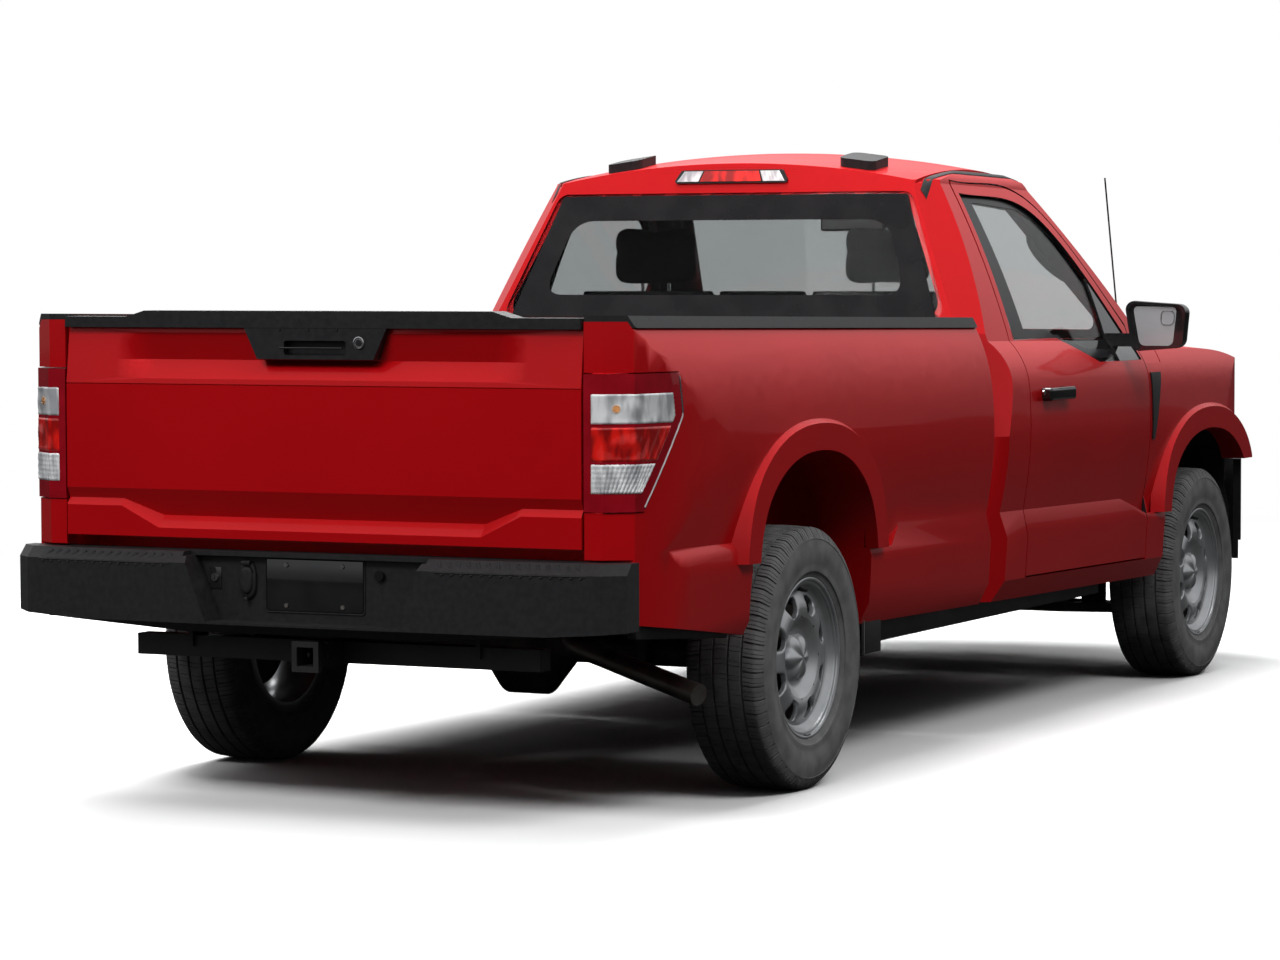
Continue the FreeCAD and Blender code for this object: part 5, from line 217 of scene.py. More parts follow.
def make_floor():
    """A wide disc that keeps the truck's soft shadow near it and melts into white farther out."""
    mesh = bmesh.new()
    bmesh.ops.create_circle(mesh, cap_ends=True, radius=FLOOR_RADIUS, segments=96)
    data = bpy.data.meshes.new("floor")
    mesh.to_mesh(data)
    mesh.free()
    floor = bpy.data.objects.new("floor", data)
    bpy.context.scene.collection.objects.link(floor)
    material = bpy.data.materials.new("pale_floor")
    material.use_nodes = True
    tree = material.node_tree
    tree.nodes.clear()
    place = add(tree, "ShaderNodeTexCoord").outputs["Object"]
    squeezed = add(tree, "ShaderNodeMapping", {"Vector": place, "Scale": FLOOR_OVAL}).outputs["Vector"]
    far = add(tree, "ShaderNodeVectorMath", {0: squeezed}, operation="LENGTH").outputs["Value"]
    fade = rising(tree, far, FLOOR_CLEAR_FROM, FLOOR_CLEAR_TO)
    direct = seen_directly(tree)
    clear = add(tree, "ShaderNodeMath", {0: fade, 1: direct}, operation="MULTIPLY").outputs[0]
    matt = add(tree, "ShaderNodeBsdfDiffuse", {"Color": mixed(tree, direct, FLOOR_BOUNCE, FLOOR_COLOUR)})
    white = add(tree, "ShaderNodeEmission", {"Strength": 1.0})
    blend = {"Fac": clear, 1: matt.outputs[0], 2: white.outputs[0]}
    surface = add(tree, "ShaderNodeMixShader", blend).outputs[0]
    add(tree, "ShaderNodeOutputMaterial", {"Surface": surface})
    data.materials.append(material)


make_sky()
make_floor()
bpy.context.scene.view_settings.view_transform = "Standard"
print("sky and floor ready")

# %% Soft lamps
LAMPS = [
    ("overhead", (1.3, -0.9, 6.6), (0, 0, 0), (4.5, 6.5), 1000),
    ("right_side", (-7.0, 4.2, 8.2), (-0.8, 0.6, 0.9), (5.0, 3.0), 430),
    ("rear", (1.5, 10.0, 7.2), (0, 2.6, 0.9), (5.0, 2.4), 640),
    ("left_side", (7.0, -3.0, 8.2), (0.8, -0.5, 0.9), (5.0, 3.0), 240),
    ("front", (-1.5, -10.0, 7.2), (0, -2.6, 0.9), (5.0, 2.4), 260),
]


def make_lamp(name, at, towards, size, power):
    """A rectangular soft lamp out of the camera's sight; only the one overhead is mirrored."""
    light = bpy.data.lights.new(name, "AREA")
    light.shape = "RECTANGLE"
    light.size, light.size_y = size
    light.energy = power
    lamp = bpy.data.objects.new(name, light)
    bpy.context.scene.collection.objects.link(lamp)
    lamp.location = at
    lamp.rotation_euler = (Vector(towards) - Vector(at)).to_track_quat("-Z", "Y").to_euler()
    lamp.visible_camera = False
    lamp.visible_glossy = name == "overhead"


for settings in LAMPS:
    make_lamp(*settings)
print("lamps:", len(LAMPS))

# %% [markdown]
# ## The finishes
# Car paint is a coloured base under a clear, very smooth coat, so the shader's own coat does
# the shine and a faint ripple gives the orange-peel look of sprayed lacquer. Moulded trim is
# black, half matt and finely pebbled. Most finishes are one call: how rough and metallic it is,
# its darker and lighter tone, the mottle's scale and detail, and for pebbled ones the grain's
# scale, height and strength.

# %% Paint, plastics and metals
FINISH = {}


def make_finish(name, rough, metallic, dark, light, scale, detail=4.0, pebbles=None, **constants):
    """A mottled finish, with a fine grain if pebbles are given."""
    material, shader = new_finish(name, rough, metallic, **constants)
    mottle(material, shader, dark, light, scale, detail)
    if pebbles:
        grain(material, shader, *pebbles)
    FINISH[name] = material
    return material, shader


make_finish(
    "paint_red", 0.36, 0.45, (0.58, 0.003, 0.006), (0.62, 0.0035, 0.007), 2.2,
    pebbles=(420.0, 0.00004, 0.12), Coat_Weight=0.32, Coat_Roughness=0.05, Specular_IOR_Level=0.2,
)
make_finish(
    "black_plastic", 0.5, 0.0, (0.011, 0.011, 0.012), (0.017, 0.017, 0.018), 60.0,
    pebbles=(900.0, 0.0002, 0.35), Specular_IOR_Level=0.35,
)
make_finish(
    "gloss_black", 0.12, 0.0, (0.006, 0.006, 0.007), (0.012, 0.012, 0.013), 8.0,
    Coat_Weight=0.6, Coat_Roughness=0.04,
)
make_finish(
    "glass_band", 0.22, 0.0, (0.005, 0.005, 0.006), (0.010, 0.010, 0.011), 9.0,
    Specular_IOR_Level=0.25,
)
make_finish(
    "cabin_plastic", 0.6, 0.0, (0.008, 0.008, 0.009), (0.014, 0.014, 0.015), 30.0,
    pebbles=(700.0, 0.0003, 0.5),
)
make_finish(
    "rubber_seal", 0.7, 0.0, (0.008, 0.008, 0.009), (0.016, 0.016, 0.017), 80.0,
    pebbles=(600.0, 0.0002, 0.4),
)
make_finish(
    "tyre", 0.7, 0.0, (0.11, 0.11, 0.111), (0.17, 0.17, 0.169), 18.0, 6.0,
    pebbles=(260.0, 0.0004, 0.35),
)
make_finish(
    "wheel_silver", 0.34, 0.75, (0.40, 0.41, 0.42), (0.50, 0.51, 0.52), 9.0,
    pebbles=(700.0, 0.00006, 0.2), Coat_Weight=0.35, Coat_Roughness=0.15,
)
make_finish(
    "frame_black", 0.55, 0.0, (0.010, 0.010, 0.011), (0.028, 0.027, 0.026), 6.0, 8.0,
    pebbles=(160.0, 0.0006, 0.4),
)
make_finish(
    "raw_iron", 0.62, 0.35, (0.035, 0.031, 0.028), (0.11, 0.095, 0.083), 11.0, 9.0,
    pebbles=(220.0, 0.0008, 0.6),
)
make_finish("core_aluminium", 0.45, 0.8, (0.22, 0.22, 0.23), (0.36, 0.36, 0.37), 40.0)
make_finish("bright_steel", 0.22, 1.0, (0.50, 0.50, 0.51), (0.66, 0.66, 0.67), 30.0)
pipe, pipe_shader = make_finish("pipe_steel", 0.4, 0.85, (0.13, 0.115, 0.10), (0.27, 0.25, 0.23), 7.0, 6.0)
wander(pipe, pipe_shader, 14.0, 0.30, 0.52)
print("paint, plastics and metals:", len(FINISH))

# %% [markdown]
# ## Glass and lamps
# Window glass lets light through almost unbent, as it is a thin pane. A lamp's red cover has
# its colour under a very smooth clear skin. The moulded optics behind it are a faceted mirror:
# their bright and dim reflections are painted into the colour as a stretched mottle with hard steps.

# %% Glass and lamp finishes
TINTS = {"clear_glass": (0.62, 0.64, 0.64), "dark_glass": (0.42, 0.44, 0.44)}
LENSES = {
    "amber_glass": ((0.40, 0.16, 0.05), (0.62, 0.30, 0.12)),
    "lamp_lens": ((0.90, 0.92, 0.94), (0.97, 0.98, 1.0)),
}
# Each optic's dim and bright tones are painted reflections of its facets, with the mottle's scale.
OPTIC_PAINTED_GLINTS = {
    "optic_clear": ((0.42, 0.43, 0.45), (0.92, 0.93, 0.94), 16.0),
    "optic_red": ((0.34, 0.002, 0.002), (0.96, 0.012, 0.006), 18.0),
}

for name, tint in TINTS.items():
    dim = tuple(value * 0.97 for value in tint)
    make_finish(name, 0.0, 0.0, dim, tint, 1.5, Transmission_Weight=1.0, IOR=1.14)
for name, (dark, light) in LENSES.items():
    make_finish(name, 0.03, 0.0, dark, light, 25.0, Transmission_Weight=1.0, IOR=1.3)
# The hue is the optic's own. The bright and dim facets laid over it are painted reflections.
for name, (dark, light, scale) in OPTIC_PAINTED_GLINTS.items():
    material, shader = new_finish(name, 0.3, 0.25, Coat_Weight=1.0, Coat_Roughness=0.03)
    mottle(material, shader, dark, light, scale, 2.0, (1.6, 1.6, 0.6), 0.40, 0.62)
    grain(material, shader, 60.0, 0.0016, 0.3, (1, 1, 0.2))
    FINISH[name] = material
make_finish(
    "lamp_red", 0.18, 0.35, (0.36, 0.002, 0.010), (0.46, 0.004, 0.016), 12.0,
    Coat_Weight=1.0, Coat_Roughness=0.02,
)
make_finish(
    "mirror_glass", 0.25, 0.0, (0.28, 0.29, 0.30), (0.34, 0.35, 0.36), 4.0,
    Coat_Weight=1.0, Coat_Roughness=0.02,
)
print("finishes:", len(FINISH))

# %% [markdown]
# ## Seat cloth
# Woven cloth has yarns that cross. Two wave patterns multiplied give them as a bump, over a
# dark, barely mottled colour.

# %% Cloth
WEAVE_SCALE = 160.0
WEAVE_HEIGHT = 0.0006

cloth, cloth_shader = make_finish(
    "seat_cloth", 0.9, 0.0, (0.007, 0.007, 0.008), (0.014, 0.014, 0.015), 120.0
)
tree = cloth.node_tree
place = add(tree, "ShaderNodeTexCoord").outputs["Object"]
yarns = {}
for i, way in enumerate("XZ"):
    yarn = {"Vector": place, "Scale": WEAVE_SCALE, "Distortion": 0.6}
    yarns[i] = add(tree, "ShaderNodeTexWave", yarn, bands_direction=way).outputs["Fac"]
crossed = add(tree, "ShaderNodeMath", yarns, operation="MULTIPLY").outputs[0]
bumpy(tree, cloth_shader, crossed, WEAVE_HEIGHT, 0.5)
print("finishes with cloth:", len(FINISH))

# %% [markdown]
# ## Dressing the CAD pieces
# A CAD piece arrives as loose triangles. Its mesh must stay as it is, but modifiers may work
# on it: Weld joins the triangles, Edge Split keeps real edges crisp and Weighted Normal lets
# the large faces decide the shading, so curved panels look smooth. Each piece then gets the
# finish that the record names for it.

# %% Finish every CAD piece by its slot
SLOT_OF = {part["node"]: part["material_slot"] for part in frame["record"]["subparts"]}
WELD_REACH = 0.00002
SHARP_ANGLE = math.radians(16)
SOFT_ANGLE = math.radians(34)
SOFT_PIECES = ("box_side_left", "box_side_right")


def smooth_by_modifiers(made, sharp):
    """Weld, crisp real edges and let large faces decide the shading."""
    weld = made.modifiers.new("weld", "WELD")
    weld.merge_threshold = WELD_REACH
    split = made.modifiers.new("crisp", "EDGE_SPLIT")
    split.split_angle = sharp
    even = made.modifiers.new("even", "WEIGHTED_NORMAL")
    even.weight = 60
    for face in made.data.polygons:
        face.use_smooth = True


def give_finish(made, name):
    """One finish for the whole of a piece."""
    made.data.materials.clear()
    made.data.materials.append(FINISH[name])
    for face in made.data.polygons:
        face.material_index = 0


for node, made in frame["nodes"].items():
    smooth_by_modifiers(made, SOFT_ANGLE if node in SOFT_PIECES else SHARP_ANGLE)
    give_finish(made, SLOT_OF[node])
print("dressed:", len(SLOT_OF))

# %% [markdown]
# ## Making new pieces
# Every added piece is a mesh in the truck's own coordinates, riding on the CAD body it belongs
# to. A small kit does the repeated work with bmesh operators: it spins an outline into a ring,
# bevels a box, draws a rod, extrudes one line through others, or lays a grid over given points.
# Each tool gives back points and faces, so that several shapes can be joined into one piece.

# %% Turn shapes into pieces that ride on a body
MERGE_REACH = 0.00001
WHEELS = {
    "front_left": (0.8625, -1.934, 1),
    "front_right": (-0.8625, -1.934, -1),
    "rear_left": (0.8675, 1.660, 1),
    "rear_right": (-0.8675, 1.660, -1),
}
AXLE_HEIGHT = 0.382


def work_of(points, faces):
    """A bmesh with the given points and faces."""
    work = bmesh.new()
    corners = [work.verts.new(point) for point in points]
    for face in faces:
        work.faces.new([corners[i] for i in face])
    return work


def shape_of(work):
    """Points and faces of a bmesh that is done with."""
    work.verts.index_update()
    points = [tuple(corner.co) for corner in work.verts]
    faces = [tuple(corner.index for corner in face.verts) for face in work.faces]
    work.free()
    return points, faces


def piece(name, points, faces, body, finish, sharp=35.0):
    """A mesh that rides on a body and wears a finish; real edges are kept sharp."""
    data = bpy.data.meshes.new(name)
    work = work_of(points, faces)
    bmesh.ops.remove_doubles(work, verts=work.verts, dist=MERGE_REACH)
    bmesh.ops.recalc_face_normals(work, faces=work.faces)
    work.to_mesh(data)
    work.free()
    for face in data.polygons:
        face.use_smooth = True
    data.set_sharp_from_angle(angle=math.radians(sharp))
    made = bpy.data.objects.new(name, data)
    bpy.context.scene.collection.objects.link(made)
    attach(made, body)
    give_finish(made, finish)
    return made


def joined(*parts):
    """Several shapes as one."""
    points = []
    faces = []
    for more_points, more_faces in parts:
        start = len(points)
        points += more_points
        faces += [tuple(start + i for i in face) for face in more_faces]
    return points, faces


def placed(points, centre, side=1):
    """Points moved to a centre, turned half round about Z for the right-hand side."""
    x, y, z = centre
    return [(x + side * px, y + side * py, z + pz) for px, py, pz in points]


def pair_of(name, points, faces, body, finish, sharp=35.0):
    """The same piece on the left and, mirrored, on the right; a body "door" is each side's own."""
    for side, turned in (("left", points), ("right", [(-x, y, z) for x, y, z in points])):
        rides_on = "door_" + side if body == "door" else body
        piece(name + "_" + side, turned, faces, rides_on, finish, sharp)


# %% Spin, bevel and extrude
def drawn(work, corners, closed):
    """Edges from corner to corner, and back to the first where the line is closed."""
    ahead = corners[1:] + corners[:1] if closed else corners[1:]
    return [work.edges.new(pair) for pair in zip(corners, ahead)]


def rounded_square(turn, ease):
    """Cosine and sine of a turn, eased towards a square with round corners."""
    return [math.copysign(abs(part) ** ease, part) for part in (math.cos(turn), math.sin(turn))]


def spun(outline, steps, closed=True):
    """An outline of (along X, radius) pairs spun about the X axis."""
    work = bmesh.new()
    corners = [work.verts.new((along, radius, 0)) for along, radius in outline]
    edges = drawn(work, corners, closed)
    bmesh.ops.spin(
        work, geom=corners + edges, axis=(1, 0, 0), cent=(0, 0, 0),
        steps=steps, angle=math.tau, use_merge=True,
    )
    return shape_of(work)


def repeated(shape, copies):
    """A shape copied evenly round the X axis."""
    work = work_of(*shape)
    geometry = work.verts[:] + work.edges[:] + work.faces[:]
    angle = math.tau * (copies - 1) / copies
    bmesh.ops.spin(
        work, geom=geometry, axis=(1, 0, 0), cent=(0, 0, 0),
        steps=copies - 1, angle=angle, use_duplicate=True,
    )
    return shape_of(work)


def soft_box(low, high, radius=0.004, segments=2):
    """A box between two corners with rounded edges."""
    work = bmesh.new()
    bmesh.ops.create_cube(work, size=1.0)
    size = [high[i] - low[i] for i in range(3)]
    for corner in work.verts:
        corner.co = [low[i] + (corner.co[i] + 0.5) * size[i] for i in range(3)]
    radius = min(radius, min(size) * 0.45)
    bmesh.ops.bevel(
        work, geom=work.edges[:], offset=radius, segments=segments, profile=0.5, affect="EDGES", material=-1
    )
    return shape_of(work)


def rod_between(start, end, radius, steps=16):
    """A round rod with flat ends."""
    start, end = Vector(start), Vector(end)
    along = (end - start).normalized()
    side = along.orthogonal().normalized()
    turn = Matrix((side, along.cross(side), along)).transposed().to_4x4()
    work = bmesh.new()
    bmesh.ops.create_cone(
        work, cap_ends=True, segments=steps, radius1=radius, radius2=radius, depth=(end - start).length,
        matrix=Matrix.Translation((start + end) / 2) @ turn,
    )
    return shape_of(work)


def lofted(lines, first_cap=False, last_cap=False):
    """Skin through closed lines of equally many points: the first is drawn, then extruded on.

    A point may be None where nothing was found; the skin has a gap there.
    """
    work = bmesh.new()
    place = work.verts.layers.int.new("place")
    lost = []

    def settle(corner, line):
        if line[corner[place]] is None:
            lost.append(corner)
        else:
            corner.co = line[corner[place]]

    row = [work.verts.new() for _ in lines[0]]
    for i, corner in enumerate(row):
        corner[place] = i
        settle(corner, lines[0])
    edges = drawn(work, row, True)
    if first_cap:
        bmesh.ops.contextual_create(work, geom=edges)
    for line in lines[1:]:
        grown = bmesh.ops.extrude_edge_only(work, edges=edges)["geom"]
        corners = {item for item in grown if isinstance(item, bmesh.types.BMVert)}
        edges = [item for item in grown if isinstance(item, bmesh.types.BMEdge)]
        edges = [edge for edge in edges if corners.issuperset(edge.verts)]
        for corner in corners:
            settle(corner, line)
    if last_cap:
        bmesh.ops.contextual_create(work, geom=edges)
    bmesh.ops.delete(work, geom=lost, context="VERTS")
    return shape_of(work)


def grid_over(columns, rows, points):
    """A grid whose corners, row by row, are moved to the given points; those without one go."""
    work = bmesh.new()
    bmesh.ops.create_grid(work, x_segments=columns - 1, y_segments=rows - 1, size=1.0)
    lost = []
    for corner, point in zip(work.verts, points, strict=True):
        if point is None:
            lost.append(corner)
        else:
            corner.co = point
    bmesh.ops.delete(work, geom=lost, context="VERTS")
    return shape_of(work)


def bead(points, radius, steps=8, closed=False):
    """A round bead that follows a line of points."""
    path = [Vector(point) for point in points]
    count = len(path)
    turns = [math.tau * step / steps for step in range(steps)]
    lines = []
    side = None
    for i, at in enumerate(path):
        before = path[i - 1] if i or closed else at
        after = path[(i + 1) % count] if i < count - 1 or closed else at
        along = (after - before).normalized()
        side = along.orthogonal() if side is None else side - along * side.dot(along)
        side.normalize()
        up = along.cross(side)
        lines.append([at + (side * math.cos(turn) + up * math.sin(turn)) * radius for turn in turns])
    if closed:
        lines.append(lines[0])
    return lofted(lines, not closed, not closed)


print("kit ready")

# %% [markdown]
# ## Laying pieces on a CAD surface
# Lamp optics, glass borders and seals follow surfaces that CAD already has. Instead of copying
# their curves by hand, rays are cast at the CAD piece and the new points are put where they
# hit, lifted by a hair. The new piece then fits however the surface bends.

# %% Rays that find a surface
from mathutils.bvhtree import BVHTree

TREES = {}
FORWARD = Vector((0, -1, 0))
INWARD = Vector((-1, 0, 0))
DOWN = Vector((0, 0, -1))
BEHIND = 3.4
BESIDE = 1.4


def hit(node, start, towards):
    """Where a ray meets a CAD piece and the surface's outward direction there, or None."""
    if node not in TREES:
        mesh = frame["nodes"][node].data
        corners = [tuple(corner.co) for corner in mesh.vertices]
        TREES[node] = BVHTree.FromPolygons(corners, [tuple(face.vertices) for face in mesh.polygons])
    at, normal, _, _ = TREES[node].ray_cast(Vector(start), towards)
    if at is None:
        return None
    return at, (normal if normal.dot(towards) < 0 else -normal)


def laid(node, starts, towards, lift):
    """Points where parallel rays from the starts meet a piece, lifted off its surface."""
    found = [hit(node, start, towards) for start in starts]
    return [met and met[0] + met[1] * lift for met in found]


def from_behind(node, x, z):
    """Where a ray from behind the truck meets a piece, looking forward."""
    return hit(node, (x, BEHIND, z), FORWARD)


print("surface helpers ready")

# %% [markdown]
# ## Tyres
# A road tyre for such a truck has five ribs parted by four grooves, with narrow cuts across the
# ribs and wider slots through the shoulders. The tread is one pattern repeated round the tyre,
# so only one pitch is made: the tyre's cross section is extruded over the pattern's columns,
# with rows in a groove and columns in a cut set deeper, and the pitch is then copied round with
# spin. That costs far fewer faces than cutting hundreds of slots one by one, and the outer form
# stays that of the CAD tyre.

# %% Tread pattern
PITCHES = 58
GROOVE_DEPTH = 0.0085
GROOVE_SLOPE = 0.0012
CUT_DEPTH = 0.005
TYRE_RADIUS = 0.382
CROWN_DROP = 0.36
CUT_LEAN = 0.30
LEAN_AT = 0.1
SHOULDER_FROM = 0.09
COLUMNS = [
    (0.00, "rib"), (0.30, "rib"), (0.315, "cut"), (0.335, "cut"), (0.35, "rib"), (0.62, "rib"),
    (0.635, "cut"), (0.655, "cut"), (0.67, "rib"), (0.86, "rib"), (0.885, "slot"), (0.975, "slot"),
    (1.00, "rib"),
]
RIBS = [(0.0680, 0.0975), (0.0265, 0.0600), (-0.0185, 0.0185), (-0.0600, -0.0265), (-0.0975, -0.0680)]
SIDE_WALL = [
    (0.1050, 0.2343), (0.1105, 0.2480), (0.1120, 0.2500), (0.1150, 0.2505), (0.1165, 0.2560),
    (0.1150, 0.2620), (0.1180, 0.2760), (0.1210, 0.2920), (0.1224, 0.3080), (0.1216, 0.3260),
    (0.1196, 0.3400), (0.1190, 0.3440), (0.1205, 0.3450), (0.1195, 0.3475),
]
SHOULDER = [(0.1160, 0.3560), (0.1105, 0.3670), (0.1030, 0.3752)]


def tread_rows():
    """Cross section from outer bead to inner bead: along X, radius and kind of row."""
    side = [(*point, "wall") for point in SIDE_WALL] + [(*point, "slot") for point in SHOULDER]
    crown = []
    for low, high in RIBS:
        tops = {x: TYRE_RADIUS - CROWN_DROP * x * x for x in (low, high)}
        kind = "slot" if max(-low, high) > SHOULDER_FROM else "rib"
        if high < SHOULDER_FROM:
            crown.append((high + GROOVE_SLOPE, tops[high] - GROOVE_DEPTH, "groove"))
        middle = ((high + low) / 2, (tops[high] + tops[low]) / 2, kind)
        crown += [(high, tops[high], kind), middle, (low, tops[low], kind)]
        if low > -SHOULDER_FROM:
            crown.append((low - GROOVE_SLOPE, tops[low] - GROOVE_DEPTH, "groove"))
    return side + crown + [(-along, radius, kind) for along, radius, kind in reversed(side)]


def tread_depth(row, column):
    if row in ("groove", "wall") or column == "rib":
        return 0.0
    if column == "slot":
        return GROOVE_DEPTH if row == "slot" else 0.0
    return CUT_DEPTH


def tyre_shape():
    lines = []
    for share, column in COLUMNS:
        line = []
        for along, radius, row in tread_rows():
            lean = CUT_LEAN if row == "wall" else CUT_LEAN * abs(along) / LEAN_AT
            turn = math.tau * (share + lean) / PITCHES
            deep = radius - tread_depth(row, column)
            line.append((along, deep * math.cos(turn), deep * math.sin(turn)))
        lines.append(line)
    return repeated(lofted(lines), PITCHES)


tyre = tyre_shape()
for name, (x, y, side) in WHEELS.items():
    points = placed(tyre[0], (x, y, AXLE_HEIGHT), side)
    made = piece("tread_" + name, points, tyre[1], "wheel_" + name, "tyre", 30)
    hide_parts("tyre_" + name)
print("tyre faces:", len(tyre[1]), "each, rows:", len(tread_rows()))

# %% [markdown]
# ## Wheels
# The wheels are pressed and welded: a barrel with a rolled edge and a disc with eight hand
# holes, under a domed cap with six lobes for the nuts. The disc is laid out sector by sector.
# In each sector a line is extruded from the rounded hole out to the sector's straight border,
# so the holes have smooth rims without any boolean cut, and spin copies the sector round.

# %% Pierced disc
HOLES = 8
HOLE_RADII = (0.130, 0.186)
DISC_RADII = (0.118, 0.196)
HOLE_SHARE = 0.30
HOLE_EASE = 2 / 2.9
HOLE_TAPER_SHARE = 0.20
HOLE_STEPS = 48
RIM_SHARES_AND_SINKS = [
    (0.0, 0.016), (0.0, 0.0045), (0.035, 0.0014), (0.10, 0.0), (0.30, 0.0), (0.60, 0.0), (1.0, 0.0)
]
FACE_OUTLINE = [
    (0.052, 0.0605), (0.060, 0.0600), (0.080, 0.0605), (0.092, 0.0640), (0.105, 0.0760), (0.118, 0.0840),
    (0.132, 0.0878), (0.146, 0.0882), (0.160, 0.0850), (0.174, 0.0785), (0.186, 0.0730), (0.196, 0.0725),
    (0.204, 0.0790), (0.210, 0.0880), (0.216, 0.0930), (0.222, 0.0950),
]


def face_height(radius):
    """How far the wheel's face stands out at a radius."""
    for (low, low_x), (high, high_x) in zip(FACE_OUTLINE[:-1], FACE_OUTLINE[1:]):
        if radius <= high:
            share = max(0.0, (radius - low) / (high - low))
            return low_x + (high_x - low_x) * share
    return FACE_OUTLINE[-1][1]


def hole_edge(turn):
    """Radius and sector share of the hole's rounded outline."""
    across, up = rounded_square(turn, HOLE_EASE)
    inner, outer = HOLE_RADII
    width = HOLE_SHARE * (1 - HOLE_TAPER_SHARE + HOLE_TAPER_SHARE * up)
    return (inner + outer) / 2 + up * (outer - inner) / 2, 0.5 + across * width


def border(turn):
    """Radius and sector share on the sector's border, in the same turn order as the hole."""
    across, up = math.cos(turn), math.sin(turn)
    grow = 1 / max(abs(across), abs(up))
    inner, outer = DISC_RADII
    return (inner + outer) / 2 + up * grow * (outer - inner) / 2, 0.5 + across * grow * 0.5


def pierced_sector():
    """A sector of the disc, with a rim that turns inward round its hole."""
    lines = []
    for blend, sink in RIM_SHARES_AND_SINKS:
        line = []
        for step in range(HOLE_STEPS):
            turn = math.tau * (step + 0.5) / HOLE_STEPS
            (hole_radius, hole_part), (out_radius, out_part) = hole_edge(turn), border(turn)
            radius = hole_radius + (out_radius - hole_radius) * blend
            angle = math.tau * (hole_part + (out_part - hole_part) * blend) / HOLES
            line.append((face_height(radius) - sink, radius * math.cos(angle), radius * math.sin(angle)))
        lines.append(line)
    return lofted(lines)


# %% Rings, cap and small parts
RING_STEPS = 96
RING_OVERLAP = 0.002
BARREL_OUTLINE = [
    (0.0975, 0.2245), (0.1035, 0.2250), (0.1050, 0.2275), (0.1050, 0.2320), (0.1035, 0.2340),
    (0.0985, 0.2340), (0.0970, 0.2320), (0.0960, 0.2160), (0.0525, 0.1925), (-0.0420, 0.1900),
    (-0.0960, 0.2140),
    (-0.0970, 0.2320), (-0.0985, 0.2340), (-0.1035, 0.2340), (-0.1050, 0.2320), (-0.1040, 0.2060),
    (-0.0420, 0.1815), (0.0440, 0.1815), (0.0700, 0.1900),
]
CAP_LOBES = 6
CAP_FOOT = 0.0595
CAP_RADIUS = 0.0600
CAP_LOBE_REACH = 0.0145
CAP_RISE = 0.0300
CAP_DENT = 0.0030
CAP_RING_SHARES = [0.0, 0.2, 0.4, 0.55, 0.68, 0.78, 0.86, 0.92, 0.965, 1.0]


def disc_rings():
    """Plain rings of the face inside and outside the holes, the rolled edge and the barrel."""
    inner = [(x, r) for r, x in FACE_OUTLINE if r <= DISC_RADII[0] + RING_OVERLAP]
    edge = DISC_RADII[1] - RING_OVERLAP
    outer = [(face_height(edge), edge)] + [(x, r) for r, x in FACE_OUTLINE if r >= DISC_RADII[1]]
    return joined(spun(inner, RING_STEPS, False), spun(outer + BARREL_OUTLINE, RING_STEPS, False))


def lobed_cap():
    """A dome whose foot swells out into lobes over the nuts."""
    lines = []
    for share in CAP_RING_SHARES:
        line = []
        for step in range(RING_STEPS):
            turn = math.tau * step / RING_STEPS
            lobe = 0.5 + 0.5 * math.cos(CAP_LOBES * turn)
            radius = (CAP_RADIUS + CAP_LOBE_REACH * lobe ** 0.8) * share
            dome = CAP_FOOT + CAP_RISE * (1 - share ** 3.2) ** 0.6
            dent = CAP_DENT * math.sin(math.pi * min(1.0, share * 1.1)) * (1 - lobe)
            line.append((dome - dent, radius * math.cos(turn), radius * math.sin(turn)))
        lines.append(line)
    return lofted(lines)


BRAKE_OUTLINE = [
    (0.002, 0.032), (0.002, 0.156), (0.0095, 0.156), (0.0095, 0.150), (0.0185, 0.150), (0.0185, 0.156),
    (0.026, 0.156), (0.026, 0.074), (0.0435, 0.074), (0.0435, 0.032),
]
disc = joined(repeated(pierced_sector(), HOLES), disc_rings(), lobed_cap())
WHEEL_PARTS = {
    "wheel_disc": (disc, "wheel_silver", 50),
    "brake_disc": (spun(BRAKE_OUTLINE, 72), "raw_iron", 35),
    "valve": (
        joined(
            rod_between((0.070, 0.0, 0.200), (0.090, 0.0, 0.196), 0.0055),
            rod_between((0.088, 0.0, 0.1965), (0.101, 0.0, 0.194), 0.0042),
        ),
        "rubber_seal", 35,
    ),
    "balance_weight": (
        soft_box((0.0975, -0.018, -0.2262), (0.1045, 0.018, -0.2185), 0.0015), "core_aluminium", 35
    ),
}
for name, (x, y, side) in WHEELS.items():
    for part, ((points, faces), finish, sharp) in WHEEL_PARTS.items():
        moved = placed(points, (x, y, AXLE_HEIGHT), side)
        made = piece(part + "_" + name, moved, faces, "wheel_" + name, finish, sharp)
        if part == "wheel_disc":
            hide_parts("rim_" + name)
print("wheel faces:", {part: len(shape[0][1]) for part, shape in WHEEL_PARTS.items()})

# %% [markdown]
# ## Tail lamps
# Each lamp wraps the rear corner. Under one smooth skin lie a red band, a clear reversing
# lamp with its bulb, a red block for brake and turn light, a clear block and a red foot. The
# clear blocks are mirror bowls broken into flutes. They are laid on the CAD lamp as fine grids
# that ripple outward, with a bright moulded edge along the lamp's outer side.

# %% Tail lamp optics
LAMP_CENTRE = (0.86, 2.66)
LAMP_SIDE_EDGE = [(0.863, 2.704), (1.114, 2.528), (1.224, 2.546)]
LAMP_INNER_X = 0.8185
LAMP_RAYS = 300
FIRST_TURN, LAMP_SWEEP = -30, 172
LAMP_GAPS = (0.018, 0.042)
LAMP_BLOCKS = [
    ("lamp_reverse", 1.0955, 1.1765, "clear", "bowl"),
    ("lamp_brake", 0.9960, 1.0885, "red", "bowl"),
    ("lamp_turn", 0.9110, 0.9905, "clear", "flute"),
]


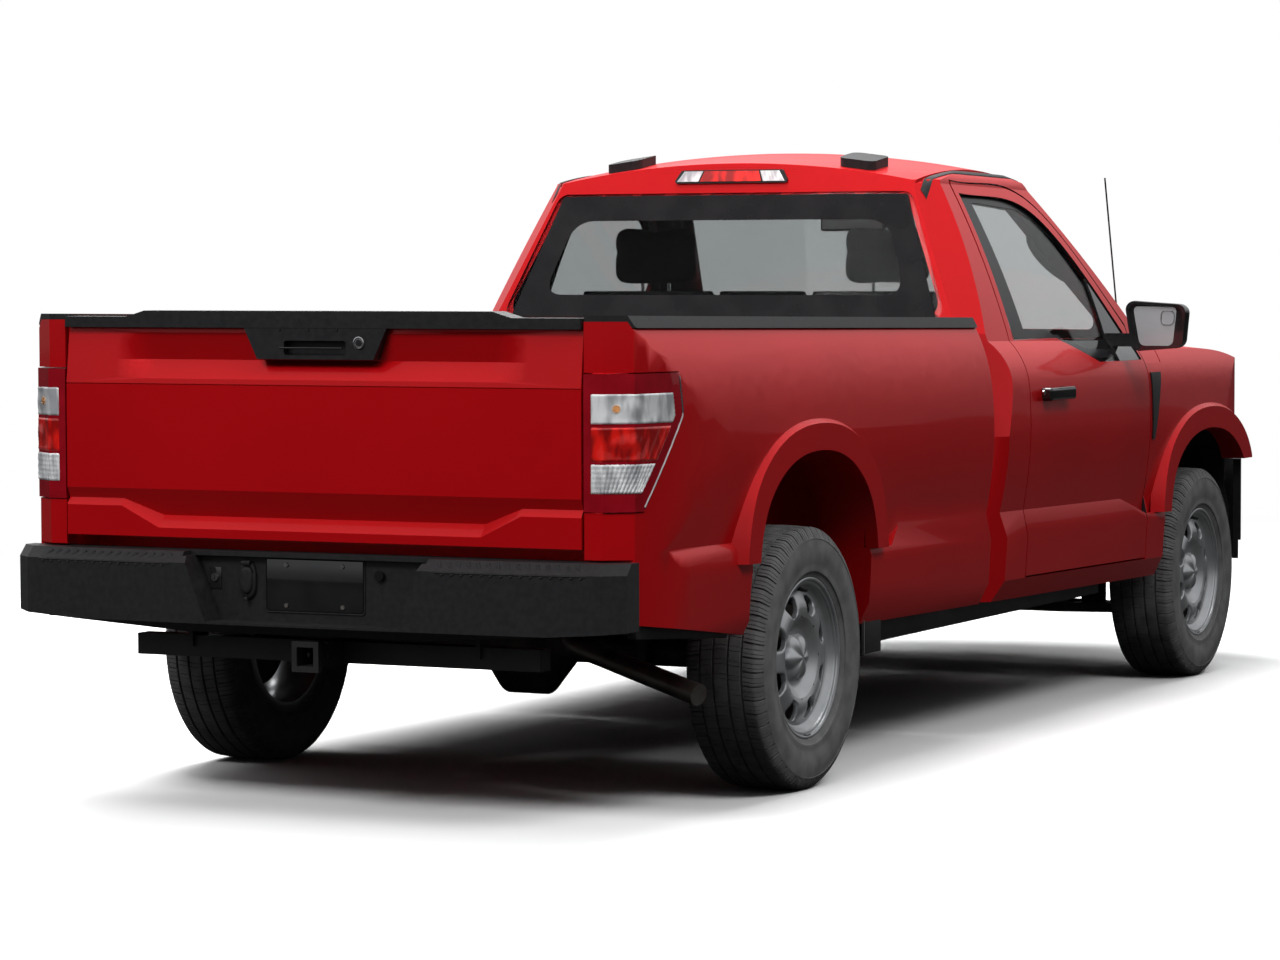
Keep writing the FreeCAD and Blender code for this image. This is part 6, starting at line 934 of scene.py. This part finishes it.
def side_edge(z):
    """How far forward the lamp reaches on the vehicle's side at a height."""
    for (low, low_y), (high, high_y) in zip(LAMP_SIDE_EDGE[:-1], LAMP_SIDE_EDGE[1:]):
        if z <= high:
            return low_y + (high_y - low_y) * max(0.0, (z - low) / (high - low))
    return LAMP_SIDE_EDGE[-1][1]


def lamp_line(z, count, from_gap, to_gap):
    """Evenly spaced surface points round the lamp at one height, with their outward normals."""
    met = []
    for step in range(LAMP_RAYS):
        turn = math.radians(FIRST_TURN + LAMP_SWEEP * step / (LAMP_RAYS - 1))
        way = Vector((math.sin(turn), math.cos(turn), 0))
        found = hit("tail_lamps", Vector((*LAMP_CENTRE, z)) + way * 0.6, -way)
        if found and found[0].x > LAMP_INNER_X and found[0].y > side_edge(z) + to_gap:
            met.append(found)
    runs = [0.0]
    for (a, _), (b, _) in zip(met[:-1], met[1:]):
        runs.append(runs[-1] + (b - a).length)
    line = []
    for i in range(count):
        want = from_gap + (runs[-1] - from_gap) * i / (count - 1)
        j = max(1, next((k for k, run in enumerate(runs) if run >= want), len(runs) - 1))
        share = (want - runs[j - 1]) / max(1e-9, runs[j] - runs[j - 1])
        (a, a_out), (b, b_out) = met[j - 1], met[j]
        line.append((a.lerp(b, share), a_out.lerp(b_out, share).normalized()))
    return line


def ripple(form, share, up):
    """How far a block stands out: flutes stand upright, a bowl has a round dome and fine flutes."""
    if form == "flute":
        fine = 0.0006 * math.sin(math.pi * up * 6) ** 2
        return 0.0008 + 0.0022 * abs(math.sin(math.pi * share * 15)) + fine
    far = math.hypot((share - 0.42) * 1.5, (up - 0.5) * 0.9)
    dome = math.cos(math.pi * min(1.0, far * 1.6)) ** 2
    return 0.0010 + 0.0016 * dome + 0.0006 * abs(math.sin(math.pi * share * 9))


def optic(low, high, form, columns=61, rows=25):
    """Rippled grid of a block, with its border sunk into the lamp."""
    points = []
    for row in range(rows):
        up = row / (rows - 1)
        for column, (at, out) in enumerate(lamp_line(low + (high - low) * up, columns, *LAMP_GAPS)):
            border = row in (0, rows - 1) or column in (0, columns - 1)
            lift = -0.001 if border else ripple(form, column / (columns - 1), up)
            points.append(at + out * lift)
    return grid_over(columns, rows, points)


for name, low, high, colour, form in LAMP_BLOCKS:
    pair_of(name, *optic(low, high, form), "body", "optic_" + colour, 60)
outer_side = [lamp_line(0.874 + 0.345 * row / 39, 2, 0.010, 0.0055)[-1] for row in range(40)]
edge = bead([at + out * 0.0002 for at, out in outer_side], 0.0026)
pair_of("lamp_bright_edge", *edge, "body", "bright_steel")
centre, out = lamp_line(1.137, 21, *LAMP_GAPS)[5]
bulb = rod_between(centre - out * 0.001, centre + out * 0.004, 0.010, 24)
pair_of("reversing_bulb", *bulb, "body", "amber_glass")
print("tail lamp blocks:", len(LAMP_BLOCKS))

# %% [markdown]
# ## Roof lamp
# The high brake lamp sits in the roof's rear edge: a red middle between two clear cargo lamps.

# %% High brake lamp
ROOF_LAMP_GRID = (25, 9)
ROOF_LAMPS = [
    ("roof_lamp_red", -0.112, 0.112, "optic_red"),
    ("roof_lamp_clear_left", 0.118, 0.196, "optic_clear"),
    ("roof_lamp_clear_right", -0.196, -0.118, "optic_clear"),
]


def roof_lamp(left, right):
    """Fluted grid on the roof's rear pod, narrower towards its top."""
    columns, rows = ROOF_LAMP_GRID
    points = []
    for row in range(rows):
        up = row / (rows - 1)
        starts = []
        for column in range(columns):
            x = left + (right - left) * column / (columns - 1)
            starts.append((x * (1 - 0.12 * up), 0.6, 1.7895 + 0.0345 * up))
        line = laid("outer_trim", starts, FORWARD, 0.0015)
        for column in range(1, columns - 1):
            if line[column] is not None:
                line[column] += Vector((0, 0.0014 * abs(math.sin(column * math.pi / 4)), 0))
        points += line
    return grid_over(columns, rows, points)


for name, left, right, finish in ROOF_LAMPS:
    piece(name, *roof_lamp(left, right), "body", finish, 60)
print("roof lamps:", len(ROOF_LAMPS))

# %% [markdown]
# ## Glass borders
# Fixed glass has a black band baked on round its edge, which hides the glue and the frame
# behind. The doors' glass shows a black frame the same way. Each band is extruded from the
# glass's outline to a smaller, rounded outline, both laid on the glass.

# %% Black bands round the glass
LEAST_BEND = 0.35
CUT_SHARE = 0.45
BAND_ROUNDS = 5
BAND_LIFT = 0.0008
REAR_GLASS = [(-0.628, 1.745), (0.628, 1.745), (0.776, 1.330), (-0.776, 1.330)]
SIDE_GLASS = [
    (-0.168, 1.742), (-0.320, 1.745), (-0.660, 1.727), (-0.780, 1.690), (-0.930, 1.600), (-1.120, 1.465),
    (-1.255, 1.345), (-1.262, 1.185), (-0.830, 1.190), (-0.690, 1.215), (-0.560, 1.240), (-0.500, 1.262),
    (-0.168, 1.268),
]


def ring_outline(corners, inset, radius, per_corner=10, per_side=14):
    """Closed line inside a polygon's corners, moved inward and rounded."""
    corners = [Vector(corner) for corner in corners]
    count = len(corners)
    middle = sum(corners, Vector((0, 0))) / count
    moved = []
    for i, at in enumerate(corners):
        first = (at - corners[i - 1]).normalized()
        second = (corners[(i + 1) % count] - at).normalized()
        inward = [Vector((-way.y, way.x)) for way in (first, second)]
        if inward[0].dot(middle - at) < 0:
            inward = [-way for way in inward]
        moved.append(at + (inward[0] + inward[1]) * inset / max(LEAST_BEND, 1 + first.dot(second)))
    bends = []
    for i, at in enumerate(moved):
        before, after = moved[i - 1], moved[(i + 1) % count]
        cut = min(radius, (at - before).length * CUT_SHARE, (after - at).length * CUT_SHARE)
        start = at + (before - at).normalized() * cut
        end = at + (after - at).normalized() * cut
        shares = [step / per_corner for step in range(per_corner + 1)]
        bends.append([start.lerp(at, share).lerp(at.lerp(end, share), share) for share in shares])
    line = []
    for bend, following in zip(bends, bends[1:] + bends[:1]):
        line += bend + [bend[-1].lerp(following[0], step / per_side) for step in range(1, per_side)]
    return line


def band(node, corners, wide, radius, place, towards):
    """Ring laid on a piece; place turns the flat outline's two numbers into a ray's start."""
    outer = ring_outline(corners, 0.001, 0.012)
    inner = ring_outline(corners, wide, radius)
    lines = []
    for ring in range(BAND_ROUNDS):
        starts = [place(*a.lerp(b, ring / (BAND_ROUNDS - 1))) for a, b in zip(outer, inner)]
        lines.append(laid(node, starts, towards, BAND_LIFT))
    return lofted(lines)


rear_band = band("rear_window", REAR_GLASS, 0.084, 0.075, lambda x, z: (x, 0.8, z), FORWARD)
piece("rear_glass_band", *rear_band, "body", "glass_band", 60)
side_band = band("door_glass_left", SIDE_GLASS, 0.030, 0.030, lambda y, z: (BESIDE, y, z), INWARD)
pair_of("door_glass_band", *side_band, "door", "glass_band", 60)
print("bands:", len(rear_band[1]), len(side_band[1]))

# %% [markdown]
# ## Rear bumper
# The step bumper is one pressed black shell. Its top carries ribbed step pads, its middle is a
# recess for the number plate with a lamp, a trailer socket under an oval lid and the lock of
# the spare wheel's winch. The plate place stays bare.

# %% Bumper's step pads
STEP_RIBS = 15
RIB_PITCH = 0.029
RIB_SLANT = 0.022


def bar(start, end, wide, high, normal):
    """Low bar between two points standing on a surface with the given outward direction."""
    normal = normal.normalized()
    along = (end - start).normalized()
    side = along.cross(normal).normalized()
    points, faces = soft_box((0, -wide / 2, -0.001), ((end - start).length, wide / 2, high), 0.0012)
    return [start + along * px + side * py + normal * pz for px, py, pz in points], faces


ribs = []
for i in range(STEP_RIBS):
    x = 0.420 + i * RIB_PITCH
    top = from_behind("rear_bumper", x, 0.724)
    foot = from_behind("rear_bumper", x + RIB_SLANT, 0.690)
    if top and foot:
        ribs.append(bar(top[0], foot[0], 0.010, 0.0035, top[1] + foot[1]))
pair_of("step_ribs", *joined(*ribs), "body", "rubber_seal")
edge_line = [from_behind("rear_bumper", 0.42 + 0.44 * i / 24, 0.697)[0] for i in range(25)]
pair_of("step_edge", *bead(edge_line, 0.0022), "body", "black_plastic")
print("ribs:", len(ribs))


# %% Plate place with its rim, bolts and lamp
PLATE_BOLT_X = 0.089
RIM_CORNERS = [(-0.156, 0.567), (0.156, 0.567), (0.156, 0.717), (-0.156, 0.717)]
PLATE_LAMP_OUTLINE = [(0.0, 0.0), (0.0, 0.013), (0.006, 0.015), (0.012, 0.014), (0.012, 0.0)]


def studs(places, y, length, radius, steps=16):
    """Round studs that stand out to the rear."""
    return joined(*(rod_between((x, y, z), (x, y + length, z), radius, steps) for x, z in places))


def facing_rear(shape, x, y, z):
    """A spun shape turned to face the rear, with its foot at a point."""
    return [(x + py, y + px, z + pz) for px, py, pz in shape[0]], shape[1]


plate_y = from_behind("rear_bumper", 0.0, 0.64)[0].y
plate = soft_box((-0.152, plate_y - 0.001, 0.571), (0.152, plate_y + 0.0035, 0.713), 0.0016)
piece("plate_place", *plate, "body", "gloss_black")
rim_line = [(x, plate_y + 0.0015, z) for x, z in ring_outline(RIM_CORNERS, 0.0, 0.010)]
piece("plate_rim", *bead(rim_line, 0.0022, closed=True), "body", "black_plastic")
bolts = studs([(-PLATE_BOLT_X, 0.698), (PLATE_BOLT_X, 0.698)], plate_y + 0.002, 0.006, 0.0062)
piece("plate_bolts", *bolts, "body", "bright_steel")
dull = studs([(-PLATE_BOLT_X, 0.586), (PLATE_BOLT_X, 0.586)], plate_y + 0.002, 0.005, 0.006)
piece("plate_lower_bolts", *dull, "body", "pipe_steel")
lamp = facing_rear(spun(PLATE_LAMP_OUTLINE, 24, False), -0.205, plate_y, 0.676)
pair_of("plate_lamp", *lamp, "body", "gloss_black")
print("recess wall at", round(plate_y, 4))


# %% Trailer socket and winch lock
SOCKET_X, SOCKET_Z = 0.212, 0.652
UP = Vector((0, 0, 1))


def oval_lid(wide, high, deep, rings=7, steps=48):
    """Crowned oval lid standing on the recess wall."""
    lines = []
    for ring in range(rings):
        share = ring / (rings - 1)
        grow = 1 - 0.35 * share ** 3
        y = plate_y - 0.001 + deep * math.sin(math.pi / 2 * share)
        line = []
        for step in range(steps):
            across, up = rounded_square(math.tau * step / steps, 0.8)
            line.append((SOCKET_X + wide / 2 * grow * across, y, SOCKET_Z + high / 2 * grow * up))
        lines.append(line)
    return lofted(lines, last_cap=True)


socket = joined(
    oval_lid(0.056, 0.106, 0.012),
    oval_lid(0.040, 0.080, 0.019),
    soft_box((0.198, plate_y + 0.006, 0.694), (0.226, plate_y + 0.020, 0.706), 0.003),
    soft_box((0.206, plate_y + 0.010, 0.594), (0.218, plate_y + 0.020, 0.606), 0.003),
)
piece("trailer_socket_lid", *socket, "body", "black_plastic")
lock_at, lock_out = from_behind("rear_bumper", 0.318, 0.655)
lock_side = UP.cross(lock_out).normalized()


def on_slope(a, b, out):
    """Point on the recess's sloping side, where the winch lock sits."""
    return lock_at + lock_side * a + UP * b + lock_out * out


well, well_faces = soft_box((-0.020, -0.030, 0), (0.020, 0.030, 0.003), 0.0012)
piece("lock_plate", [on_slope(*point) for point in well], well_faces, "body", "gloss_black")
barrel = rod_between(on_slope(0.0, 0.002, 0.002), on_slope(0.0, 0.002, 0.008), 0.011, 24)
piece("lock_barrel", *barrel, "body", "bright_steel")
keyhole, keyhole_faces = soft_box((-0.0015, -0.006, 0.0075), (0.0015, 0.010, 0.0088), 0.0004)
piece("lock_slot", [on_slope(*point) for point in keyhole], keyhole_faces, "body", "rubber_seal")
print("winch lock at", tuple(round(value, 3) for value in lock_at))

# %% [markdown]
# ## Tailgate details
# The black bezel holds the pull handle, a round lock and small buttons.

# %% Handle lip, lock and buttons
LOCK_RING_OUTLINE = [(0.0, 0.018), (0.005, 0.017), (0.006, 0.0145), (0.003, 0.013), (0.003, 0.009)]
x, y, z = from_behind("tailgate_trim", -0.140, 1.307)[0]
lock_ring = facing_rear(spun(LOCK_RING_OUTLINE, 32, False), x, y - 0.001, z)
piece("gate_lock_ring", *lock_ring, "tailgate", "bright_steel")
piece("gate_lock_face", *studs([(x, z)], y - 0.001, 0.005, 0.009, 24), "tailgate", "gloss_black")
pull = soft_box((-0.086, y - 0.004, 1.289), (0.112, y + 0.002, 1.2945), 0.002)
piece("gate_pull_lip", *pull, "tailgate", "gloss_black")
buttons = studs([(-0.07, 1.342), (0.02, 1.342), (0.11, 1.342)], y - 0.001, 0.0035, 0.0035)
piece("gate_buttons", *buttons, "tailgate", "gloss_black")
print("gate lock at", round(x, 3), round(y, 3), round(z, 3))

# %% [markdown]
# ## Doors and mirrors
# The mirror's glass sits in its black housing, with a small wide-angle spot marked out on it.
# The door handle has a round lock. The glass is flat, so it is a disc of rings round its
# middle, set just proud of the housing's floor that the rays find.

# %% Mirror glass and door lock
MIRROR_OUTLINE = [(1.044, 1.226), (1.170, 1.226), (1.186, 1.368), (1.018, 1.370)]
SPOT_OUTLINE = [(1.122, 1.300), (1.172, 1.300), (1.176, 1.352), (1.124, 1.354)]
MIRROR_RINGS = 9
inner = ring_outline(MIRROR_OUTLINE, 0.004, 0.022)
middle = sum(inner, Vector((0, 0))) / len(inner)
rings = [[middle.lerp(at, ring / (MIRROR_RINGS - 1)) for at in inner] for ring in range(MIRROR_RINGS)]
found = [hit("door_fittings_left", (at.x, 0.2, at.y), FORWARD) for ring in rings for at in ring]
found = [met[0].y for met in found if met and met[0].y < -0.8]
glass_y = max(found) + 0.001
glass = lofted([[(at.x, glass_y, at.y) for at in ring] for ring in rings])
pair_of("mirror_glass", *glass, "door", "mirror_glass")
spot = [(x, glass_y + 0.0012, z) for x, z in ring_outline(SPOT_OUTLINE, 0.002, 0.018)]
pair_of("mirror_spot", *bead(spot, 0.0009, closed=True), "door", "gloss_black")
lock_dot = rod_between((1.0165, -0.158, 1.094), (1.0215, -0.158, 1.094), 0.0075, 20)
pair_of("door_lock", *lock_dot, "door", "bright_steel")
print("mirror glass at y", round(glass_y, 3), "from", len(found), "hits")

# %% [markdown]
# ## Seats
# Three seats with cloth over foam: each has a cushion, a leaning backrest and, on the outer
# two, a headrest on steel posts. Foam under cloth bulges between its seams, so each pad starts
# as a soft box, is remeshed evenly, and is then blown up a little by the cloth simulation with
# how far a point may move capped. Sewn channels are pressed in afterwards.

# %% Padded seats
PAD_VOXEL = 0.013
PAD_CAP = 0.012
CLOTH_FRAMES = 20
CLOTH_PRESSURE = 4.0
CHANNEL_DEPTH = 0.006
CHANNEL_WIDTH = 0.010
CHANNEL_SHARE = 0.55
SEAT_BACK_LEAN = 110 / 620
LEAN_FROM = 0.850
SEATS = [("left", 0.430, 0.250), ("right", -0.430, 0.250), ("middle", 0.0, 0.163)]


def pad_shape(name, low, high, round_off, lean=False):
    """A soft box, remeshed evenly; a backrest leans about its foot."""
    points, faces = soft_box(low, high, round_off, 3)
    if lean:
        points = [(x, y + (z - LEAN_FROM) * SEAT_BACK_LEAN, z) for x, y, z in points]
    made = piece(name, points, faces, "body", "seat_cloth", 60)
    remesh = made.modifiers.new("even", "REMESH")
    remesh.mode = "VOXEL"
    remesh.voxel_size = PAD_VOXEL
    apply_all(made)
    return made


def apply_all(made):
    """Replace a piece's mesh by what its modifiers make of it."""
    graph = bpy.context.evaluated_depsgraph_get()
    graph.update()
    shaped = bpy.data.meshes.new_from_object(made.evaluated_get(graph))
    made.modifiers.clear()
    made.data = shaped
    for face in shaped.polygons:
        face.use_smooth = True


def press(made, channels):
    """Sewn channels: points near a seam plane sink along their normal."""
    mesh = made.data
    normals = [corner.normal.copy() for corner in mesh.vertices]
    for corner, normal in zip(mesh.vertices, normals):
        sink = 0.0
        for axis, at in channels:
            away = (corner.co[axis] - at) / CHANNEL_WIDTH
            sink = max(sink, math.exp(-away * away))
        corner.co -= normal * CHANNEL_DEPTH * sink


pads = []
for side, x, half in SEATS:
    wide = half - 0.008
    seams = [(0, x - wide * CHANNEL_SHARE), (0, x + wide * CHANNEL_SHARE)]
    cushion = pad_shape("cushion_" + side, (x - wide, -0.848, 0.700), (x + wide, -0.375, 0.838), 0.045)
    back = pad_shape("backrest_" + side, (x - wide, -0.392, 0.835), (x + wide, -0.300, 1.432), 0.040, True)
    pads += [(cushion, seams + [(1, -0.56)]), (back, seams + [(2, 1.30)])]
    if side != "middle":
        rest = pad_shape("headrest_" + side, (x - 0.150, -0.288, 1.447), (x + 0.150, -0.204, 1.640), 0.042)
        pads += [(rest, [(2, 1.555)])]

# %% Blow the pads up and sew them
starts = {}
for made, _ in pads:
    starts[made.name] = [corner.co.copy() for corner in made.data.vertices]
    cloth = made.modifiers.new("cloth", "CLOTH")
    cloth.settings.use_pressure = True
    cloth.settings.uniform_pressure_force = CLOTH_PRESSURE
    cloth.settings.effector_weights.gravity = 0.0
    cloth.settings.quality = 4
    cloth.point_cache.frame_end = CLOTH_FRAMES
for step in range(1, CLOTH_FRAMES + 1):
    bpy.context.scene.frame_set(step)
for made, _ in pads:
    apply_all(made)
    for corner, start in zip(made.data.vertices, starts[made.name]):
        move = corner.co - start
        if move.length > PAD_CAP:
            corner.co = start + move.normalized() * PAD_CAP
bpy.context.scene.frame_set(1)
for made, channels in pads:
    press(made, channels)
    give_finish(made, "seat_cloth")
    smooth = made.modifiers.new("smooth", "SUBSURF")
    smooth.levels = smooth.render_levels = 1
    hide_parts("seats")
print("pads:", len(pads), "points:", sum(len(made.data.vertices) for made, _ in pads))

# %% Seat shells and headrest posts
frames = []
for side, x, half in SEATS:
    wide = half - 0.03
    frames.append(soft_box((x - wide, -0.83, 0.600), (x + wide, -0.33, 0.700), 0.008))
    points, faces = soft_box((x - half + 0.004, -0.296, 0.70), (x + half - 0.004, -0.272, 1.424), 0.010)
    turned = [(px, py + max(0.0, pz - LEAN_FROM) * SEAT_BACK_LEAN, pz) for px, py, pz in points]
    frames.append((turned, faces))
posts = [rod_between((x, -0.248, 1.40), (x, -0.243, 1.50), 0.006) for x in (0.38, 0.48, -0.48, -0.38)]
piece("seat_shells", *joined(*frames), "body", "cabin_plastic")
piece("headrest_posts", *joined(*posts), "body", "bright_steel")
print("seat frames:", len(frames), "posts:", len(posts))

# %% [markdown]
# ## Lining of the cab
# Inside, the painted shell is covered by dark mouldings. The CAD pieces are as thick as the
# whole wall, so their inward faces stand for those mouldings and take the cabin's plastic,
# while the outward faces keep the paint. The windshield posts get their own padded covers with
# a grab handle on each.

# %% Dark inward faces
CABIN_CENTRE = Vector((0, -0.62, 1.25))
CABIN_LOW = Vector((-0.97, -1.50, 0.58))
CABIN_HIGH = Vector((0.97, 0.20, 1.86))
LEAST_FACING = 0.06


def line_inside(node):
    """Give the faces that look into the cab the cabin's plastic."""
    data = frame["nodes"][node].data
    data.materials.append(FINISH["cabin_plastic"])
    turned = 0
    for face in data.polygons:
        at = face.center
        inside = all(CABIN_LOW[i] < at[i] < CABIN_HIGH[i] for i in range(3))
        if inside and face.normal.dot((CABIN_CENTRE - at).normalized()) > LEAST_FACING:
            face.material_index = 1
            turned += 1
    return turned


LINED = ("cab_shell", "roof", "door_left", "door_right")
print("lined faces:", {node: line_inside(node) for node in LINED})


# %% Post covers and grab handles
POST_LEAN = 1.223
POST_SPREAD = 0.421
COVER_BOW = 0.045
HANDLE_BOW = 0.062


def post_point(z, inward=0.0):
    """Middle line of a windshield post's cover at a height."""
    return Vector((0.660 + (1.734 - z) * POST_SPREAD - inward, -0.783 - (1.799 - z) * POST_LEAN, z))


shares = [step / 12 for step in range(13)]
cover = joined(
    bead([post_point(1.30 + 0.445 * share) for share in shares], 0.030, 14),
    bead([post_point(1.30 + 0.445 * share, COVER_BOW) for share in shares], 0.026, 14),
)
pair_of("post_cover", *cover, "body", "cabin_plastic")
grip = []
for share in shares:
    bow = HANDLE_BOW * math.sin(math.pi * share) ** 0.5
    grip.append(post_point(1.45 + 0.17 * share, COVER_BOW) + Vector((-0.5, 0.87, 0)) * bow)
pair_of("grab_handle", *bead(grip, 0.013, 12), "body", "cabin_plastic")
print("post cover faces:", len(cover[1]))

# %% [markdown]
# ## Dashboard and inner mirror
# Through the glass one sees the dashboard's upper edge, the middle screen, the vents and the
# inner mirror on its stalk. The screen stays dark and blank.

# %% Cabin details
VENT_PLACES = (-0.62, -0.20, 0.205, 0.66)


def vent(x, z, wide, high, y, count=5):
    """A back plate with level slats standing on it."""
    half = wide / 2
    parts = [soft_box((x - half, y - 0.004, z - high / 2), (x + half, y + 0.002, z + high / 2), 0.003)]
    slat = half - 0.006
    for i in range(count):
        at = z - high / 2 + high * (i + 0.5) / count
        parts.append(soft_box((x - slat, y, at - 0.002), (x + slat, y + 0.006, at + 0.002), 0.001))
    return joined(*parts)


dash_rear = hit("dashboard", (0.0, 0.0, 1.08), FORWARD)[0].y
screen = soft_box((-0.115, dash_rear - 0.004, 1.00), (0.115, dash_rear + 0.010, 1.12), 0.006)
piece("dash_screen", *screen, "body", "gloss_black")
vents = joined(*(vent(x, 1.125, 0.13, 0.055, dash_rear) for x in VENT_PLACES))
piece("dash_vents", *vents, "body", "cabin_plastic")
mirror_body = soft_box((-0.125, -0.985, 1.630), (0.125, -0.957, 1.695), 0.012, 3)
stalk = rod_between((0.0, -0.975, 1.690), (0.0, -1.010, 1.722), 0.010)
piece("inner_mirror", *joined(mirror_body, stalk), "body", "cabin_plastic")
face = soft_box((-0.115, -0.958, 1.637), (0.115, -0.9555, 1.688), 0.001)
piece("inner_mirror_glass", *face, "body", "mirror_glass")
visors = [soft_box((x - 0.20, -0.905, 1.726), (x + 0.20, -0.745, 1.742), 0.007) for x in (-0.38, 0.38)]
piece("sun_visors", *joined(*visors), "body", "cabin_plastic")
print("dash face at y", round(dash_rear, 3))

# %% [markdown]
# ## Roof strips and window posts
# Black strips cover the weld ditches on both sides of the roof: each is a long grid whose rows
# are a low profile, laid on the roof. A black band on the rear edge of the side glass hides the
# belt pillar and the glass's guide behind it, and is a grid laid on the glass.

# %% Roof strips and post covers
STRIP_PROFILE = [(0.663, -0.002), (0.664, 0.003), (0.674, 0.0045), (0.684, 0.003), (0.685, -0.002)]
STRIP_ROWS = 30
POST_GRID = (8, 24)
POST_LOW = (Vector((BESIDE, -0.170, 1.272)), Vector((BESIDE, -0.285, 1.272)))
POST_HIGH = (Vector((BESIDE, -0.170, 1.738)), Vector((BESIDE, -0.262, 1.742)))


def top_of(x, y):
    """Highest painted point over a place."""
    found = [hit(node, (x, y, 2.6), DOWN) for node in ("cab_shell", "roof")]
    return max((met[0] for met in found if met), key=lambda at: at.z)


points = []
for row in range(STRIP_ROWS):
    y = 0.040 - 0.84 * row / (STRIP_ROWS - 1)
    points += [top_of(x, y) + Vector((0, 0, lift)) for x, lift in STRIP_PROFILE]
strip = grid_over(len(STRIP_PROFILE), STRIP_ROWS, points)
pair_of("roof_strip", *strip, "body", "black_plastic")

columns, rows = POST_GRID
starts = []
for row in range(rows):
    for column in range(columns):
        low, high = (edge[0].lerp(edge[1], column / (columns - 1)) for edge in (POST_LOW, POST_HIGH))
        starts.append(low.lerp(high, row / (rows - 1)))
post = grid_over(columns, rows, laid("door_glass_left", starts, INWARD, 0.0006))
pair_of("window_post", *post, "door", "glass_band", 60)
print("strip faces:", len(strip[1]), "post faces:", len(post[1]))

# %% [markdown]
# ## Under the body
# Seen from the side, a dark band of frame, brake lines and brackets shows below the sills, and
# a black strip closes the rear quarters down to the bumper. The mud guards stand ahead of the
# rear wheels. All are plain black pressings and mouldings.

# %% Sill band, brake lines, valance and mud guards
VALANCE_RISE = 0.075

rail = joined(
    soft_box((0.806, -1.24, 0.350), (0.826, 1.04, 0.428), 0.004),
    soft_box((0.770, -1.24, 0.350), (0.808, 1.04, 0.360), 0.003),
    *(soft_box((0.600, y, 0.360), (0.812, y + 0.05, 0.400), 0.004) for y in (-1.10, -0.45, 0.25, 0.90)),
)
pair_of("sill_band", *rail, "body", "frame_black")
upper = [(0.566, -1.15 + 2.1 * i / 30, 0.392 + 0.004 * math.sin(i * 1.3)) for i in range(31)]
lower = [(0.566, -1.15 + 2.1 * i / 30, 0.376 + 0.003 * math.cos(i * 1.1)) for i in range(31)]
pair_of("brake_lines", *joined(bead(upper, 0.005), bead(lower, 0.005)), "body", "pipe_steel")
points, faces = soft_box((0.905, 2.135, 0.478), (0.935, 2.715, 0.535), 0.006)
risen = [(x, y, z + (y - 2.135) * VALANCE_RISE) for x, y, z in points]
pair_of("rear_valance", risen, faces, "body", "black_plastic")
guard = joined(
    soft_box((0.800, 1.190, 0.346), (0.950, 1.208, 0.500), 0.004),
    soft_box((0.938, 1.060, 0.350), (0.950, 1.200, 0.490), 0.004),
)
pair_of("mud_guard", *guard, "body", "black_plastic")
guard_edge = bead([(0.9515, 1.197, z) for z in (0.352, 0.420, 0.488)], 0.002)
pair_of("mud_guard_edge", *guard_edge, "body", "bright_steel")
print("sill band faces:", len(rail[1]))
